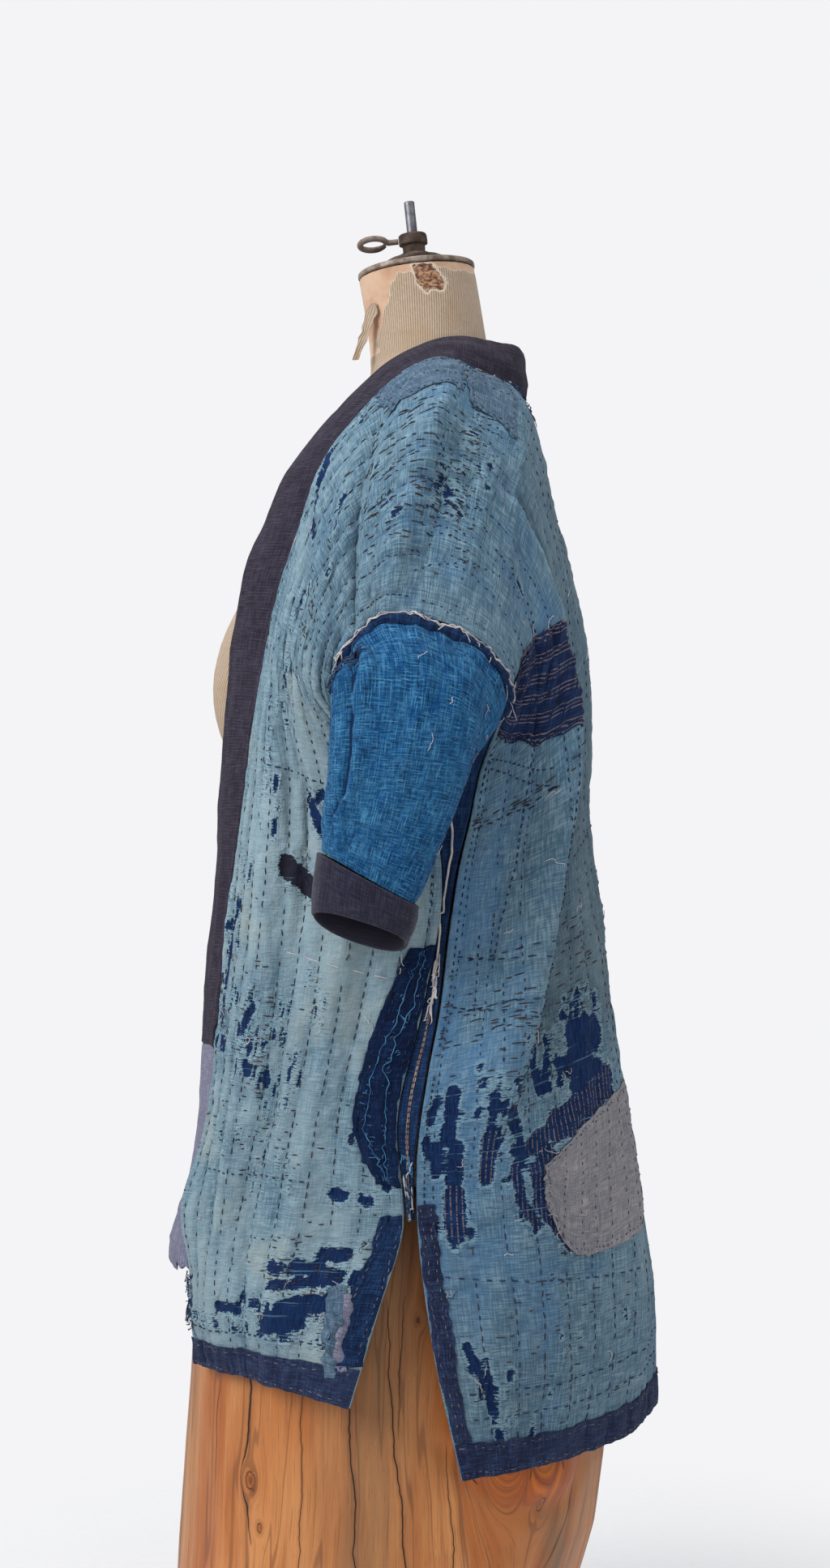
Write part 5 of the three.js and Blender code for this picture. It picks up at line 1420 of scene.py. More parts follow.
class BodyStrip:
    """One of the two body strips, cut in one length from the front hem over the shoulder to the back
    hem, quilted to its worn lining by rows of running stitch that follow its length."""

    ROWS = 11
    PITCH = 8.5
    TABLE = (1101, 181)  # places of the surface tables along and across

    def __init__(
        self, side: Side, folds: Sequence[Fold], creases: Sequence[Fold], holes: Sequence[Hole],
        lip: Sequence[tuple[float, float, float]], seed: int,
    ) -> None:
        """Works out the strip's bare inner face and its worked outer face.

        Args:
            lip: the edge of the great pleat's upper layer: along, across, and how high it stands, 0 to 1.
        """
        self.side, self.seed, self.lip = side, seed, np.array(lip, float)
        self.shape = StripShape(folds)
        u, v = np.meshgrid(np.linspace(0, 1, self.TABLE[1]), np.linspace(0, BACK_HEM_ROW, self.TABLE[0]))
        points = self.shape.folded(u.ravel(), v.ravel()).reshape(*u.shape, 3)
        points[..., 0] *= side.value
        self.bare = Surface(points, BACK_HEM_ROW, facing=side.value)
        self.inner = Surface(points, BACK_HEM_ROW, facing=side.value)
        x, y = self.bare.flat_x, self.bare.flat_y
        coarse = np.zeros(u.shape)
        for fold in creases:
            coarse += fold.height * self.shape.rise(fold, u.ravel(), v.ravel(), rims=False).reshape(u.shape)
        coarse += 1.0 * cloud(x, y, 38, 62, seed) + 0.5 * cloud(x + 0.3 * y, y, 17, 40, seed + 1)
        drag = 1 - np.abs(cloud(x + 0.15 * y, y, 21, 120, seed + 2))
        coarse += 1.5 * drag**4 - 0.4
        past = u - np.interp(v, self.lip[:, 0], self.lip[:, 1])
        stand = np.interp(v, self.lip[:, 0], self.lip[:, 2])
        coarse += stand * 6.0 * smooth((past + 0.002) / 0.009) * smooth(1 - past / 0.24)
        coarse -= stand * 4.4 * smooth(-past / 0.008) * smooth(1 + past / 0.14)
        rim = smooth(u / 0.03) * smooth((1 - u) / 0.03)
        coarse = np.maximum(coarse, -5.0) * (0.25 + 0.75 * rim)
        coarse += 17.0 * np.exp(-(((v - 2.0) / 0.55) ** 2)) * smooth(1 - u / 0.3)
        self.inner.raise_by(coarse)
        self.cloth = Surface(self.inner.points, BACK_HEM_ROW, facing=side.value)
        worn = self.worn(holes)
        quilted = self.quilting(u, v, x, y)
        self.cloth.raise_by(CLOTH + quilted + self.dents(worn))
        self.cloth.flat_x, self.cloth.flat_y = x, y
        self.cloth.values = {
            "hole": worn,
            "under": self.under,
            # The quilting's ridges are paler: partly wear, and partly painted shade in the stitched valleys.
            "fade": np.clip(self.fading(u, v, x, y) + 0.2 * (quilted - 0.4), -1.2, 1.4),
            "grime_and_shade": self.soil_and_shade(u, v, x, y),
        }
        self.cloth.values |= {
            "over": smooth((v - 8.4) / 1.2) * smooth((13.8 - v) / 1.4),
            "lip": np.clip(past * FLAT_WIDTH, -20, 20),
            "stand": stand,
        }

    def row_line(self, row: int, along: Array) -> Array:
        """Across place of one row of stitches, which wanders a little."""
        return (row + 0.55) / self.ROWS + 0.011 * drift(along, 1.7, self.seed + 40 + row)

    def quilting(self, u: Array, v: Array, x: Array, y: Array) -> Array:
        """Relief of the stitch rows and of the slack cloth between them.

        Each row draws the cloth down in a valley, deepest at every stitch, with short ripples beside
        it; between the rows the cloth puffs up and crumples.
        """
        s = self.seed
        height = (
            0.75 * cloud(x, y, 14, 17, s + 4)
            + 0.55 * cloud(x, y, 6.5, 5.5, s + 5)
            + 0.2 * cloud(x, y, 3.2, 3.0, s + 6)
        )
        height += 0.7 * (1 - np.abs(cloud(x, y, 16, 9, s + 13))) ** 3 * smooth(0.5 + cloud(x, y, 50, 70, s + 14))
        away = np.full(u.shape, 99.0)
        for row in range(self.ROWS):
            d = (u - self.row_line(row, v)) * x.max()
            beat = 0.5 + 0.5 * np.cos(2 * math.pi * (y + 3.1 * row) / self.PITCH)
            firm = 0.55 + 0.45 * cloud(x, y, 40, 90, s + 7)
            height -= firm * (0.8 + 1.2 * beat) * np.exp(-((d / 2.0) ** 2))
            height += firm * 0.9 * (beat - 0.5) * np.exp(-((d / 6.5) ** 2))
            away = np.minimum(away, np.abs(d))
        height += 0.8 * smooth(away / 10.0)
        border = np.minimum(np.minimum(x, x.max() - x), np.minimum(y, y.max() - y))
        return np.maximum(height, -1.5) * smooth(border / 6.0)

    def worn(self, holes: Sequence[Hole]) -> Array:
        """Millimetres inside the nearest hole, negative outside: half its width less the distance to its
        line, counting distance along the warp at 0.8 and across it at 1.25."""
        x, y = self.bare.flat_x, self.bare.flat_y
        ragged = 1.3 * cloud(x, y, 5, 8, self.seed + 8) + 0.9 * cloud(x, y, 2.4, 3.6, self.seed + 9)
        worn = np.full(x.shape, -HOLE_REACH)
        self.under = np.zeros(x.shape)
        scale = np.array([1.25, 0.8])
        for hole in holes:
            path = np.array(hole.path, float)
            flat = self.bare.flat(path[:, 0], path[:, 1]) * scale
            rows = np.searchsorted(
                y[:, 0] * scale[1],
                [flat[:, 1].min() - hole.half - HOLE_REACH, flat[:, 1].max() + hole.half + HOLE_REACH],
            )
            part = slice(rows[0], rows[1])
            px, py = x[part] * scale[0], y[part] * scale[1]
            value = np.full(px.shape, -99.0)
            for a, b in zip(flat[:-1], flat[1:]):
                run = b - a
                t = np.clip(((px - a[0]) * run[0] + (py - a[1]) * run[1]) / max(float(run @ run), 1e-6), 0, 1)
                value = np.maximum(value, hole.half - np.hypot(px - a[0] - t * run[0], py - a[1] - t * run[1]))
            self.under[part][value > worn[part]] = hole.layer.value
            worn[part] = np.maximum(worn[part], value)
        return np.clip(worn + ragged * smooth((worn + HOLE_REACH) / 5), -HOLE_REACH, HOLE_REACH)

    def dents(self, worn: Array) -> Array:
        """Relief of the holes: a step down inside and a raised, turned rim outside."""
        return -1.2 * smooth((worn + 0.5) / 1.5) + 0.75 * np.exp(-(((worn + 1.7) / 1.1) ** 2))

    def fading(self, u: Array, v: Array, x: Array, y: Array) -> Array:
        """Paler and greener down the front, deeper blue behind, in cloudy zones and along the folds."""
        fade = (
            0.85 * smooth((9.4 - v) / 3.4)
            - 0.45 * smooth((4.4 - v) / 1.2)
            + 0.35 * smooth((2.2 - v) / 1.0)
            - 0.55 * smooth((v - 12.0) / 4.0) * smooth((u - 0.6) / 0.06)
        )
        fade -= 0.35 * smooth((v - 9.5) / 2.0) * smooth((14.0 - v) / 2.0)
        fade += 0.35 * cloud(x, y, 60, 110, self.seed + 10) + 0.25 * cloud(x, y, 22, 34, self.seed + 11)
        return np.clip(fade, -1.0, 1.0)

    def soil_and_shade(self, u: Array, v: Array, x: Array, y: Array) -> Array:
        """Grime towards both hems and in blotches, and painted shade behind the great pleat's edge."""
        low = 0.7 * smooth((1.6 - v) / 1.6) + smooth((v - 21.5) / 3.5)
        lip, stand = (np.interp(v, self.lip[:, 0], self.lip[:, i]) for i in (1, 2))
        # Painted shade behind the great pleat's edge, carried in the same value as the grime.
        low += 3.2 * stand * smooth((lip - u) / 0.01)
        return np.clip(0.35 * low + 0.35 * smooth(cloud(x, y, 45, 70, self.seed + 12)) + 0.1, 0, 1.4)

    def make(self, finish: Material, pitch: float) -> Piece:
        """The strip as a wall of cloth."""
        hand = self.side.hand
        across, along = self.cloth.spaced(pitch, pitch * 1.05, CLOTH / 2)
        wall = cloth_wall(
            f"{hand}_body_strip", self.cloth, finish, across, along, 0.0, CLOTH, inner=self.inner, inner_lift=0.0
        )
        return settle(wall, STAND, "faded_indigo", f"body_{hand}")

    def row_stitches(self, dark: ThreadWork, every: float, keep: float) -> None:
        """Sews the running stitch rows, leaving out those worn away."""
        rng = np.random.default_rng(self.seed + 60)
        _, length = self.cloth.size()
        places = []
        for row in range(self.ROWS):
            y = np.arange(12.0, length - 12.0, every) + 3.1 * row % every
            v = np.interp(y, self.cloth.flat_y[:, 0], np.linspace(0, BACK_HEM_ROW, self.cloth.rows))
            places.append(joined(self.row_line(row, v), v))
        places = np.concatenate(places)
        u, v = places.T
        sound = self.cloth.read(self.cloth.values["hole"], u, v) < -1.0
        places = places[sound & (rng.uniform(0, 1, len(places)) < keep) & (u < 0.985)]
        m = len(places)
        ways = joined(rng.normal(0, 0.12, m), np.ones(m))
        dark.sew(self.cloth, places, ways, rng.uniform(3.6, 6.0, m), 0.55, 0.5)

    def darning(self, dark: ThreadWork, zones: Sequence[tuple[float, float, float, float, int, bool]]) -> None:
        """Scatters short darning stitches across the strip, in clusters.

        Args:
            zones: across and along of a cluster's middle, its spread both ways in millimetres, a
                count, and whether its stitches run along the strip, as they do over the shoulder.
        """
        rng = np.random.default_rng(self.seed + 61)
        for u, v, wide, tall, count, lengthwise in zones:
            x, y = rng.normal(0, wide / 2, count), rng.normal(0, tall / 2, count)
            if lengthwise:
                x = np.round(x / 5.5) * 5.5 + rng.normal(0, 0.5, count)
            else:
                y = np.round(y / 3.2) * 3.2
            x, y = x / FLAT_WIDTH, y / ROW_LENGTH
            places = joined(np.clip(u + x, 0.02, 0.98), v + y)
            level = joined(np.clip((11.9 - v - y) * 0.25, -0.3, 0.3) + rng.normal(0, 0.06, count), np.ones(count))
            ways = level if lengthwise else joined(np.ones(count), rng.normal(0, 0.08, count))
            dark.sew(self.cloth, places, ways, rng.uniform(2.5, 8.5, count), 0.52, 0.4)

    def sewn_line(
        self,
        thread: ThreadWork,
        path: Sequence[tuple[float, float]],
        pitch: float,
        length: float,
        radius: float = 0.68,
    ) -> None:
        """Sews a row of stitches along a line of cloth places."""
        points = np.array(path, float)
        flat = self.cloth.flat(points[:, 0], points[:, 1])
        gone = totals(np.linalg.norm(np.diff(flat, axis=0), axis=1))
        at = np.arange(pitch / 2, gone[-1], pitch)
        places = joined(np.interp(at, gone, points[:, 0]), np.interp(at, gone, points[:, 1]))
        ways = np.stack([np.gradient(np.interp(at, gone, flat[:, i])) for i in (0, 1)], axis=-1)
        rng = np.random.default_rng(len(at) + self.seed)
        thread.sew(self.cloth, places, ways, length * rng.uniform(0.75, 1.2, len(at)), radius, 0.5)


# ---------------------------------------------------------------- patches and bands
@dataclass(frozen=True)
class Patch:
    """A piece of cloth sewn on a body strip, between two rails of cloth places.

    Attributes:
        low, high: the rails, with places numbered the same way along both.
        thickness: millimetres.
        ragged: how far its raw edges wander.
        gathers: ridge height of the puckers that run from rail to rail.
        lift: how far its free middle stands off the strip.
        pitch: of its mesh, in millimetres.
    """

    name: str
    node: str
    slot: str
    low: tuple[tuple[float, float], ...]
    high: tuple[tuple[float, float], ...]
    thickness: float = PATCH_CLOTH
    ragged: float = 1.4
    gathers: float = 0.0
    lift: float = 0.0
    pitch: float = 1.9

    def surface(self, strip: BodyStrip, seed: int) -> Surface:
        """The patch's own surface on the strip's outer face."""
        scale = np.array([FLAT_WIDTH, ROW_LENGTH])
        rails = [Curve(np.array(r, float) * scale) for r in (self.low, self.high)]
        ends = [len(r) - 1 for r in (self.low, self.high)]
        length = max(float(r.knots[-1]) for r in rails)
        rise = float(np.linalg.norm(rails[0].points.mean(axis=0) - rails[1].points.mean(axis=0)))
        n, m = max(24, int(length / 1.5)), max(10, int(rise / 1.5))
        s, t = np.meshgrid(np.linspace(0, 1, n), np.linspace(0, 1, m))
        one, two = (r.at(s.ravel() * e).reshape(*s.shape, 2) for r, e in zip(rails, ends))
        place = one * (1 - t[..., None]) + two * t[..., None]
        x, y = place[..., 0], place[..., 1]
        edge = np.minimum(np.minimum(s, 1 - s) * length, np.minimum(t, 1 - t) * rise)
        near = 1 - smooth(edge / 9.0)
        x = x + near * self.ragged * (cloud(x, y, 6, 6, seed) + 0.5 * cloud(x, y, 2.6, 2.6, seed + 1))
        y = y + near * self.ragged * (cloud(x, y, 6, 6, seed + 2) + 0.5 * cloud(x, y, 2.6, 2.6, seed + 3))
        u = np.clip(x / FLAT_WIDTH, 0.002, 0.998)
        v = np.clip(y / ROW_LENGTH, 0.0, BACK_HEM_ROW)
        free = self.lift * smooth(np.sin(math.pi * t)) * smooth(np.sin(math.pi * s))
        patch = strip.cloth.cut(u, v, 0.15 + free)
        x, y = patch.flat_x, patch.flat_y
        height = 0.7 * cloud(x, y, 14, 17, seed + 4) + 0.4 * cloud(x, y, 5, 6, seed + 5)
        height += 0.9 * (1 - np.abs(cloud(x + 0.4 * y, y, 13, 21, seed + 8))) ** 4
        height += near * 0.5 * cloud(x, y, 7, 7, seed + 6)
        if self.gathers:
            wave = np.sin(x / 3.3 + 2.2 * cloud(x, y, 16, 40, seed + 7))
            height += self.gathers * wave * (0.4 + 0.6 * (1 - t))
        sewn = np.exp(-(((edge - 4.0) / 1.5) ** 2))
        height -= 0.5 * sewn * (0.6 + 0.4 * np.cos(2 * math.pi * (x + y) / 7.0))
        patch.raise_by(np.maximum(height, -0.35) * smooth((edge + 1.5) / 3.0))
        return patch

    def make(self, strip: BodyStrip, finish: Material, seed: int) -> tuple[Piece, Surface]:
        """The patch as a wall of cloth, and its surface."""
        patch = self.surface(strip, seed)
        hand = strip.side.hand
        across, along = patch.spaced(self.pitch, self.pitch, self.thickness / 2)
        wall = cloth_wall(f"{hand}_{self.name}", patch, finish, across, along, self.thickness, self.thickness)
        settle(wall, STAND, self.slot, f"{self.node}_{hand}")
        return wall, patch

    def sheet(self, wall: Piece, patch: Surface, rests_on: str) -> None:
        """Works out the patch's flat size in metres, and keeps nothing of it."""
        wide, long = patch.metres()


EDGE_IN, EDGE_OUT = 0.004, 0.996
SEWN_ALL_ROUND = 5  # the first of each side's pieces are sewn down all round, the others along two edges
LEFT_PATCHES = (
    Patch("shoulder_patch", "shoulder_patch", "washed_indigo",
          ((0.01, 10.5), (0.13, 10.46), (0.26, 10.5), (0.35, 10.62)),
          ((0.01, 11.3), (0.14, 11.42), (0.27, 11.46), (0.37, 11.4)), ragged=3.2),
    Patch("yoke_patch", "yoke_patch", "washed_indigo",
          ((0.05, 11.62), (0.19, 11.5), (0.31, 11.52), (0.41, 11.6)),
          ((0.06, 12.3), (0.2, 12.55), (0.36, 12.75), (0.48, 12.75)), ragged=3.4),
    Patch("underarm_patch", "underarm_patch", "striped_navy",
          ((0.985, 14.35), (0.84, 14.6), (0.68, 15.1), (0.5, 15.9)),
          ((0.985, 14.75), (0.95, 15.75), (0.8, 16.35), (0.62, 16.75)), ragged=3.4, gathers=2.2),
    Patch("side_flap", "side_flap", "navy_cotton",
          ((0.91, 4.5), (0.87, 4.15), (0.83, 3.6), (0.82, 3.2), (0.85, 2.8), (0.92, 2.4)),
          ((0.995, 4.5), (0.995, 4.1), (0.995, 3.6), (0.995, 3.2), (0.995, 2.8), (0.995, 2.4)), ragged=2.0,
          gathers=0.7, lift=2.0),
    Patch("back_patch", "back_patch", "grey_check",
          ((0.002, 21.85), (0.16, 21.85), (0.33, 21.84), (0.43, 21.96), (0.54, 22.12), (0.65, 22.35)),
          ((0.002, 23.25), (0.16, 23.28), (0.33, 23.28), (0.46, 23.34), (0.56, 23.3), (0.65, 22.75)), ragged=1.5),
    Patch(
        "front_hem_band", "hem_band_front", "navy_cotton", ((EDGE_IN, 0.0), (0.5, 0.0), (EDGE_OUT, 0.0)),
        ((EDGE_IN, 0.4), (0.5, 0.4), (EDGE_OUT, 0.4)), BAND_CLOTH, 0.9,
    ),
    Patch(
        "back_hem_band",
        "hem_band_back",
        "navy_cotton",
        ((EDGE_IN, 24.72), (0.5, 24.74), (EDGE_OUT, 24.73)),
        ((EDGE_IN, 25.0), (0.5, 25.0), (EDGE_OUT, 25.0)),
        BAND_CLOTH,
        0.9,
    ),
    Patch(
        "front_vent_band",
        "vent_band_front",
        "navy_cotton",
        ((EDGE_OUT, 0.42), (EDGE_OUT, 1.2), (EDGE_OUT, 2.1)),
        ((0.9, 0.42), (0.9, 1.2), (0.93, 2.1)),
        BAND_CLOTH,
        2.4,
    ),
    Patch(
        "back_vent_band",
        "vent_band_back",
        "navy_cotton",
        ((EDGE_OUT, 22.7), (EDGE_OUT, 23.7), (EDGE_OUT, 24.72)),
        ((0.95, 22.7), (0.945, 23.7), (0.94, 24.72)),
        BAND_CLOTH,
        1.6,
    ),
)
RIGHT_PITCH = 2.6
RIGHT_PATCHES = (
    *(replace(patch, pitch=RIGHT_PITCH) for patch in LEFT_PATCHES if patch.name != "back_patch"),
    Patch(
        "back_patch", "back_patch", "grey_check", ((0.2, 19.5), (0.4, 19.55), (0.6, 19.5)),
        ((0.21, 21.3), (0.4, 21.25), (0.59, 21.3)), ragged=1.8, pitch=RIGHT_PITCH,
    ),
)
TORN_PITCH = 1.6
TORN_STRIP = Patch(
    "torn_strip", "", "faded_indigo",
    ((0.835, 1.25), (0.85, 0.95), (0.86, 0.62), (0.885, 0.28)),
    ((0.885, 1.3), (0.905, 0.95), (0.9, 0.6), (0.935, 0.3)), PATCH_CLOTH, 2.6, 0.5, 5.0, 1.5,
)
TORN_LINING = Patch(
    "torn_lining", "", "lavender_cotton",
    ((0.862, 1.2), (0.88, 0.95), (0.885, 0.65), (0.905, 0.33)),
    ((0.9, 1.22), (0.925, 0.93), (0.925, 0.62), (0.955, 0.36)), PATCH_CLOTH, 1.8, 0.0, 2.0, 1.5,
)


# ---------------------------------------------------------------- collar, sleeve and underarm
class Collar:
    """The long folded band round the front edges and the neck, and its worn lavender ends."""

    TABLE_ROWS = 330

    def __init__(self, left: BodyStrip, right: BodyStrip) -> None:
        """Keeps the two strips that the band is sewn to."""
        self.strips = {Side.LEFT: left, Side.RIGHT: right}

    def ribbon(self, side: Side, table: Sequence[tuple], places: Array) -> Array:
        """Points (rows, cols, 3) of the band's middle layer, from its folded outer edge, across a
        slight bulge, to the seam and 5 mm on over the strip's own edge."""
        strip = self.strips[side]
        along = np.array([row[0] for row in table], float)
        edges = Curve(np.array([row[1] for row in table], float))
        bulges = np.array([row[2] for row in table], float)
        number = np.interp(places, along, np.arange(len(along)))
        edge = edges.at(number) * np.array([side.value, 1, 1])
        bulge = np.interp(places, along, bulges)[:, None]
        zero = np.zeros_like(places)
        seam = strip.bare.at(zero, places)
        way = strip.bare.at(zero, np.minimum(14.0, places + 0.1)) - strip.bare.at(zero, places - 0.1)
        reach = edge - seam
        face = unit(np.cross(-reach, way)) * side.value
        start = seam + unit(reach) * 0.75
        mid = (start + edge) / 2 + face * bulge
        over = strip.cloth.at(zero + 0.02, places, -2.1)
        knots = np.array([0.0, 1.0, 2.0, 2.22])
        four = np.stack([edge, mid, start, over], axis=1)
        t = np.concatenate([np.linspace(0, 2, 25), np.linspace(2, 2.22, 4)[1:]])
        slope = slopes_at(knots, four)
        k = np.clip(np.searchsorted(knots, t, side="right") - 1, 0, 2)
        h = (knots[k + 1] - knots[k])[None, :, None]
        f = ((t - knots[k]) / (knots[k + 1] - knots[k]))[None, :, None]
        return blended(four[:, k], four[:, k + 1], slope[:, k], slope[:, k + 1], h, f)

    def relief(self, cloth: Surface, seed: int) -> Array:
        """Long soft creases, the drag of the quilting through the fold, and a lumpy worn edge."""
        x, y = cloth.flat_x, cloth.flat_y
        height = 0.9 * (1 - np.abs(cloud(x, y, 11, 95, seed))) ** 3 + 0.55 * cloud(x, y, 9, 46, seed + 1)
        height += 0.4 * cloud(x, y, 7, 12, seed + 2) + 0.2 * cloud(x, y, 3, 4, seed + 3)
        height += 0.7 * cloud(x, y, 30, 20, seed + 4) * np.exp(-((x / 9) ** 2))
        valley = np.exp(-(((x - x.max() + 7.0) / 1.4) ** 2))
        return np.maximum(height - 0.9 * valley * (0.6 + 0.4 * np.cos(2 * math.pi * y / 8.0)), -1.2)

    def make(self, finish: Material) -> tuple[Piece, Surface]:
        """The charcoal band, in one piece over both fronts and the back of the neck."""
        low, high = COLLAR_ROWS[0][0], COLLAR_ROWS[-1][0]
        places = np.linspace(low - 0.03, high, self.TABLE_ROWS)
        left = self.ribbon(Side.LEFT, COLLAR_ROWS, places)
        right = self.ribbon(Side.RIGHT, COLLAR_ROWS, places)
        left[-1, :, 0] = 0.0
        band = Surface(np.concatenate([left, right[-2::-1]]), 1.0)
        band.facing = 1.0 if band.normals[self.TABLE_ROWS, 12, 1] > 0 else -1.0
        band.normals = band.normals * band.facing
        band.raise_by(self.relief(band, 310))
        across, along = band.spaced(1.9, 2.7, COLLAR_CLOTH / 2)
        wall = cloth_wall("collar_band", band, finish, across, along, COLLAR_CLOTH - 0.6, COLLAR_CLOTH)
        return settle(wall, STAND, "charcoal_cotton", "collar"), band

    def end(self, side: Side, finish: Material) -> tuple[Piece, Surface]:
        """The narrower worn end of the band, frayed away at the bottom."""
        places = np.linspace(COLLAR_END_ROWS[0][0], COLLAR_END_ROWS[-1][0], 150)
        whole = Surface(self.ribbon(side, COLLAR_END_ROWS, places), 1.0)
        u, v = np.meshgrid(np.linspace(0, 1, 40), np.linspace(0, 1, 150))
        torn = 0.035 * (1 + cloud(u * 30, v * 0, 2.6, 9, 340)) + 0.02 * (1 + cloud(u * 30, v * 0, 0.9, 9, 341))
        v = v + (1 - v) ** 6 * torn
        nibble = np.exp(-((u * 30 / 3) ** 2)) * (1 - v) ** 2
        band = whole.cut(np.clip(u + 0.05 * nibble * (1 + cloud(u * 0, v * 200, 9, 5, 342)), 0, 1), v)
        if (band.normals[:, 20, 0] * side.value).mean() < 0:
            band.facing, band.normals = -band.facing, -band.normals
        band.raise_by(0.6 * self.relief(band, 343))
        across, along = band.spaced(1.8, 1.9, CLOTH / 2)
        hand = side.hand
        wall = cloth_wall(f"{hand}_collar_end", band, finish, across, along, CLOTH, CLOTH + 0.4)
        return settle(wall, STAND, "lavender_cotton", f"collar_end_{hand}"), band


class Arm:
    """The underarm gusset, the rolled armhole seam, the short sleeve and its cuff, on one side."""

    LOOP_PARTS = 24
    ROUND = 193  # places round a sleeve ring, with the last on the first
    SLEEVE_ROW_COUNT = 9

    def __init__(self, strip: BodyStrip, seed: int) -> None:
        """Works out the gusset and the armhole loop from the strip's side edge."""
        self.strip, self.side, self.seed = strip, strip.side, seed
        self.hand = strip.side.hand
        self.gusset = self.gusset_surface()
        self.p, self.ahead, self.way, self.share = self.armhole()

    def rim(self, along: Array) -> tuple[Array, Array, Array]:
        """Places, normals and outward ways at the strip's side edge."""
        one = np.ones_like(along)
        p = self.strip.bare.at(one, along)
        return p, self.strip.bare.normal(one, along), unit(p - self.strip.bare.at(one - 0.06, along))

    def gusset_surface(self) -> Surface:
        """The side panel, hung from the front edge to the back edge with a sag between them."""
        table = np.array(GUSSET_ROWS, float)
        front = np.linspace(table[0, 0], 7.0, 241)
        back = np.interp(front, table[:, 0], table[:, 1])
        sag = np.interp(front, table[:, 0], table[:, 2])[:, None, None]
        p1, n1, o1 = self.rim(front)
        p2, n2, o2 = self.rim(back)
        a, b = p1 + o1 * SEAM_GAP, p2 + o2 * SEAM_GAP * 4
        s = np.linspace(0, 1, 49)[None, :, None]
        face = unit(n1[:, None] * (1 - s) + n2[:, None] * s)
        points = a[:, None] * (1 - s) + b[:, None] * s - face * sag * np.sin(math.pi * s)
        sheet = Surface(points, 1.0)
        sheet.face(face)
        self.gusset_face = face
        x, y = sheet.flat_x, sheet.flat_y
        height = 0.8 * cloud(x, y, 12, 60, self.seed) + 0.4 * cloud(x, y, 5, 12, self.seed + 1)
        height += 1.2 * (1 - np.abs(cloud(x + 0.2 * y, y, 10, 90, self.seed + 2))) ** 4
        self.gusset_bare = Surface(points, 1.0, facing=sheet.facing)
        inside = smooth(np.minimum(x, x.max() - x) / 5.0)
        sheet.raise_by(CLOTH + np.maximum(height, -1.0) * inside)
        return sheet

    def armhole(self) -> tuple[Array, Array, Array, Array]:
        """The armhole loop: 24 places from low in front over the shoulder, behind, and back underneath.

        Returns:
            Places, the run of the edge, the way out of the cloth, and how far round each lies (0 to 1
            over the outer half, 1 to 2 over the inner half).
        """
        up, face, out = self.rim(np.linspace(8, 15, 15))
        edge = up + face * CLOTH / 2
        bare = self.gusset_bare
        s = 1 - np.arange(1, 8) / 8
        top, below = bare.at(s, s * 0 + 1.0), bare.at(s, s * 0 + 0.9)
        under_face = unit(self.gusset_face[-1][np.round(s * 48).astype(int)])
        under = top + under_face * CLOTH / 2
        last, last_face, last_out = self.rim(np.array([7.0, 7.5]))
        p = np.concatenate([edge, under, last + last_face * CLOTH / 2])
        face = np.concatenate([face, under_face, last_face])
        out = np.concatenate([out, top - below, last_out])
        ahead = unit(np.roll(p, -1, axis=0) - np.roll(p, 1, axis=0))
        way = unit(np.cross(face, ahead))
        way = way * np.where((way * out).sum(axis=1) < 0, -1.0, 1.0)[:, None]
        steps = np.linalg.norm(np.roll(p, -1, axis=0) - p, axis=1)
        gone = totals(steps)
        outer = gone[:13] / gone[12]
        inner = 1 + (gone[13:] - gone[12]) / (gone[24] - gone[12])
        return p, ahead, way, np.concatenate([outer, inner])

    def around(self, values: Array, places: Array) -> Array:
        """Reads loop values (24, 3) at places 0 to 24 by a smooth closed curve."""
        n = self.LOOP_PARTS
        k = np.floor(places).astype(int)
        t = (places - k)[:, None]
        a, b, c, d = (values[(k + i) % n] for i in (-1, 0, 1, 2))
        return b + 0.5 * t * (c - a + t * (2 * a - 5 * b + 4 * c - d + t * (3 * (b - c) + d - a)))

    def ring(self, row: tuple, share: Array) -> Array:
        """A ring of the sleeve through its four sides: a superellipse of power 0.85, front first, then
        the outer half and the inner half, spaced by share."""
        front, outer, back, inner = (np.array(p, float) for p in row)
        centre = (front + back) / 2
        turn = np.linspace(0, 2 * math.pi, self.ROUND)
        c, s = np.cos(turn), np.sin(turn)
        cc, ss = (np.sign(v) * np.abs(v) ** 0.85 for v in (c, s))
        bulge = np.where(s[:, None] > 0, outer - centre, centre - inner)
        line = centre + (front - centre) * cc[:, None] + bulge * ss[:, None]
        line = line * np.array([self.side.value, 1, 1])
        gone = totals(np.linalg.norm(np.diff(line, axis=0), axis=1))
        half = gone[self.ROUND // 2]
        at = np.where(share < 1, share * half, half + (share - 1) * (gone[-1] - half))
        return np.stack([np.interp(at, gone, line[:, i]) for i in range(3)], axis=-1)

    def tube(self, rings: list[Array], rows: int, start: float = 0.0) -> Surface:
        """A tube through rings of points, with its outer face out."""
        n = len(rings[0])
        stack = Curve(np.stack(rings).reshape(len(rings), n * 3))
        points = stack.at(np.linspace(start, len(rings) - 1, rows)).reshape(rows, n, 3)
        points[:, -1] = points[:, 0]
        tube = Surface(points, 1.0, wraps=True)
        tube.face(points - points.mean(axis=1, keepdims=True))
        return tube

    def sleeve_row(self, row: int, total: float, along: Array) -> Array:
        """How far round the sleeve one row of stitches lies, in millimetres: it wanders a little."""
        start = total * (row + 0.35) / self.SLEEVE_ROW_COUNT
        return start + 2.0 * drift(along, 40, self.seed + 20 + row)

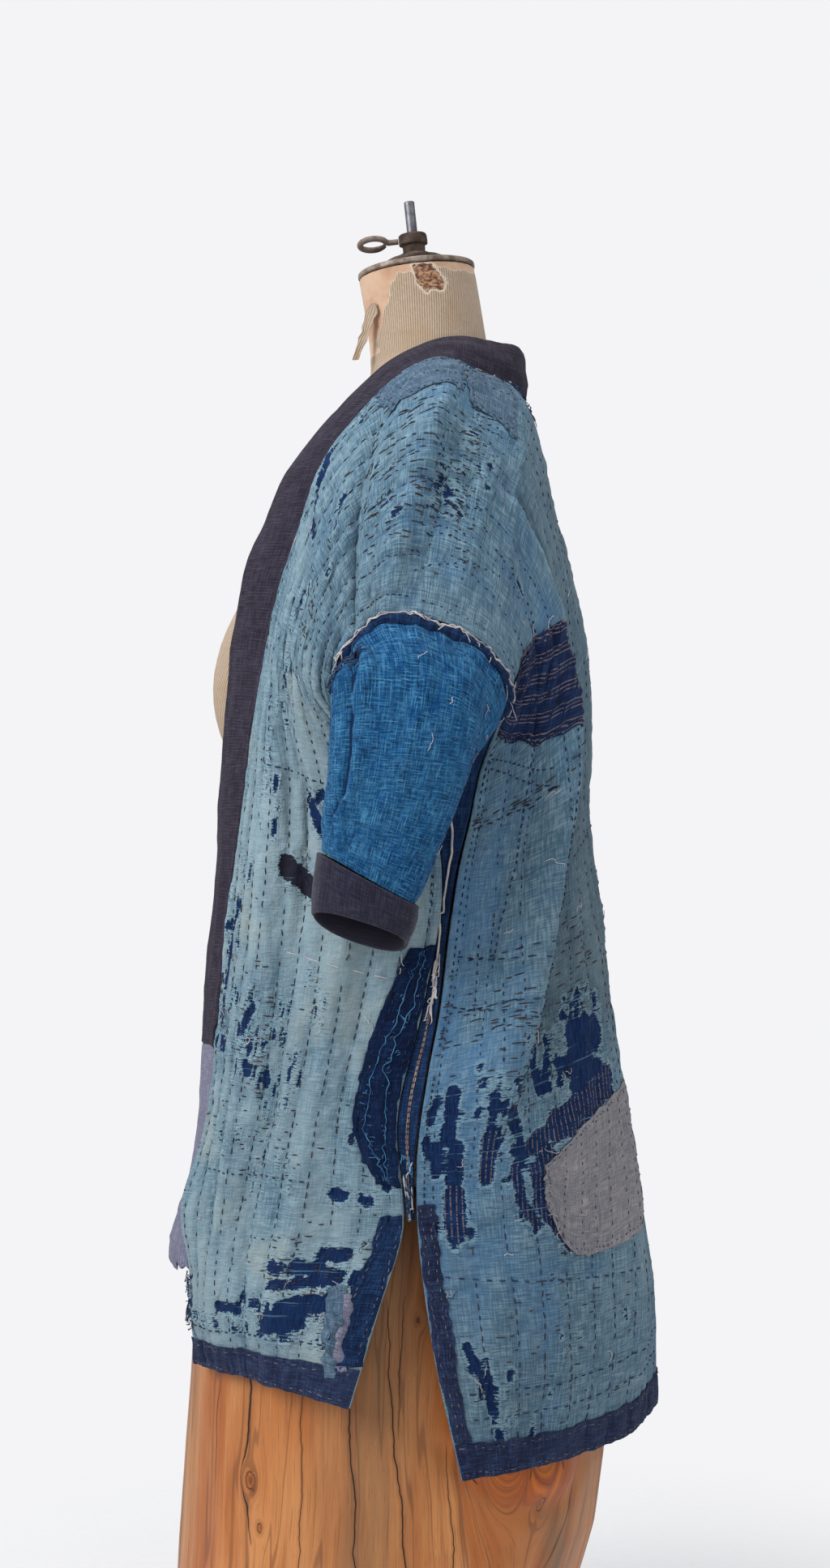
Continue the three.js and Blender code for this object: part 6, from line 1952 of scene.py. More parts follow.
    def sleeve(self) -> Surface:
        """The sleeve's middle layer, from its seat under the roll to the cuff."""
        places = np.linspace(0, self.LOOP_PARTS, self.ROUND)
        share = np.interp(places, np.arange(self.LOOP_PARTS + 1), self.share)
        rings = [self.ring(row, share) for row in SLEEVE_ROWS]
        p, ahead, way = (self.around(v, places) for v in (self.p, self.ahead, self.way))
        seat = p + unit(way) * ROLL_SEAT
        there = rings[0] - seat
        on = unit(there - ahead * (there * ahead).sum(axis=1, keepdims=True))
        sleeve = self.tube([seat + on * (ROLL_SEAT - 2.0), *rings], 121)
        _, v = sleeve.grids()
        x, y = sleeve.flat_x, sleeve.flat_y
        total = x.max()
        height = 0.9 * cloud(x, y, 24, 34, self.seed + 10) + 0.55 * cloud(x + 0.5 * y, y, 10, 20, self.seed + 11)
        height += 0.28 * cloud(x, y, 4.5, 6, self.seed + 12)
        past = x - total * (0.13 - 0.045 * v) - 3.5 * drift(y, 22, self.seed + 18) - 1.2 * drift(y, 7, self.seed + 19)
        height += (
            3.6 * np.exp(-(((past - 7) / 6.0) ** 2)) - 5.0 * np.exp(-((past / 3.4) ** 2))
        ) * smooth(v / 0.12) * smooth((1 - v) / 0.1)
        height += 1.6 * np.exp(-(((x - total * 0.3 + 12 * v) / 6.0) ** 2)) * smooth((1 - v) / 0.5)
        for k in range(self.SLEEVE_ROW_COUNT):
            row = self.sleeve_row(k, total, y)
            beat = 0.5 + 0.5 * np.cos(2 * math.pi * (y + 3.1 * k) / 8.0)
            height -= (0.3 + 0.5 * beat) * np.exp(-(((x - row) / 1.8) ** 2))
        bunched = np.exp(-((y / 16) ** 2))
        height += 1.4 * (1 - np.abs(cloud(x + 0.3 * y, y, 15, 40, self.seed + 29))) ** 4
        height += 1.1 * bunched * np.sin(
            x / 3.6 + 2 * cloud(x, y, 18, 30, self.seed + 13)
        ) * cloud(x, y * 0, 30, 9, self.seed + 14)
        sleeve.raise_by(np.maximum(height, -4.5) * smooth((1 - v) / 0.04))
        return sleeve

    def cuff(self) -> Surface:
        """The cuff's middle layer."""
        share = np.interp(np.linspace(0, self.LOOP_PARTS, self.ROUND), np.arange(self.LOOP_PARTS + 1), self.share)
        cuff = self.tube([self.ring(row, share) for row in CUFF_ROWS], 61, 0.008)
        x, y = cuff.flat_x, cuff.flat_y
        height = 0.9 * cloud(x, y, 26, 18, self.seed + 15) + 0.5 * cloud(x, y, 9, 10, self.seed + 16)
        height += 0.22 * cloud(x, y, 3.6, 3.6, self.seed + 17)
        height -= 0.8 * np.exp(-(((y - 4) / 1.3) ** 2)) * (0.5 + 0.5 * np.cos(2 * math.pi * x / 7))
        cuff.raise_by(height)
        return cuff

    def roll(self, finish: Material) -> Piece:
        """The raw cloth edges of the armhole seam, rolled outwards into a lumpy twisted ring.

        Each section is a circle whose radius carries a two-strand twist and lumps:
        r = 4.4 + 0.9 |cos(a + s / 9)| + lumps, with s the run along the loop in millimetres.
        """
        rows, cols = 620, 20
        t = np.linspace(0, self.LOOP_PARTS, rows, endpoint=False)
        centre = self.around(self.p, t) + unit(self.around(self.way, t)) * ROLL_SEAT
        ahead = unit(np.roll(centre, -1, axis=0) - np.roll(centre, 1, axis=0))
        way = unit(self.around(self.way, t))
        up = unit(np.cross(ahead, way))
        way = unit(np.cross(up, ahead))
        steps = np.linalg.norm(np.roll(centre, -1, axis=0) - centre, axis=1)
        gone = np.cumsum(steps) - steps[0]
        total = float(steps.sum())

        def place(angle: Array, run: Array, extra: Array | float) -> Array:
            """Places at an angle round the section and a run along the loop."""
            i = np.interp(run % total, gone, np.arange(rows))
            k = np.round(i).astype(int) % rows
            r = 4.4 + 0.9 * np.abs(np.cos(angle + run / 9.0)) + 0.8 * cloud(angle * 3, run, 3, 7, self.seed + 30)
            r = r + 1.3 * cloud(angle * 3, run, 2, 3, self.seed + 31)
            r = r + 1.5 * cloud(angle * 0, run, 9, 14, self.seed + 32)
            reach = way[k] * np.cos(angle)[..., None] + up[k] * np.sin(angle)[..., None]
            return centre[k] + reach * (r + extra)[..., None]

        angle, run = np.meshgrid(np.arange(cols) / cols * 2 * math.pi, gone)
        points = place(angle, run, 0.0)
        i, j = np.meshgrid(np.arange(rows), np.arange(cols), indexing="ij")
        a, b = i * cols + j, i * cols + (j + 1) % cols
        c, d = ((i + 1) % rows) * cols + (j + 1) % cols, ((i + 1) % rows) * cols + j
        faces = [joined(a, b, c, d).reshape(-1, 4)]
        flat = joined(angle * 5.0, run).reshape(-1, 2)
        values = {"inside": np.zeros(rows * cols)}
        made = mesh_object(
            f"{self.hand}_armhole_roll", points.reshape(-1, 3), faces, finish, flat, values, round_mm=math.pi * 10
        )
        settle(made, STAND, "frayed_selvedge", f"armhole_roll_{self.hand}")
        self.roll_length, self.roll_place = total, place
        return made

    def overcast(self, pale: ThreadWork, navy: ThreadWork) -> None:
        """The pale thread that whips over the roll and lies along its seam, and the frays in it."""
        rng = np.random.default_rng(self.seed + 40)
        total = self.roll_length
        run = np.arange(4.0, total * 0.66, 5.2)
        run = run + rng.normal(0, 0.9, len(run))
        centre = self.facing_angle()
        t = np.linspace(-1, 1, 9)
        keep = rng.uniform(0, 1, len(run)) < 0.3
        at = run[keep][:, None]
        angle = (
            centre
            + self.body_side() * 0.5
            + rng.uniform(0.3, 0.9, at.shape) * t[None, :]
            + rng.normal(0, 0.15, at.shape)
        )
        path = self.roll_place(
            angle, at + rng.uniform(-4, 4, at.shape) * t[None, :], 0.45 - 0.9 * np.abs(t[None, :]) ** 6 + angle * 0
        )
        out = unit(path - self.roll_place(angle, at + 0 * angle, -3.0 + angle * 0))
        pale.add(path, np.full(angle.shape, 0.5), out)
        along = np.arange(0.0, total * 0.62, 1.6)
        for strand in (0, 1):
            wave = (
                centre
                + math.pi * 0.36 * self.body_side()
                + 0.2 * np.sin(along / 3.4 + math.pi * strand)
                + 0.3 * drift(along, 11, self.seed + 41)
            )
            path = self.roll_place(wave, along, 1.0 + 0.5 * np.cos(along / 3.4 + math.pi * strand))
            pale.run(path, 0.62, np.broadcast_to([0.0, 0.0, 1.0], path.shape))
        at = rng.uniform(0, total, 150)
        k = 9
        s = np.linspace(0, 1, k)
        angle = rng.uniform(0, 2 * math.pi, (150, 1)) + rng.normal(0, 0.5, (150, 1)) * s
        reach = rng.uniform(2, 9, (150, 1))
        path = self.roll_place(angle, at[:, None] + rng.normal(0, 5, (150, 1)) * s, reach * s)
        path[..., 2] -= (reach * s * s) * 0.5
        out = np.broadcast_to([0.3, 0.2, 0.9], path.shape)
        navy.add(path[:110], np.full((110, k), 0.3), out[:110])
        pale.add(path[110:], np.full((40, k), 0.28), out[110:])

    def facing_angle(self) -> float:
        """The angle round the roll's section that looks away from the wearer at the shoulder."""
        angles = np.linspace(0, 2 * math.pi, 64, endpoint=False)
        run = np.full(64, self.roll_length * 0.25)
        places = self.roll_place(angles, run, angles * 0)
        return float(angles[np.argmax(places[:, 0] * self.side.value)])

    def body_side(self) -> float:
        """Which way round the section leads from there to the body strip's side of the roll."""
        c = self.facing_angle()
        run = np.array([self.roll_length * 0.25] * 2)
        places = self.roll_place(np.array([c + 1.2, c - 1.2]), run, np.zeros(2))
        return 1.0 if places[0, 2] > places[1, 2] else -1.0

    def make(self, sleeve_cloth: Material, cuff_cloth: Material, navy: Material, pitch: float) -> dict[str, Piece]:
        """The gusset, the sleeve and the cuff as walls of cloth, and the roll."""
        made = {}
        g = self.gusset
        across, along = g.spaced(2.0, 2.4, CLOTH / 2)
        made["gusset"] = cloth_wall(
            f"{self.hand}_side_gusset", g, navy, across, along, 0.0, CLOTH, inner=self.gusset_bare, inner_lift=0.0
        )
        settle(made["gusset"], STAND, "navy_cotton", f"gusset_{self.hand}")
        self.sleeve_cloth, self.cuff_cloth = self.sleeve(), self.cuff()
        for key, tube, thick, finish, slot in (
            ("sleeve", self.sleeve_cloth, SLEEVE_CLOTH, sleeve_cloth, "bright_indigo"),
            ("cuff", self.cuff_cloth, CUFF_CLOTH, cuff_cloth, "charcoal_cotton"),
        ):
            round_it, long = tube.size()
            count = round(round_it / pitch / 3) * 3
            across, along = np.arange(count) / count, lines(long, pitch, thick / 2)
            made[key] = cloth_wall(f"{self.hand}_{key}", tube, finish, across, along, thick / 2, thick)
            settle(made[key], STAND, slot, f"{key}_{self.hand}")
        made["roll"] = self.roll(navy)
        return made


# ---------------------------------------------------------------- the stand
class FormTorso:
    """The limbless dress form: stretched ribbed linen over a moulded shell, with a long neck."""

    def surface(self) -> Surface:
        """Level sections, each a superellipse, with the bust raised on the front."""
        rows = Curve(np.array([(r[1], r[2], r[3]) for r in FORM_ROWS], float))
        levels = Curve(np.array([(r[0], 0, 0) for r in FORM_ROWS], float))
        place = np.concatenate([np.linspace(0, 13, 74), np.linspace(13, len(FORM_ROWS) - 1, 87)[1:]])
        half, front, back = rows.at(place).T[:, :, None]
        z = levels.at(place)[:, :1]
        turn = np.linspace(-math.pi, math.pi, 193)[None, :]
        c, s = np.cos(turn), np.sin(turn)
        power = np.where(z > 1150, 1.0, 0.9)
        x = half * np.sign(c) * np.abs(c) ** power
        out = (back - front) / 2 * np.sign(s) * np.abs(s) ** power
        near = ((np.abs(x) - BUST["x"]) / BUST["wide"]) ** 2 + ((z - BUST["z"]) / BUST["tall"]) ** 2
        out = out - np.where((s < 0) & (z < 1120), BUST["height"] * np.exp(-near) * smooth(-s * 1.6), 0.0)
        lean = np.tan(np.radians(NECK_LEAN * smooth((z - 1170) / 100)))
        points = joined(x + 0 * s, (front + back) / 2 + out, z + out * lean)
        points[:, -1] = points[:, 0]
        form = Surface(points, 1.0, wraps=True)
        form.face(points - points.mean(axis=1, keepdims=True))
        radius = (half + (back - front) / 2) / 2
        form.flat_x = turn * radius
        a, zz = turn * 60.0 + 0 * z, z + 0 * turn
        ragged = 2.5 * cloud(a, zz, 14, 9, 500) + 1.2 * cloud(a, zz, 5, 4, 501)
        worn = (zz - 1269 + ragged) / 6
        bared = (np.interp(zz, [1214, 1243, 1272], [-1.0, -0.72, -0.3]) - turn) * 9 + ragged / 3
        bared = np.minimum(bared, (turn + 2.3) * 9 + ragged / 3)
        form.values = {"rubbed": np.clip(np.maximum(worn, np.where(zz > 1205, bared, -1.0)), 0, 1)}
        torn = (
            11.0
            - (np.abs((turn - 0.19) * 52 + 0.3 * (zz - 1266)) ** 3 + np.abs((zz - 1266) * 0.85) ** 3) ** (1 / 3)
            + 1.3 * ragged
        )
        form.values["torn"] = np.clip(torn, -HOLE_REACH, HOLE_REACH)
        form.raise_by(
            0.25 * cloud(a, zz, 9, 12, 502)
            + 0.3 * form.values["rubbed"] * cloud(a, zz, 3, 3, 503)
            - 0.25 * form.values["rubbed"]
            - 0.9 * smooth(form.values["torn"] / 2)
        )
        return form

    def scrap(self, finish: Material) -> None:
        """A torn tongue of the linen that hangs off the front of the neck."""
        s, t = np.meshgrid(np.linspace(-1, 1, 21), np.linspace(0, 1, 49))
        half = 6.8 * (1 - 0.45 * t) * (0.35 + 0.65 * smooth(t / 0.2)) * (
            1 + 0.22 * cloud(50 * t, np.sign(s) * 9, 5, 3, 560)
        )
        curl = 2.5 * t * s * s + 0.7 * cloud(s * 7, t * 50, 5, 9, 561)
        x = 33.5 - 7 * t - 0.5 * half * s + 0.6 * curl
        y = -13.5 - 13 * t**1.4 - 0.85 * half * s - curl
        z = 1247 - 47 * t - 1.5 * cloud(s * 7, t * 0, 3, 9, 562) * t
        tongue = Surface(joined(x, y, z), 1.0)
        tongue.values = {"rubbed": np.zeros(s.shape), "torn": np.full(s.shape, -HOLE_REACH)}
        wall = cloth_wall("linen_scrap", tongue, finish, *tongue.spaced(1.2, 1.4, 0.4), 0.4, 0.7)
        settle(wall, STAND, "ribbed_linen")
        tongue.metres()

    def make(self, finish: Material) -> Piece:
        """The form as one closed solid."""
        self.scrap(finish)
        form = self.surface()
        rows, cols = form.rows, form.cols - 1
        points = form.points[:, :-1].reshape(-1, 3)
        ends = np.stack([form.points[0, :-1].mean(axis=0), form.points[-1, :-1].mean(axis=0)])
        j = np.arange(cols)
        base = (rows - 1) * cols
        faces = [
            block(rows, cols, 0, wrap=True),
            joined(np.full(cols, rows * cols), (j + 1) % cols, j),
            joined(np.full(cols, rows * cols + 1), base + j, base + (j + 1) % cols),
        ]
        flat = joined(form.flat_x[:, :-1], form.flat_y[:, :-1]).reshape(-1, 2)
        flat = np.concatenate([flat, flat[:2]])
        rubbed = np.concatenate([form.values["rubbed"][:, :-1].ravel(), [0.0, 1.0]])
        torn = np.concatenate([form.values["torn"][:, :-1].ravel(), [-HOLE_REACH, -HOLE_REACH]])
        made = mesh_object(
            "dress_form", np.concatenate([points, ends]), faces, finish, flat, {"rubbed": rubbed, "torn": torn}
        )
        return settle(made, STAND, "ribbed_linen", "form_torso")


@dataclass(frozen=True)
class Crack:
    """A drying crack down the trunk: how far round from the wearer's left side and how high its top and
    its foot are, and half its greatest width, all in millimetres."""

    top: tuple[float, float]
    foot: tuple[float, float]
    width: float = 0.9


@dataclass(frozen=True)
class Knot:
    """A knot: how far round, its height, its own radius and how far it bends the grain."""

    around: float
    height: float
    radius: float
    bend: float = 10.0


CRACKS = (
    Crack((-112, 400), (-112, 262), 1.5), Crack((-112, 268), (-104, 205), 0.9), Crack((-24, 420), (-10, 150), 0.8),
    Crack((10, 420), (38, 90), 0.8),
    Crack((-60, 380), (-60, 150), 0.45), Crack((-150, 420), (-156, 240), 0.45), Crack((26, 420), (24, 300), 0.4),
    Crack((72, 300), (66, 120), 0.5),
    Crack((92, 276), (104, 262), 1.1), Crack((140, 300), (96, 272), 0.6), Crack((165, 330), (120, 150), 0.7),
    Crack((210, 470), (220, 90), 1.2), Crack((320, 400), (312, 60), 0.8), Crack((430, 480), (436, 150), 1.4),
    Crack((-250, 440), (-240, 40), 1.1),
    Crack((-380, 300), (-372, 30), 0.8), Crack((-460, 470), (-470, 240), 1.0),
)
KNOTS = (
    Knot(-118, 258, 4.6, 9), Knot(-106, 222, 2.6, 6), Knot(20, 397, 1.8, 6), Knot(124, 237, 3.6, 9),
    Knot(104, 296, 0.1, 46), Knot(-60, 110, 4, 9),
    Knot(260, 330, 7, 16), Knot(-300, 260, 6, 14), Knot(400, 180, 5, 11), Knot(-430, 400, 4, 9), Knot(60, 60, 4, 10),
    Knot(-170, 60, 5, 12),
)


class Stump:
    """The trunk section that the form stands on: lobed, rubbed smooth and oiled."""

    SPREAD = 172.0  # millimetres round the trunk for each radian

    def make(self, finish: Material) -> Piece:
        """The trunk with its knots and one burl, closed at both sawn ends. Its cracks are in its finish."""
        table = np.array(STUMP_ROWS, float)
        z = np.concatenate([[0, 3, 8], np.linspace(14, 484, 150), [488, 492, 495, 497, 498.5, 499.6, STUMP_HEIGHT]])
        half, depth, middle, lobe = (np.interp(z, table[:, 0], table[:, i])[:, None] for i in (1, 2, 3, 4))
        turn = np.linspace(-math.pi, math.pi, 361)[None, :-1]
        lobes = lobe * (np.cos(3 * turn + 0.6) + 0.6 * np.cos(5 * turn + 2.1)) * 0.6
        a, h = turn * self.SPREAD + 0 * z[:, None], z[:, None] + 0 * turn
        knot = np.full(a.shape, 20.0)
        grain = a.copy()
        relief = 1.1 * cloud(a, h, 26, 190, 540) + 0.35 * cloud(a, h, 7, 60, 541) + 2.2 * cloud(a, h, 90, 160, 542)
        for k in KNOTS:
            dx, dy = a - k.around, (h - k.height) * 0.6
            far = dx**2 + dy**2
            grain -= k.bend**2 * dx / (far + 0.12 * k.bend**2)
            relief += 0.09 * k.bend * np.exp(-far / (1.5 * k.bend) ** 2)
            knot = np.minimum(knot, np.sqrt(far) / k.radius if k.bend < 30 else 20.0)
        tilted = (h - 292) + 0.25 * (a - 104)
        bowl = np.hypot((a - 112) * 0.85, tilted * 1.1)
        burl = smooth((74 - bowl) / 26) * smooth((tilted + 60) / 12)
        relief += 5.0 * smooth((58 - bowl) / 30) - 3.0 * np.exp(-(((bowl - 62) / 10) ** 2)) * smooth(-tilted / 20)
        relief -= 0.8 * np.exp(-((knot / 1.0) ** 2))
        sides = smooth(z / 12.0)[:, None] * smooth((499 - z) / 10.0)[:, None]
        r = lobes + relief * sides
        points = joined((half + r) * np.cos(turn), middle + (depth + r) * np.sin(turn), h)
        rows, cols = points.shape[:2]
        heart = (
            0.5 * smooth(0.4 + 0.9 * cloud(a, h, 60, 300, 543))
            + 0.8 * np.exp(-(((a + 22) / 34) ** 2)) * smooth((h - 60) / 160)
        )
        heart += 0.7 * np.exp(-(((a - 128 + 0.5 * (h - 240)) / 16) ** 2)) * smooth((300 - h) / 40)
        shares = (0.93, 0.8, 0.6, 0.4, 0.2, 0.05)
        caps = []
        for row in (0, -1):
            centre = points[row].mean(axis=0)
            caps.append(np.concatenate([centre + (points[row] - centre) * s for s in shares] + [centre[None]]))
        j = np.arange(cols)
        faces = [block(rows, cols, 0, wrap=True)]
        all_points = [points.reshape(-1, 3)]
        flat = [joined(grain, h).reshape(-1, 2)]
        tables = [joined(burl, knot, heart).reshape(-1, 3)]
        start = rows * cols
        for cap, rim, rise in ((caps[0], j, -1.0), (caps[1], (rows - 1) * cols + j, 1.0)):
            ring = rim
            for n in range(len(shares)):
                inner = start + n * cols + j
                quads = joined(ring, np.roll(ring, -1), np.roll(inner, -1), inner)
                faces.append(quads if rise > 0 else quads[:, ::-1])
                ring = inner
            tip = np.full(cols, start + len(shares) * cols)
            last = joined(ring, np.roll(ring, -1), tip)
            faces.append(last if rise > 0 else last[:, ::-1])
            all_points.append(cap)
            centre = cap[-1]
            radius = np.linalg.norm(cap - centre, axis=1)
            angle = np.arctan2(cap[:, 1] - centre[1], cap[:, 0] - centre[0])
            flat.append(joined(radius, 90 * angle))
            tables.append(joined(0 * radius, np.full(len(cap), 20.0), 0.6 * np.exp(-radius / 40)))
            start += len(cap)
        values = np.concatenate(tables)
        named = {"burl": values[:, 0], "knot": values[:, 1], "heart": values[:, 2]}
        made = mesh_object(
            "trunk_stump", np.concatenate(all_points), faces, finish, np.concatenate(flat), named, crease=45,
            round_mm=2 * math.pi * self.SPREAD,
        )
        return settle(made, STAND, "polished_wood", "stump")


class NeckHardware:
    """The turned cap, lobed flange, clamp collar, rod and eye screw on top of the neck."""

    CAP = (
        (48.5, 0.4), (50.8, 0.9), (51.5, 1.8), (51.6, 3.2), (51.4, 4.7), (50.3, 5.5), (49.0, 5.8), (46.5, 5.9),
        (44.5, 6.5), (36, 7.4), (28, 8.2), (20, 8.8), (0.01, 8.9),
    )
    FLANGE = (
        (4.9, 9.2), (19.4, 9.2), (20.2, 9.6), (22.6, 10.8), (23.1, 12), (23, 14), (22.3, 14.9), (19.5, 16.2),
        (17, 17.4), (14, 18.2), (12.4, 18.9), (11.6, 19.1), (4.9, 19.1),
    )
    CLAMP = (
        (4.9, 19.4), (9.4, 19.4), (9.8, 19.9), (9.9, 25.3), (10.4, 26), (12.2, 26.8), (12.5, 27.6), (12.4, 34.6),
        (12.0, 35.5), (11.2, 36.1), (4.9, 36.2),
    )
    ROD = ((0.01, 9.1), (4.6, 9.1), (4.6, 64.2), (4.3, 64.8), (3.7, 65.1), (0.01, 65.1))
    SCREW_HEIGHT, SCREW_RADIUS, LOOP_LONG, LOOP_WIDE, LOOP_TILT = 31.0, 2.6, 11.5, 8.0, 24.0

    def placed(self, points: Array) -> Array:
        """Leans places 6 degrees forwards about X and sets them on the neck."""
        c, s = math.cos(math.radians(CLAMP_LEAN)), math.sin(math.radians(CLAMP_LEAN))
        x, y, z = points[..., 0], points[..., 1], points[..., 2]
        return joined(x, y * c - z * s, y * s + z * c) + np.array(NECK_TOP)

    def turned(
        self, name: str, profile: Sequence[tuple[float, float]], finish: Material, slot: str, node: str, hollow: bool,
        lobes: float = 0.0, lumps: float = 0.15,
    ) -> Piece:
        """A lathe-turned part from its profile of radius and height; beyond 15 mm it may swell in four lobes."""
        outline = np.array(profile, float)
        parts = []
        for a, b in zip(outline[:-1], outline[1:]):
            n = max(1, int(np.linalg.norm(b - a) / 1.2))
            parts.append(a + (b - a) * (np.arange(n) / n)[:, None])
        outline = np.concatenate([*parts, outline[-1:]])
        sides = 120
        turn = np.arange(sides) / sides * 2 * math.pi
        r, z = outline[:, :1] + 0 * turn, outline[:, 1:] + 0 * turn
        r = r + np.where(r > 15, lobes * np.cos(4 * turn), 0.0)
        uneven = lumps * cloud(turn * 20 + 0 * r, z * 3, 7, 7, len(outline)) * smooth((r - 6) / 4)
        r = r + uneven
        points = joined(r * np.cos(turn), r * np.sin(turn), z)
        rows = len(outline)
        faces = [block(rows, sides, 0, wrap=True)]
        if hollow:
            j = np.arange(sides)
            faces.append(joined((rows - 1) * sides + j, (rows - 1) * sides + (j + 1) % sides, (j + 1) % sides, j))
        else:
            faces.append(np.arange(sides)[None, ::-1])
            faces.append((rows - 1) * sides + np.arange(sides)[None])
        made = mesh_object(name, self.placed(points).reshape(-1, 3), faces, finish, crease=32)
        return settle(made, STAND, slot, node)

    def screw(self, finish: Material) -> Piece:
        """The eye screw: a straight shank bent round into an oval finger loop."""
        turn = np.radians(np.linspace(14, 332, 74))
        side = self.LOOP_WIDE * np.sin(turn)
        tilt = math.radians(self.LOOP_TILT)
        loop = joined(
            side * math.cos(tilt),
            -24 - self.LOOP_LONG * (1 - np.cos(turn)),
            self.SCREW_HEIGHT + side * math.sin(tilt),
        )
        y = np.linspace(-13, -22, 14)
        shank = joined(0 * y, y, 0 * y + self.SCREW_HEIGHT)
        path = np.concatenate([shank[:1] + [0, 0.02, 0], shank, loop, loop[-1:] + (loop[-1:] - loop[-2:-1]) * 0.01])
        radius = np.full(len(path), self.SCREW_RADIUS)
        radius[1:12:2] -= 0.25
        radius[-12:-1] = np.linspace(self.SCREW_RADIUS, 1.9, 11)
        up = np.broadcast_to([0.0, 0.0, 1.0], path.shape)
        points, faces = tubes(path[None], radius[None], up[None], 24)
        made = mesh_object("eye_screw", self.placed(points), faces, finish, crease=40)
        return settle(made, SCREW_BODY, "cast_iron", "clamp_screw")

    def boss(self, finish: Material) -> Piece:
        """The threaded boss on the clamp collar that the screw passes into, with a narrow lip."""
        y = np.array([-10.0, -10.01, -11.9, -12.2, -12.6, -12.61])
        path = joined(0 * y, y, 0 * y + self.SCREW_HEIGHT)
        radius = np.array([0, 4.9, 4.9, 4.5, 4.1, 0])
        points, faces = tubes(path[None], radius[None], np.broadcast_to([0.0, 0, 1], (1, 6, 3)), 32)
        made = mesh_object("clamp_boss", self.placed(points), faces, finish, crease=32)
        return settle(made, STAND, "cast_iron")

    def make(self, pewter: Material, iron: Material, steel: Material, worn: Material) -> None:
        """All the neck hardware."""
        self.turned("turned_neck_cap", self.CAP, pewter, "pewter_cap", "neck_cap", False, lumps=0.12)
        self.turned("lobed_flange", self.FLANGE, iron, "cast_iron", "neck_flange", True, 2.4, 0.35)
        self.turned("rod_clamp", self.CLAMP, iron, "cast_iron", "clamp_collar", True, 0.0, 0.3)
        self.turned("steel_rod", self.ROD, steel, "steel_rod", "rod", False, lumps=0.0)
        self.boss(iron)
        self.screw(worn)


# ---------------------------------------------------------------- studio
@dataclass(frozen=True)
class Studio:
    """Pale studio: a soft light in front, weaker ones behind and above, and a floor that fades away."""

    camera_place: tuple[float, float, float] = (2.0, 0.023, 0.83)
    lens_mm: float = 52.09
    backdrop: str = "#f4f4f6"

    def light(
        self, name: str, place: tuple[float, float, float], aim: tuple[float, float, float], size: float, power: float
    ) -> None:
        """A square area light that the camera doesn't see."""
        lamp = bpy.data.lights.new(name, "AREA")
        lamp.size, lamp.energy = size, power
        made = bpy.data.objects.new(name, lamp)
        made.location = place
        way = unit(np.array(aim, float) - np.array(place, float))
        made.rotation_euler = (math.acos(float(-way[2])), 0.0, math.atan2(float(-way[0]), float(way[1])))
        made.visible_camera = False
        bpy.context.scene.collection.objects.link(made)

    def floor(self) -> None:
        """A pale floor that fades out before its edge."""
        mesh = bpy.data.meshes.new("floor")
        mesh.from_pydata([(-1.2, -1.2, 0), (1.2, -1.2, 0), (1.2, 1.2, 0), (-1.2, 1.2, 0)], [], [(0, 1, 2, 3)])
        floor = bpy.data.objects.new("floor", mesh)
        bpy.context.scene.collection.objects.link(floor)
        r = Recipe("pale floor", 0.6)
        x, y, _ = r.split(r.place())
        far = r.math("SQRT", r.plus(r.times(x, x), r.times(y, y)))
        dust = r.noise(r.place(), 90.0, 3.0)
        r.finish(r.mix(dust, "#f3f3f5", "#fbfbfc"), dust, 0.1, 0.3)
        clear = r.node("ShaderNodeBsdfTransparent")
        blend = r.node("ShaderNodeMixShader")
        r.feed(blend.inputs[0], r.step(far, 0.24, 0.95))
        r.tree.links.new(r.shader.outputs[0], blend.inputs[1])
        r.tree.links.new(clear.outputs[0], blend.inputs[2])
        out = next(n for n in r.tree.nodes if n.bl_idname == "ShaderNodeOutputMaterial")
        r.tree.links.new(blend.outputs[0], out.inputs["Surface"])
        mesh.materials.append(r.material)

    def world(self) -> None:
        """An even backdrop that lights the object at about half its own brightness."""
        world = bpy.data.worlds.new("studio")
        world.use_nodes = True
        tree = world.node_tree
        tree.nodes.clear()
        seen = tree.nodes.new("ShaderNodeLightPath")
        mix = tree.nodes.new("ShaderNodeMix")
        mix.data_type = "RGBA"
        tree.links.new(seen.outputs["Is Camera Ray"], mix.inputs[0])
        mix.inputs[6].default_value = (0.5, 0.51, 0.53, 1)
        mix.inputs[7].default_value = ink(self.backdrop)
        back = tree.nodes.new("ShaderNodeBackground")
        out = tree.nodes.new("ShaderNodeOutputWorld")
        tree.links.new(mix.outputs[2], back.inputs["Color"])
        tree.links.new(back.outputs[0], out.inputs["Surface"])
        bpy.context.scene.world = world

    def make(self) -> None:
        """Camera, lights, floor and backdrop."""
        scene = bpy.context.scene
        scene.view_settings.view_transform = "Standard"
        camera = bpy.data.cameras.new("camera")
        camera.lens, camera.sensor_width = self.lens_mm, 36.0
        seen = bpy.data.objects.new("camera", camera)
        seen.location = self.camera_place
        seen.rotation_euler = (math.radians(90), 0.0, math.radians(90))
        scene.collection.objects.link(seen)
        scene.camera = seen
        aim = (0.0, 0.0, 0.8)
        self.light("front light", (1.5, -2.1, 2.1), aim, 1.5, 62.0)
        self.light("back fill", (1.7, 2.2, 1.5), aim, 1.8, 14.0)
        self.light("top light", (0.2, 0.0, 3.1), aim, 1.6, 22.0)
        self.floor()
        self.world()


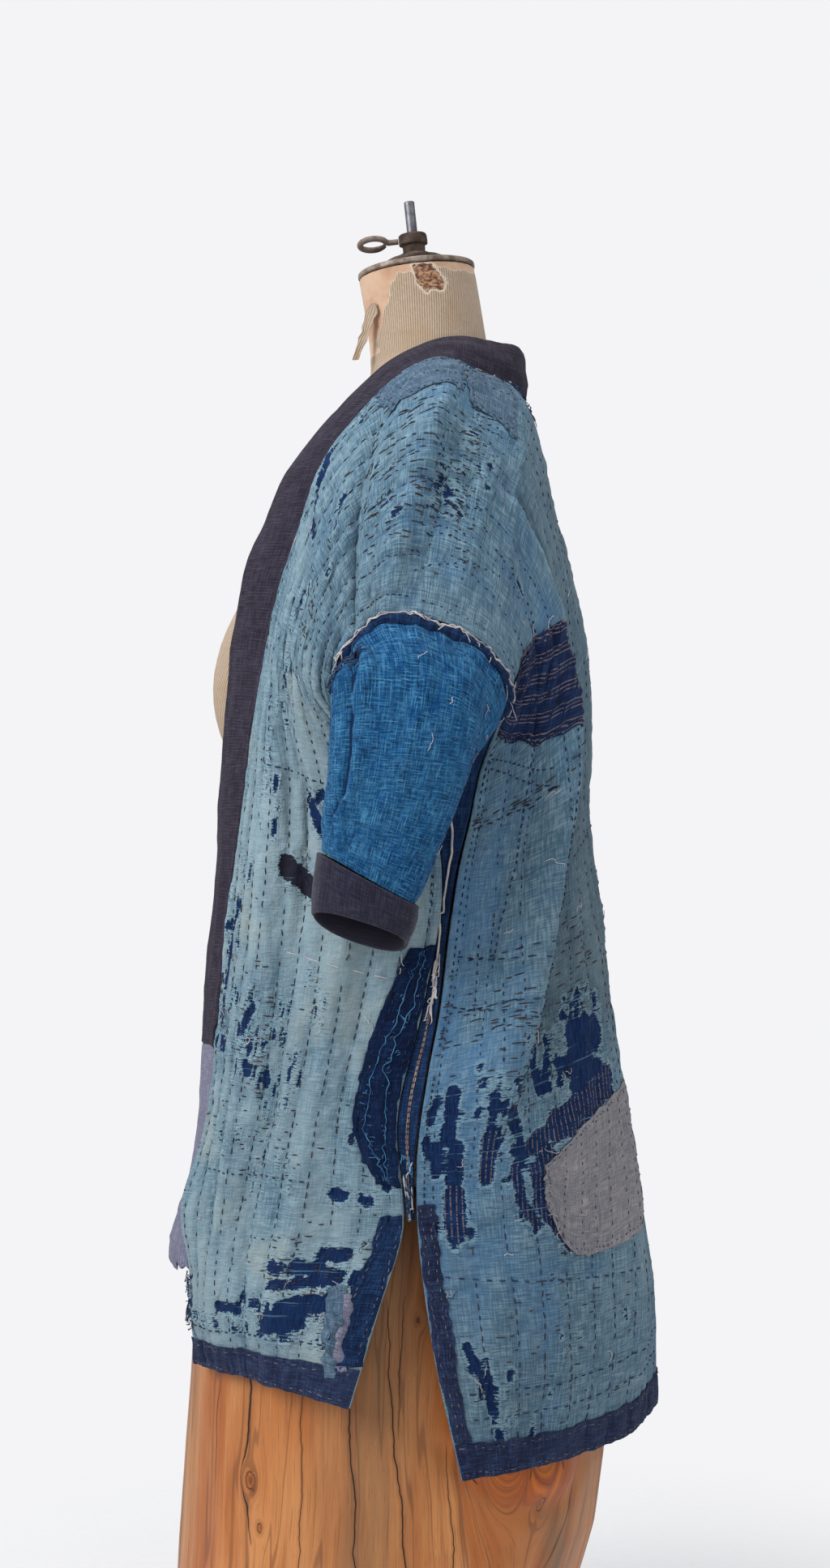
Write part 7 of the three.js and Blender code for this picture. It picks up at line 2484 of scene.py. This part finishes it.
# ---------------------------------------------------------------- what the jacket is sewn with
# Clusters of short darning stitches: across, along, spread across and along in millimetres, count, and
# whether they run along the strip.
DARNING = (
    (0.68, 11.4, 40, 40, 90, True), (0.7, 10.6, 40, 36, 60, True), (0.6, 11.9, 50, 36, 60, True),
    (0.5, 10.8, 60, 40, 60, True),
    (0.8, 11.9, 40, 40, 40, True), (0.45, 12.0, 40, 40, 30, True), (0.62, 9.0, 30, 50, 40, False),
    (0.85, 17.1, 60, 12, 40, False),
    (0.72, 21.0, 30, 60, 40, False), (0.82, 20.3, 70, 60, 60, False), (0.5, 20.2, 60, 60, 60, False),
    (0.7, 1.5, 60, 40, 50, False),
    (0.34, 3.6, 60, 80, 60, False), (0.6, 23.8, 120, 60, 60, False), (0.5, 2.6, 120, 60, 50, False),
)
# Rows of stitches along lines of cloth places, with their pitch and stitch length in millimetres.
SEWN_LINES = (
    (((0.5, 10.9), (0.5, 11.4)), 7.0, 5.0), (((0.55, 10.7), (0.6, 11.3)), 7.0, 4.5),
    (((0.9, 11.0), (0.85, 12.0), (0.8, 13.2)), 7.5, 4.5),
    (((0.75, 10.7), (0.7, 12.4)), 7.5, 4.5), (((0.75, 12.8), (0.75, 14.8)), 7.5, 4.5),
    (((0.03, 0.6), (0.5, 0.62), (0.97, 0.6)), 9.0, 5.5),
    (((0.03, 24.3), (0.5, 24.35), (0.93, 24.35)), 9.0, 5.5), (((0.03, 24.5), (0.5, 24.55), (0.93, 24.55)), 9.0, 5.5),
    (((0.7, 17.2), (0.97, 17.2)), 9.0, 5.0), (((0.65, 20.2), (0.97, 20.1)), 8.0, 5.0),
    (((0.6, 19.4), (0.95, 19.3)), 9.0, 5.0),
    (((0.1, 22.0), (0.6, 21.9)), 8.0, 4.5), (((0.3, 23.6), (0.95, 23.4)), 9.0, 5.0),
    (((0.975, 15.9), (0.975, 18.0), (0.98, 20.6)), 8.0, 4.6),
    (((0.64, 16.0), (0.68, 18.0), (0.71, 20.4), (0.75, 21.2)), 6.5, 3.6),
    (((0.77, 16.0), (0.8, 17.25), (0.8, 18.0), (0.83, 18.65), (0.85, 19.6)), 7.5, 5.2),
    (((0.96, 16.1), (0.7, 17.0)), 6.5, 4.4),
    (((0.96, 16.25), (0.72, 17.15)), 9.5, 6.0), (((0.97, 19.2), (0.72, 19.6)), 9.0, 5.8),
    (((0.97, 20.0), (0.73, 20.4)), 8.0, 5.0),
    (((0.9, 18.9), (0.89, 20.2)), 9.0, 5.0), (((0.82, 19.8), (0.81, 21.0)), 9.0, 5.0),
    (((0.98, 21.0), (0.98, 24.2)), 7.0, 4.0), (((0.96, 6.6), (0.96, 4.6)), 7.0, 4.0),
    (((0.1, 19.0), (0.6, 18.8)), 9.0, 5.0), (((0.2, 6.2), (0.75, 6.1)), 9.0, 5.0),
    (((0.15, 2.4), (0.7, 2.4)), 9.0, 5.0),
)
# Thick tufts of frayed cloth: behind the collar and at the front hem's corner.
TUFTS = ((0.03, 12.6), (0.04, 13.0), (0.04, 13.4), (0.05, 13.9), (0.02, 1.15), (0.03, 0.9), (0.05, 0.7))
# Short rows of white basting, left in.
BASTING = ((((0.42, 4.42), (0.6, 4.35), (0.84, 4.22)), 24.0, 16.0),)
# Cloth places where cut ends of the weave stand out as a fringe.
FRAYED = (
    (0.05, 11.5), (0.1, 11.5), (0.2, 11.5), (0.05, 12.2), (0.05, 12.6), (0.1, 12.9), (0.9, 1.8), (0.85, 1.3),
    (0.7, 1.3), (0.6, 0.9), (0.95, 23.6),
    (0.9, 22.2), (0.55, 21.4), (0.65, 22.2), (0.7, 22.8), (0.6, 23.2), (0.9, 24.2), (0.85, 3.4), (0.9, 4.3),
    (0.5, 5.2), (0.55, 5.9), (0.1, 3.8), (0.1, 4.3),
)
# The mesh pitch of the strips and sleeves in millimetres, finer on the side that is seen from near, and
# the share of running stitches that haven't worn away.
STRIP_PITCH = {Side.LEFT: 2.55, Side.RIGHT: 3.6}
SLEEVE_PITCH = {Side.LEFT: 2.1, Side.RIGHT: 3.0}
STITCHES_KEPT = {Side.LEFT: 0.85, Side.RIGHT: 0.5}


# ---------------------------------------------------------------- everything
def lengthwise(count: int) -> Array:
    """Ways (count, 2) along the cloth."""
    return np.tile([[0.0, 1.0]], (count, 1))


def all_holes(holes: Sequence[Hole], wear: Sequence[WornRun], seed: int) -> list[Hole]:
    """The single holes and the scattered ones."""
    return [*holes, *(h for i, run in enumerate(wear) for h in run.holes(seed + i))]


class Jacket:
    """The whole noragi: strips, patches, bands, collar, arms and all the threads in them."""

    def __init__(self) -> None:
        """Makes the finishes and works out both strips."""
        self.faded = MendedFinish("faded indigo", "#668799", "#98b2be", "#25415a", slub=0.9, fading=0.6, crumple=1.35)
        self.navy = ClothFinish(
            "navy cotton", "#0e2345", "#305585", "#070f26", fading=0.5, streaks=0.22, crumple=1.4, lining="#0d1529"
        )
        self.selvedged = ClothFinish(
            "deep navy cotton", "#081a3b", "#1f3e6c", "#040b1f", fading=0.4, streaks=0.15, crumple=1.5,
            lining="#0d1529",
        )
        self.binding = ClothFinish(
            "binding cotton", "#1a2743", "#455679", "#15122a", fading=0.55, streaks=0.22, crumple=1.5,
            lining="#0d1529",
        )
        self.washed = ClothFinish("washed indigo", "#526a80", "#8094a4", "#2a4156", fading=0.6)
        self.striped = ClothFinish(
            "striped navy", "#162749", "#34517f", "#0d1230", fading=0.5, stripes=Stripes.ACROSS, stripe_mm=2.9,
            stripe_ink="#8f7a70", stripe_strength=0.7, grouped=5.0,
        )
        self.check = ClothFinish(
            "grey check", "#85848a", "#b3ada9", "#5d5e69", fading=0.55, stripes=Stripes.ALONG, stripe_mm=3.2,
            stripe_ink="#9a8f90", stripe_strength=0.3,
        )
        self.charcoal = ClothFinish(
            "charcoal cotton", "#302b3a", "#545060", "#1a1822", fading=0.35, stripes=Stripes.ACROSS, stripe_mm=2.6,
            stripe_ink="#5a4f50", stripe_strength=0.2, lining="#2a2831",
        )
        self.velvet = ClothFinish(
            "charcoal cuff", "#25243a", "#4b4858", "#141320", fading=0.5, nap=1.4, sheen=0.2, lining="#2a2734"
        )
        self.lavender = ClothFinish(
            "lavender cotton", "#807f94", "#aeadbd", "#56576e", fading=0.4, stripes=Stripes.ALONG, stripe_mm=3.4,
            stripe_ink="#4a4b62", stripe_strength=0.45,
        )
        self.bright = ClothFinish(
            "bright indigo", "#02477b", "#66abce", "#021a3a", thread_mm=1.0, slub=1.3, fading=0.26, streaks=0.5,
            crumple=1.0, lining="#123055",
        )
        self.left = BodyStrip(
            Side.LEFT, LEFT_FOLDS, LEFT_CREASES, all_holes(LEFT_HOLES, LEFT_WEAR, 700), LEFT_LIP, 100
        )
        self.right = BodyStrip(
            Side.RIGHT, RIGHT_FOLDS, RIGHT_CREASES, all_holes(RIGHT_HOLES, RIGHT_WEAR, 800), RIGHT_LIP, 200
        )

    def make(self) -> None:
        """Builds every piece."""
        faded, navy, washed, striped, check = (
            f.make() for f in (self.faded, self.navy, self.washed, self.striped, self.check)
        )
        binding, flap = self.binding.make(), self.selvedged.make()
        charcoal, velvet, lavender, bright = (
            f.make() for f in (self.charcoal, self.velvet, self.lavender, self.bright)
        )
        brown = ThreadFinish("brown thread", "#1f1a25", "#3d2f2c").make()
        blue = ThreadFinish("indigo thread", "#0c1b38", "#1f3a5c").make()
        ecru = ThreadFinish("pale thread", "#c9c2c0", "#a5a3ad").make()
        sky = ThreadFinish("bright blue thread", "#1a4d7c", "#4b86ae").make()
        tan = ThreadFinish("buff thread", "#8b7264", "#a98f7d").make()
        purple = ThreadFinish("plum thread", "#4c4157", "#76696f").make()
        cloths = {"navy_cotton": navy, "washed_indigo": washed, "striped_navy": striped, "grey_check": check}
        bands = {"side_flap": flap, "front_hem_band": binding, "back_hem_band": binding, "back_vent_band": binding}
        for strip, patches, seed in ((self.left, LEFT_PATCHES, 900), (self.right, RIGHT_PATCHES, 1900)):
            hand = strip.side.hand
            body = strip.make(faded, STRIP_PITCH[strip.side])
            dark = ThreadWork(f"{hand}_running_stitches", brown)
            strip.row_stitches(dark, strip.PITCH, STITCHES_KEPT[strip.side])
            strip.darning(dark, DARNING)
            deep = ThreadWork(f"{hand}_indigo_stitches", blue)
            for path, step, size in SEWN_LINES:
                strip.sewn_line(deep, path, step, size)
            pale = ThreadWork(f"{hand}_pale_threads", ecru)
            for path, step, size in BASTING:
                strip.sewn_line(pale, path, step, size, 0.5)
            azure = ThreadWork(f"{hand}_blue_frays", sky)
            buff = ThreadWork(f"{hand}_buff_stitches", tan)
            plum = ThreadWork(f"{hand}_plum_stitches", purple)
            self.frays(strip.cloth, deep, azure, pale, seed)
            for i, patch in enumerate(patches):
                wall, cloth = patch.make(strip, bands.get(patch.name, cloths[patch.slot]), seed + 10 * i)
                patch.sheet(wall, cloth, body.name)
                if i < SEWN_ALL_ROUND:
                    self.edge_stitches(dark, deep, cloth, seed + 10 * i)
                else:
                    self.binding_stitches(plum, cloth, seed + 10 * i)
                if patch.name == "side_flap":
                    self.selvedge(azure, cloth, seed)
            if strip.side is Side.LEFT:
                self.torn_ends(strip, body, washed, lavender)
            arm = Arm(strip, seed + 300)
            pieces = arm.make(bright, velvet, navy, SLEEVE_PITCH[strip.side])
            self.arm_threads(arm, pale, deep, dark, azure, buff)
            arm.overcast(pale, deep)
            self.declare_arm(arm)
            threads = [dark.make(), deep.make(), pale.make(), azure.make(), buff.make(), plum.make()]
            _, long = strip.cloth.metres()
        collar = Collar(self.left, self.right)
        wall, band = collar.make(charcoal)
        band.metres()
        for side in Side:
            wall, band = collar.end(side, lavender)
            band.metres()

    def frays(self, cloth: Surface, deep: ThreadWork, azure: ThreadWork, pale: ThreadWork, seed: int) -> None:
        """The tufts, the stray thread ends and the fringes of a body strip."""
        rng = np.random.default_rng(seed)

        def scattered(spots: Sequence[tuple[float, float]], each: int, spread: tuple[float, float]) -> Array:
            """Places round each spot, several to a spot."""
            return (
                np.repeat(np.array(spots), each, axis=0)
                + rng.normal(0, 1, (len(spots) * each, 2)) * np.array(spread)
            )

        tufts = scattered(TUFTS, 14, (0.015, 0.08))
        deep.loose(cloth, tufts, 15.0, 0.35, seed + 4, 6.0)
        azure.loose(cloth, tufts[::3], 12.0, 0.4, seed + 5, 3.0)
        spots = joined(rng.uniform(0.04, 0.94, 34), rng.uniform(0.5, 24.5, 34))
        pale.loose(cloth, spots, 16.0, 0.3, seed + 1, 2.5)
        fringes = scattered(FRAYED, 5, (0.012, 0.05))
        deep.loose(cloth, fringes, 9.0, 0.28, seed + 2, 4.0)
        pale.loose(cloth, fringes[::3], 12.0, 0.25, seed + 3, 5.0)

    def torn_ends(self, strip: BodyStrip, body: Piece, outer: Material, lining: Material) -> None:
        """The torn strip of cloth and the lining end that hang beside the front vent."""
        for torn, finish, seed in ((TORN_STRIP, outer, 77), (TORN_LINING, lining, 79)):
            laid = torn.surface(strip, seed)
            across, along = laid.spaced(TORN_PITCH, TORN_PITCH, PATCH_CLOTH / 2)
            wall = cloth_wall(torn.name, laid, finish, across, along, PATCH_CLOTH, PATCH_CLOTH)
            settle(wall, STAND, torn.slot)
            torn.sheet(wall, laid, body.name)

    def selvedge(self, azure: ThreadWork, flap: Surface, seed: int) -> None:
        """Two wavering bright threads down the flap's folded selvedge, with the short frays beside them."""
        rng = np.random.default_rng(seed + 70)
        s = np.linspace(0.02, 0.98, 240)
        for strand, middle in enumerate((0.34, 0.62)):
            t = (
                middle
                + 0.09 * np.sin(s * 9 + strand)
                + 0.09 * drift(s * 150, 9, seed + strand)
                + 0.04 * drift(s * 150, 3, seed + 9)
            )
            path = flap.at(s, t, 1.6 + 0.5 * np.sin(s * 130))
            azure.run(path, 0.36, flap.normal(s, t))
            at = rng.integers(0, 240, 60)
            azure.loose(flap, joined(s[at], t[at]), 6.0, 0.26, seed + 71 + strand, 2.5)

    def binding_stitches(self, thread: ThreadWork, band: Surface, seed: int) -> None:
        """Sews a hem or vent band down along both its long edges."""
        rng = np.random.default_rng(seed + 5)
        lifted = Surface(band.at(*band.grids(), BAND_CLOTH), 1.0, facing=band.facing)
        run, rise = band.size()
        s = np.arange(5.0, run - 4.0, 7.5) / run
        for t in (4.0 / rise, 1 - 4.0 / rise):
            places = joined(s, t + rng.normal(0, 0.6, len(s)) / rise)
            ways = joined(np.ones(len(s)), rng.normal(0, 0.15, len(s)))
            thread.sew(lifted, places, ways, rng.uniform(2.6, 4.6, len(s)), 0.4, 0.5)

    def edge_stitches(self, dark: ThreadWork, deep: ThreadWork, cloth: Surface, seed: int) -> None:
        """Sews a patch down round its edges and through its middle."""
        rng = np.random.default_rng(seed)
        wide, long = cloth.size()
        lifted = Surface(cloth.at(*cloth.grids(), PATCH_CLOTH), 1.0, facing=cloth.facing)
        for along_edge, at in (
            (True, 4.0 / long), (True, 1 - 4.0 / long), (False, 4.0 / wide), (False, 1 - 4.0 / wide)
        ):
            run = wide if along_edge else long
            s = np.arange(4.0, run - 3.0, 6.5) / run
            places = np.stack([s, np.full(len(s), at)] if along_edge else [np.full(len(s), at), s], axis=-1)
            ways = (
                np.tile([[1.0, 0.0]] if along_edge else [[0.0, 1.0]], (len(s), 1))
                + rng.normal(0, 0.1, (len(s), 2))
            )
            deep.sew(lifted, places, ways, rng.uniform(2.6, 4.4, len(s)), 0.36)
        for k in range(1, max(2, int(wide / 24))):
            s = np.arange(6.0, long - 5.0, 8.5) / long
            places = joined(np.full(len(s), k * 24 / wide) + rng.normal(0, 0.8, len(s)) / wide, s)
            places = places[places[:, 0] < 0.96]
            dark.sew(lifted, places, lengthwise(len(places)), rng.uniform(2.6, 4.4, len(places)), 0.34)

    def arm_threads(
        self, arm: Arm, pale: ThreadWork, deep: ThreadWork, dark: ThreadWork, azure: ThreadWork, buff: ThreadWork
    ) -> None:
        """The gusset's white cord, its knot and its double line of stitches, and the sleeve's stitches."""
        g = arm.gusset
        rng = np.random.default_rng(arm.seed + 60)
        t = np.linspace(0.97, 0.44, 150)
        wander = 0.62 + 0.05 * np.sin(t * 21) + 0.03 * drift(t * 100, 4, arm.seed)
        path = g.at(wander, t, 1.2 + 0.5 * np.sin(t * 60))
        pale.run(path, 1.0, g.normal(wander, t))
        middle = np.array([[0.62, 0.43]])
        for reach, radius, stand, count in ((26, 0.9, 5.0, 7), (34, 0.45, 7.0, 9)):
            pale.loose(g, np.repeat(middle, count, axis=0), reach, radius, arm.seed + count, stand)
        dark.loose(g, np.repeat(np.array([[0.5, 0.03]]), 9, axis=0), 30, 0.5, arm.seed + 61, 6.0)
        pale.loose(g, np.repeat(np.array([[0.45, 0.02]]), 7, axis=0), 34, 0.6, arm.seed + 62, 6.0)
        deep.loose(g, np.repeat(np.array([[0.4, 0.05]]), 12, axis=0), 20, 0.5, arm.seed + 63, 6.0)
        _, long = g.size()
        for across in (0.5, 0.6):
            v = np.arange(0.03, 0.43, 4.0 / long)
            places = joined(across + 0.05 * np.sin(v * 22) + rng.normal(0, 0.006, len(v)), v)
            buff.sew(g, places, lengthwise(len(v)), np.full(len(v), 4.2), 0.5)
        azure.loose(g, joined(rng.uniform(0.2, 0.9, 40), rng.uniform(0.0, 0.12, 40)), 12, 0.4, arm.seed + 65, 4.0)
        s = arm.sleeve_cloth
        outer = Surface(s.at(*s.grids(), SLEEVE_CLOTH / 2), 1.0, wraps=True, facing=s.facing)
        total, long = s.size()
        for k in range(arm.SLEEVE_ROW_COUNT):
            y = np.arange(6.0, long - 5.0, 8.0)
            row = arm.sleeve_row(k, total, y)
            places = joined(row / total, y / long)
            places = places[rng.uniform(0, 1, len(places)) < 0.8]
            deep.sew(outer, places, lengthwise(len(places)), rng.uniform(2.4, 4.2, len(places)), 0.34)
        m = 60
        places = joined(rng.uniform(0, 1, m), rng.uniform(0.05, 0.95, m))
        deep.sew(outer, places, np.tile([[1.0, 0.1]], (m, 1)), rng.uniform(2.0, 6.0, m), 0.34)
        places = joined(rng.uniform(0, 1, 16), rng.uniform(0.1, 0.95, 16))
        pale.loose(outer, places, 12, 0.28, arm.seed + 64, 2.0)
        places = joined(rng.uniform(0.0, 0.12, 60), rng.uniform(0.03, 0.22, 60))
        deep.loose(outer, places, 15, 0.6, arm.seed + 66, 5.0)
        azure.loose(outer, places[::4], 12, 0.4, arm.seed + 67, 5.0)

    def declare_arm(self, arm: Arm) -> None:
        """Works out the flat sizes of the gusset, the sleeve and the cuff, and keeps nothing of them."""
        arm.gusset.metres()
        for key, tube in (("sleeve", arm.sleeve_cloth), ("cuff", arm.cuff_cloth)):
            tube.metres()


def main() -> None:
    """Builds the jacket, its stand and the studio."""
    logging.basicConfig(level=logging.INFO, format="%(message)s")
    Jacket().make()
    FormTorso().make(LinenFinish().make())
    Stump().make(WoodFinish(CRACKS).make())
    pewter = MetalFinish("pewter cap", "#a39488", "#695a50", 0.6, 0.4, 0.3, True).make()
    iron = MetalFinish("rusted iron", "#5a4840", "#35271f", 0.7, 0.35, 0.8).make()
    steel = MetalFinish("steel rod", "#7f8086", "#55545a", 0.5, 0.8, 0.15, True).make()
    worn = MetalFinish("worn iron", "#8a7a70", "#55463e", 0.6, 0.4, 0.8).make()
    NeckHardware().make(pewter, iron, steel, worn)
    Studio().make()


if __name__ == "__main__":
    main()
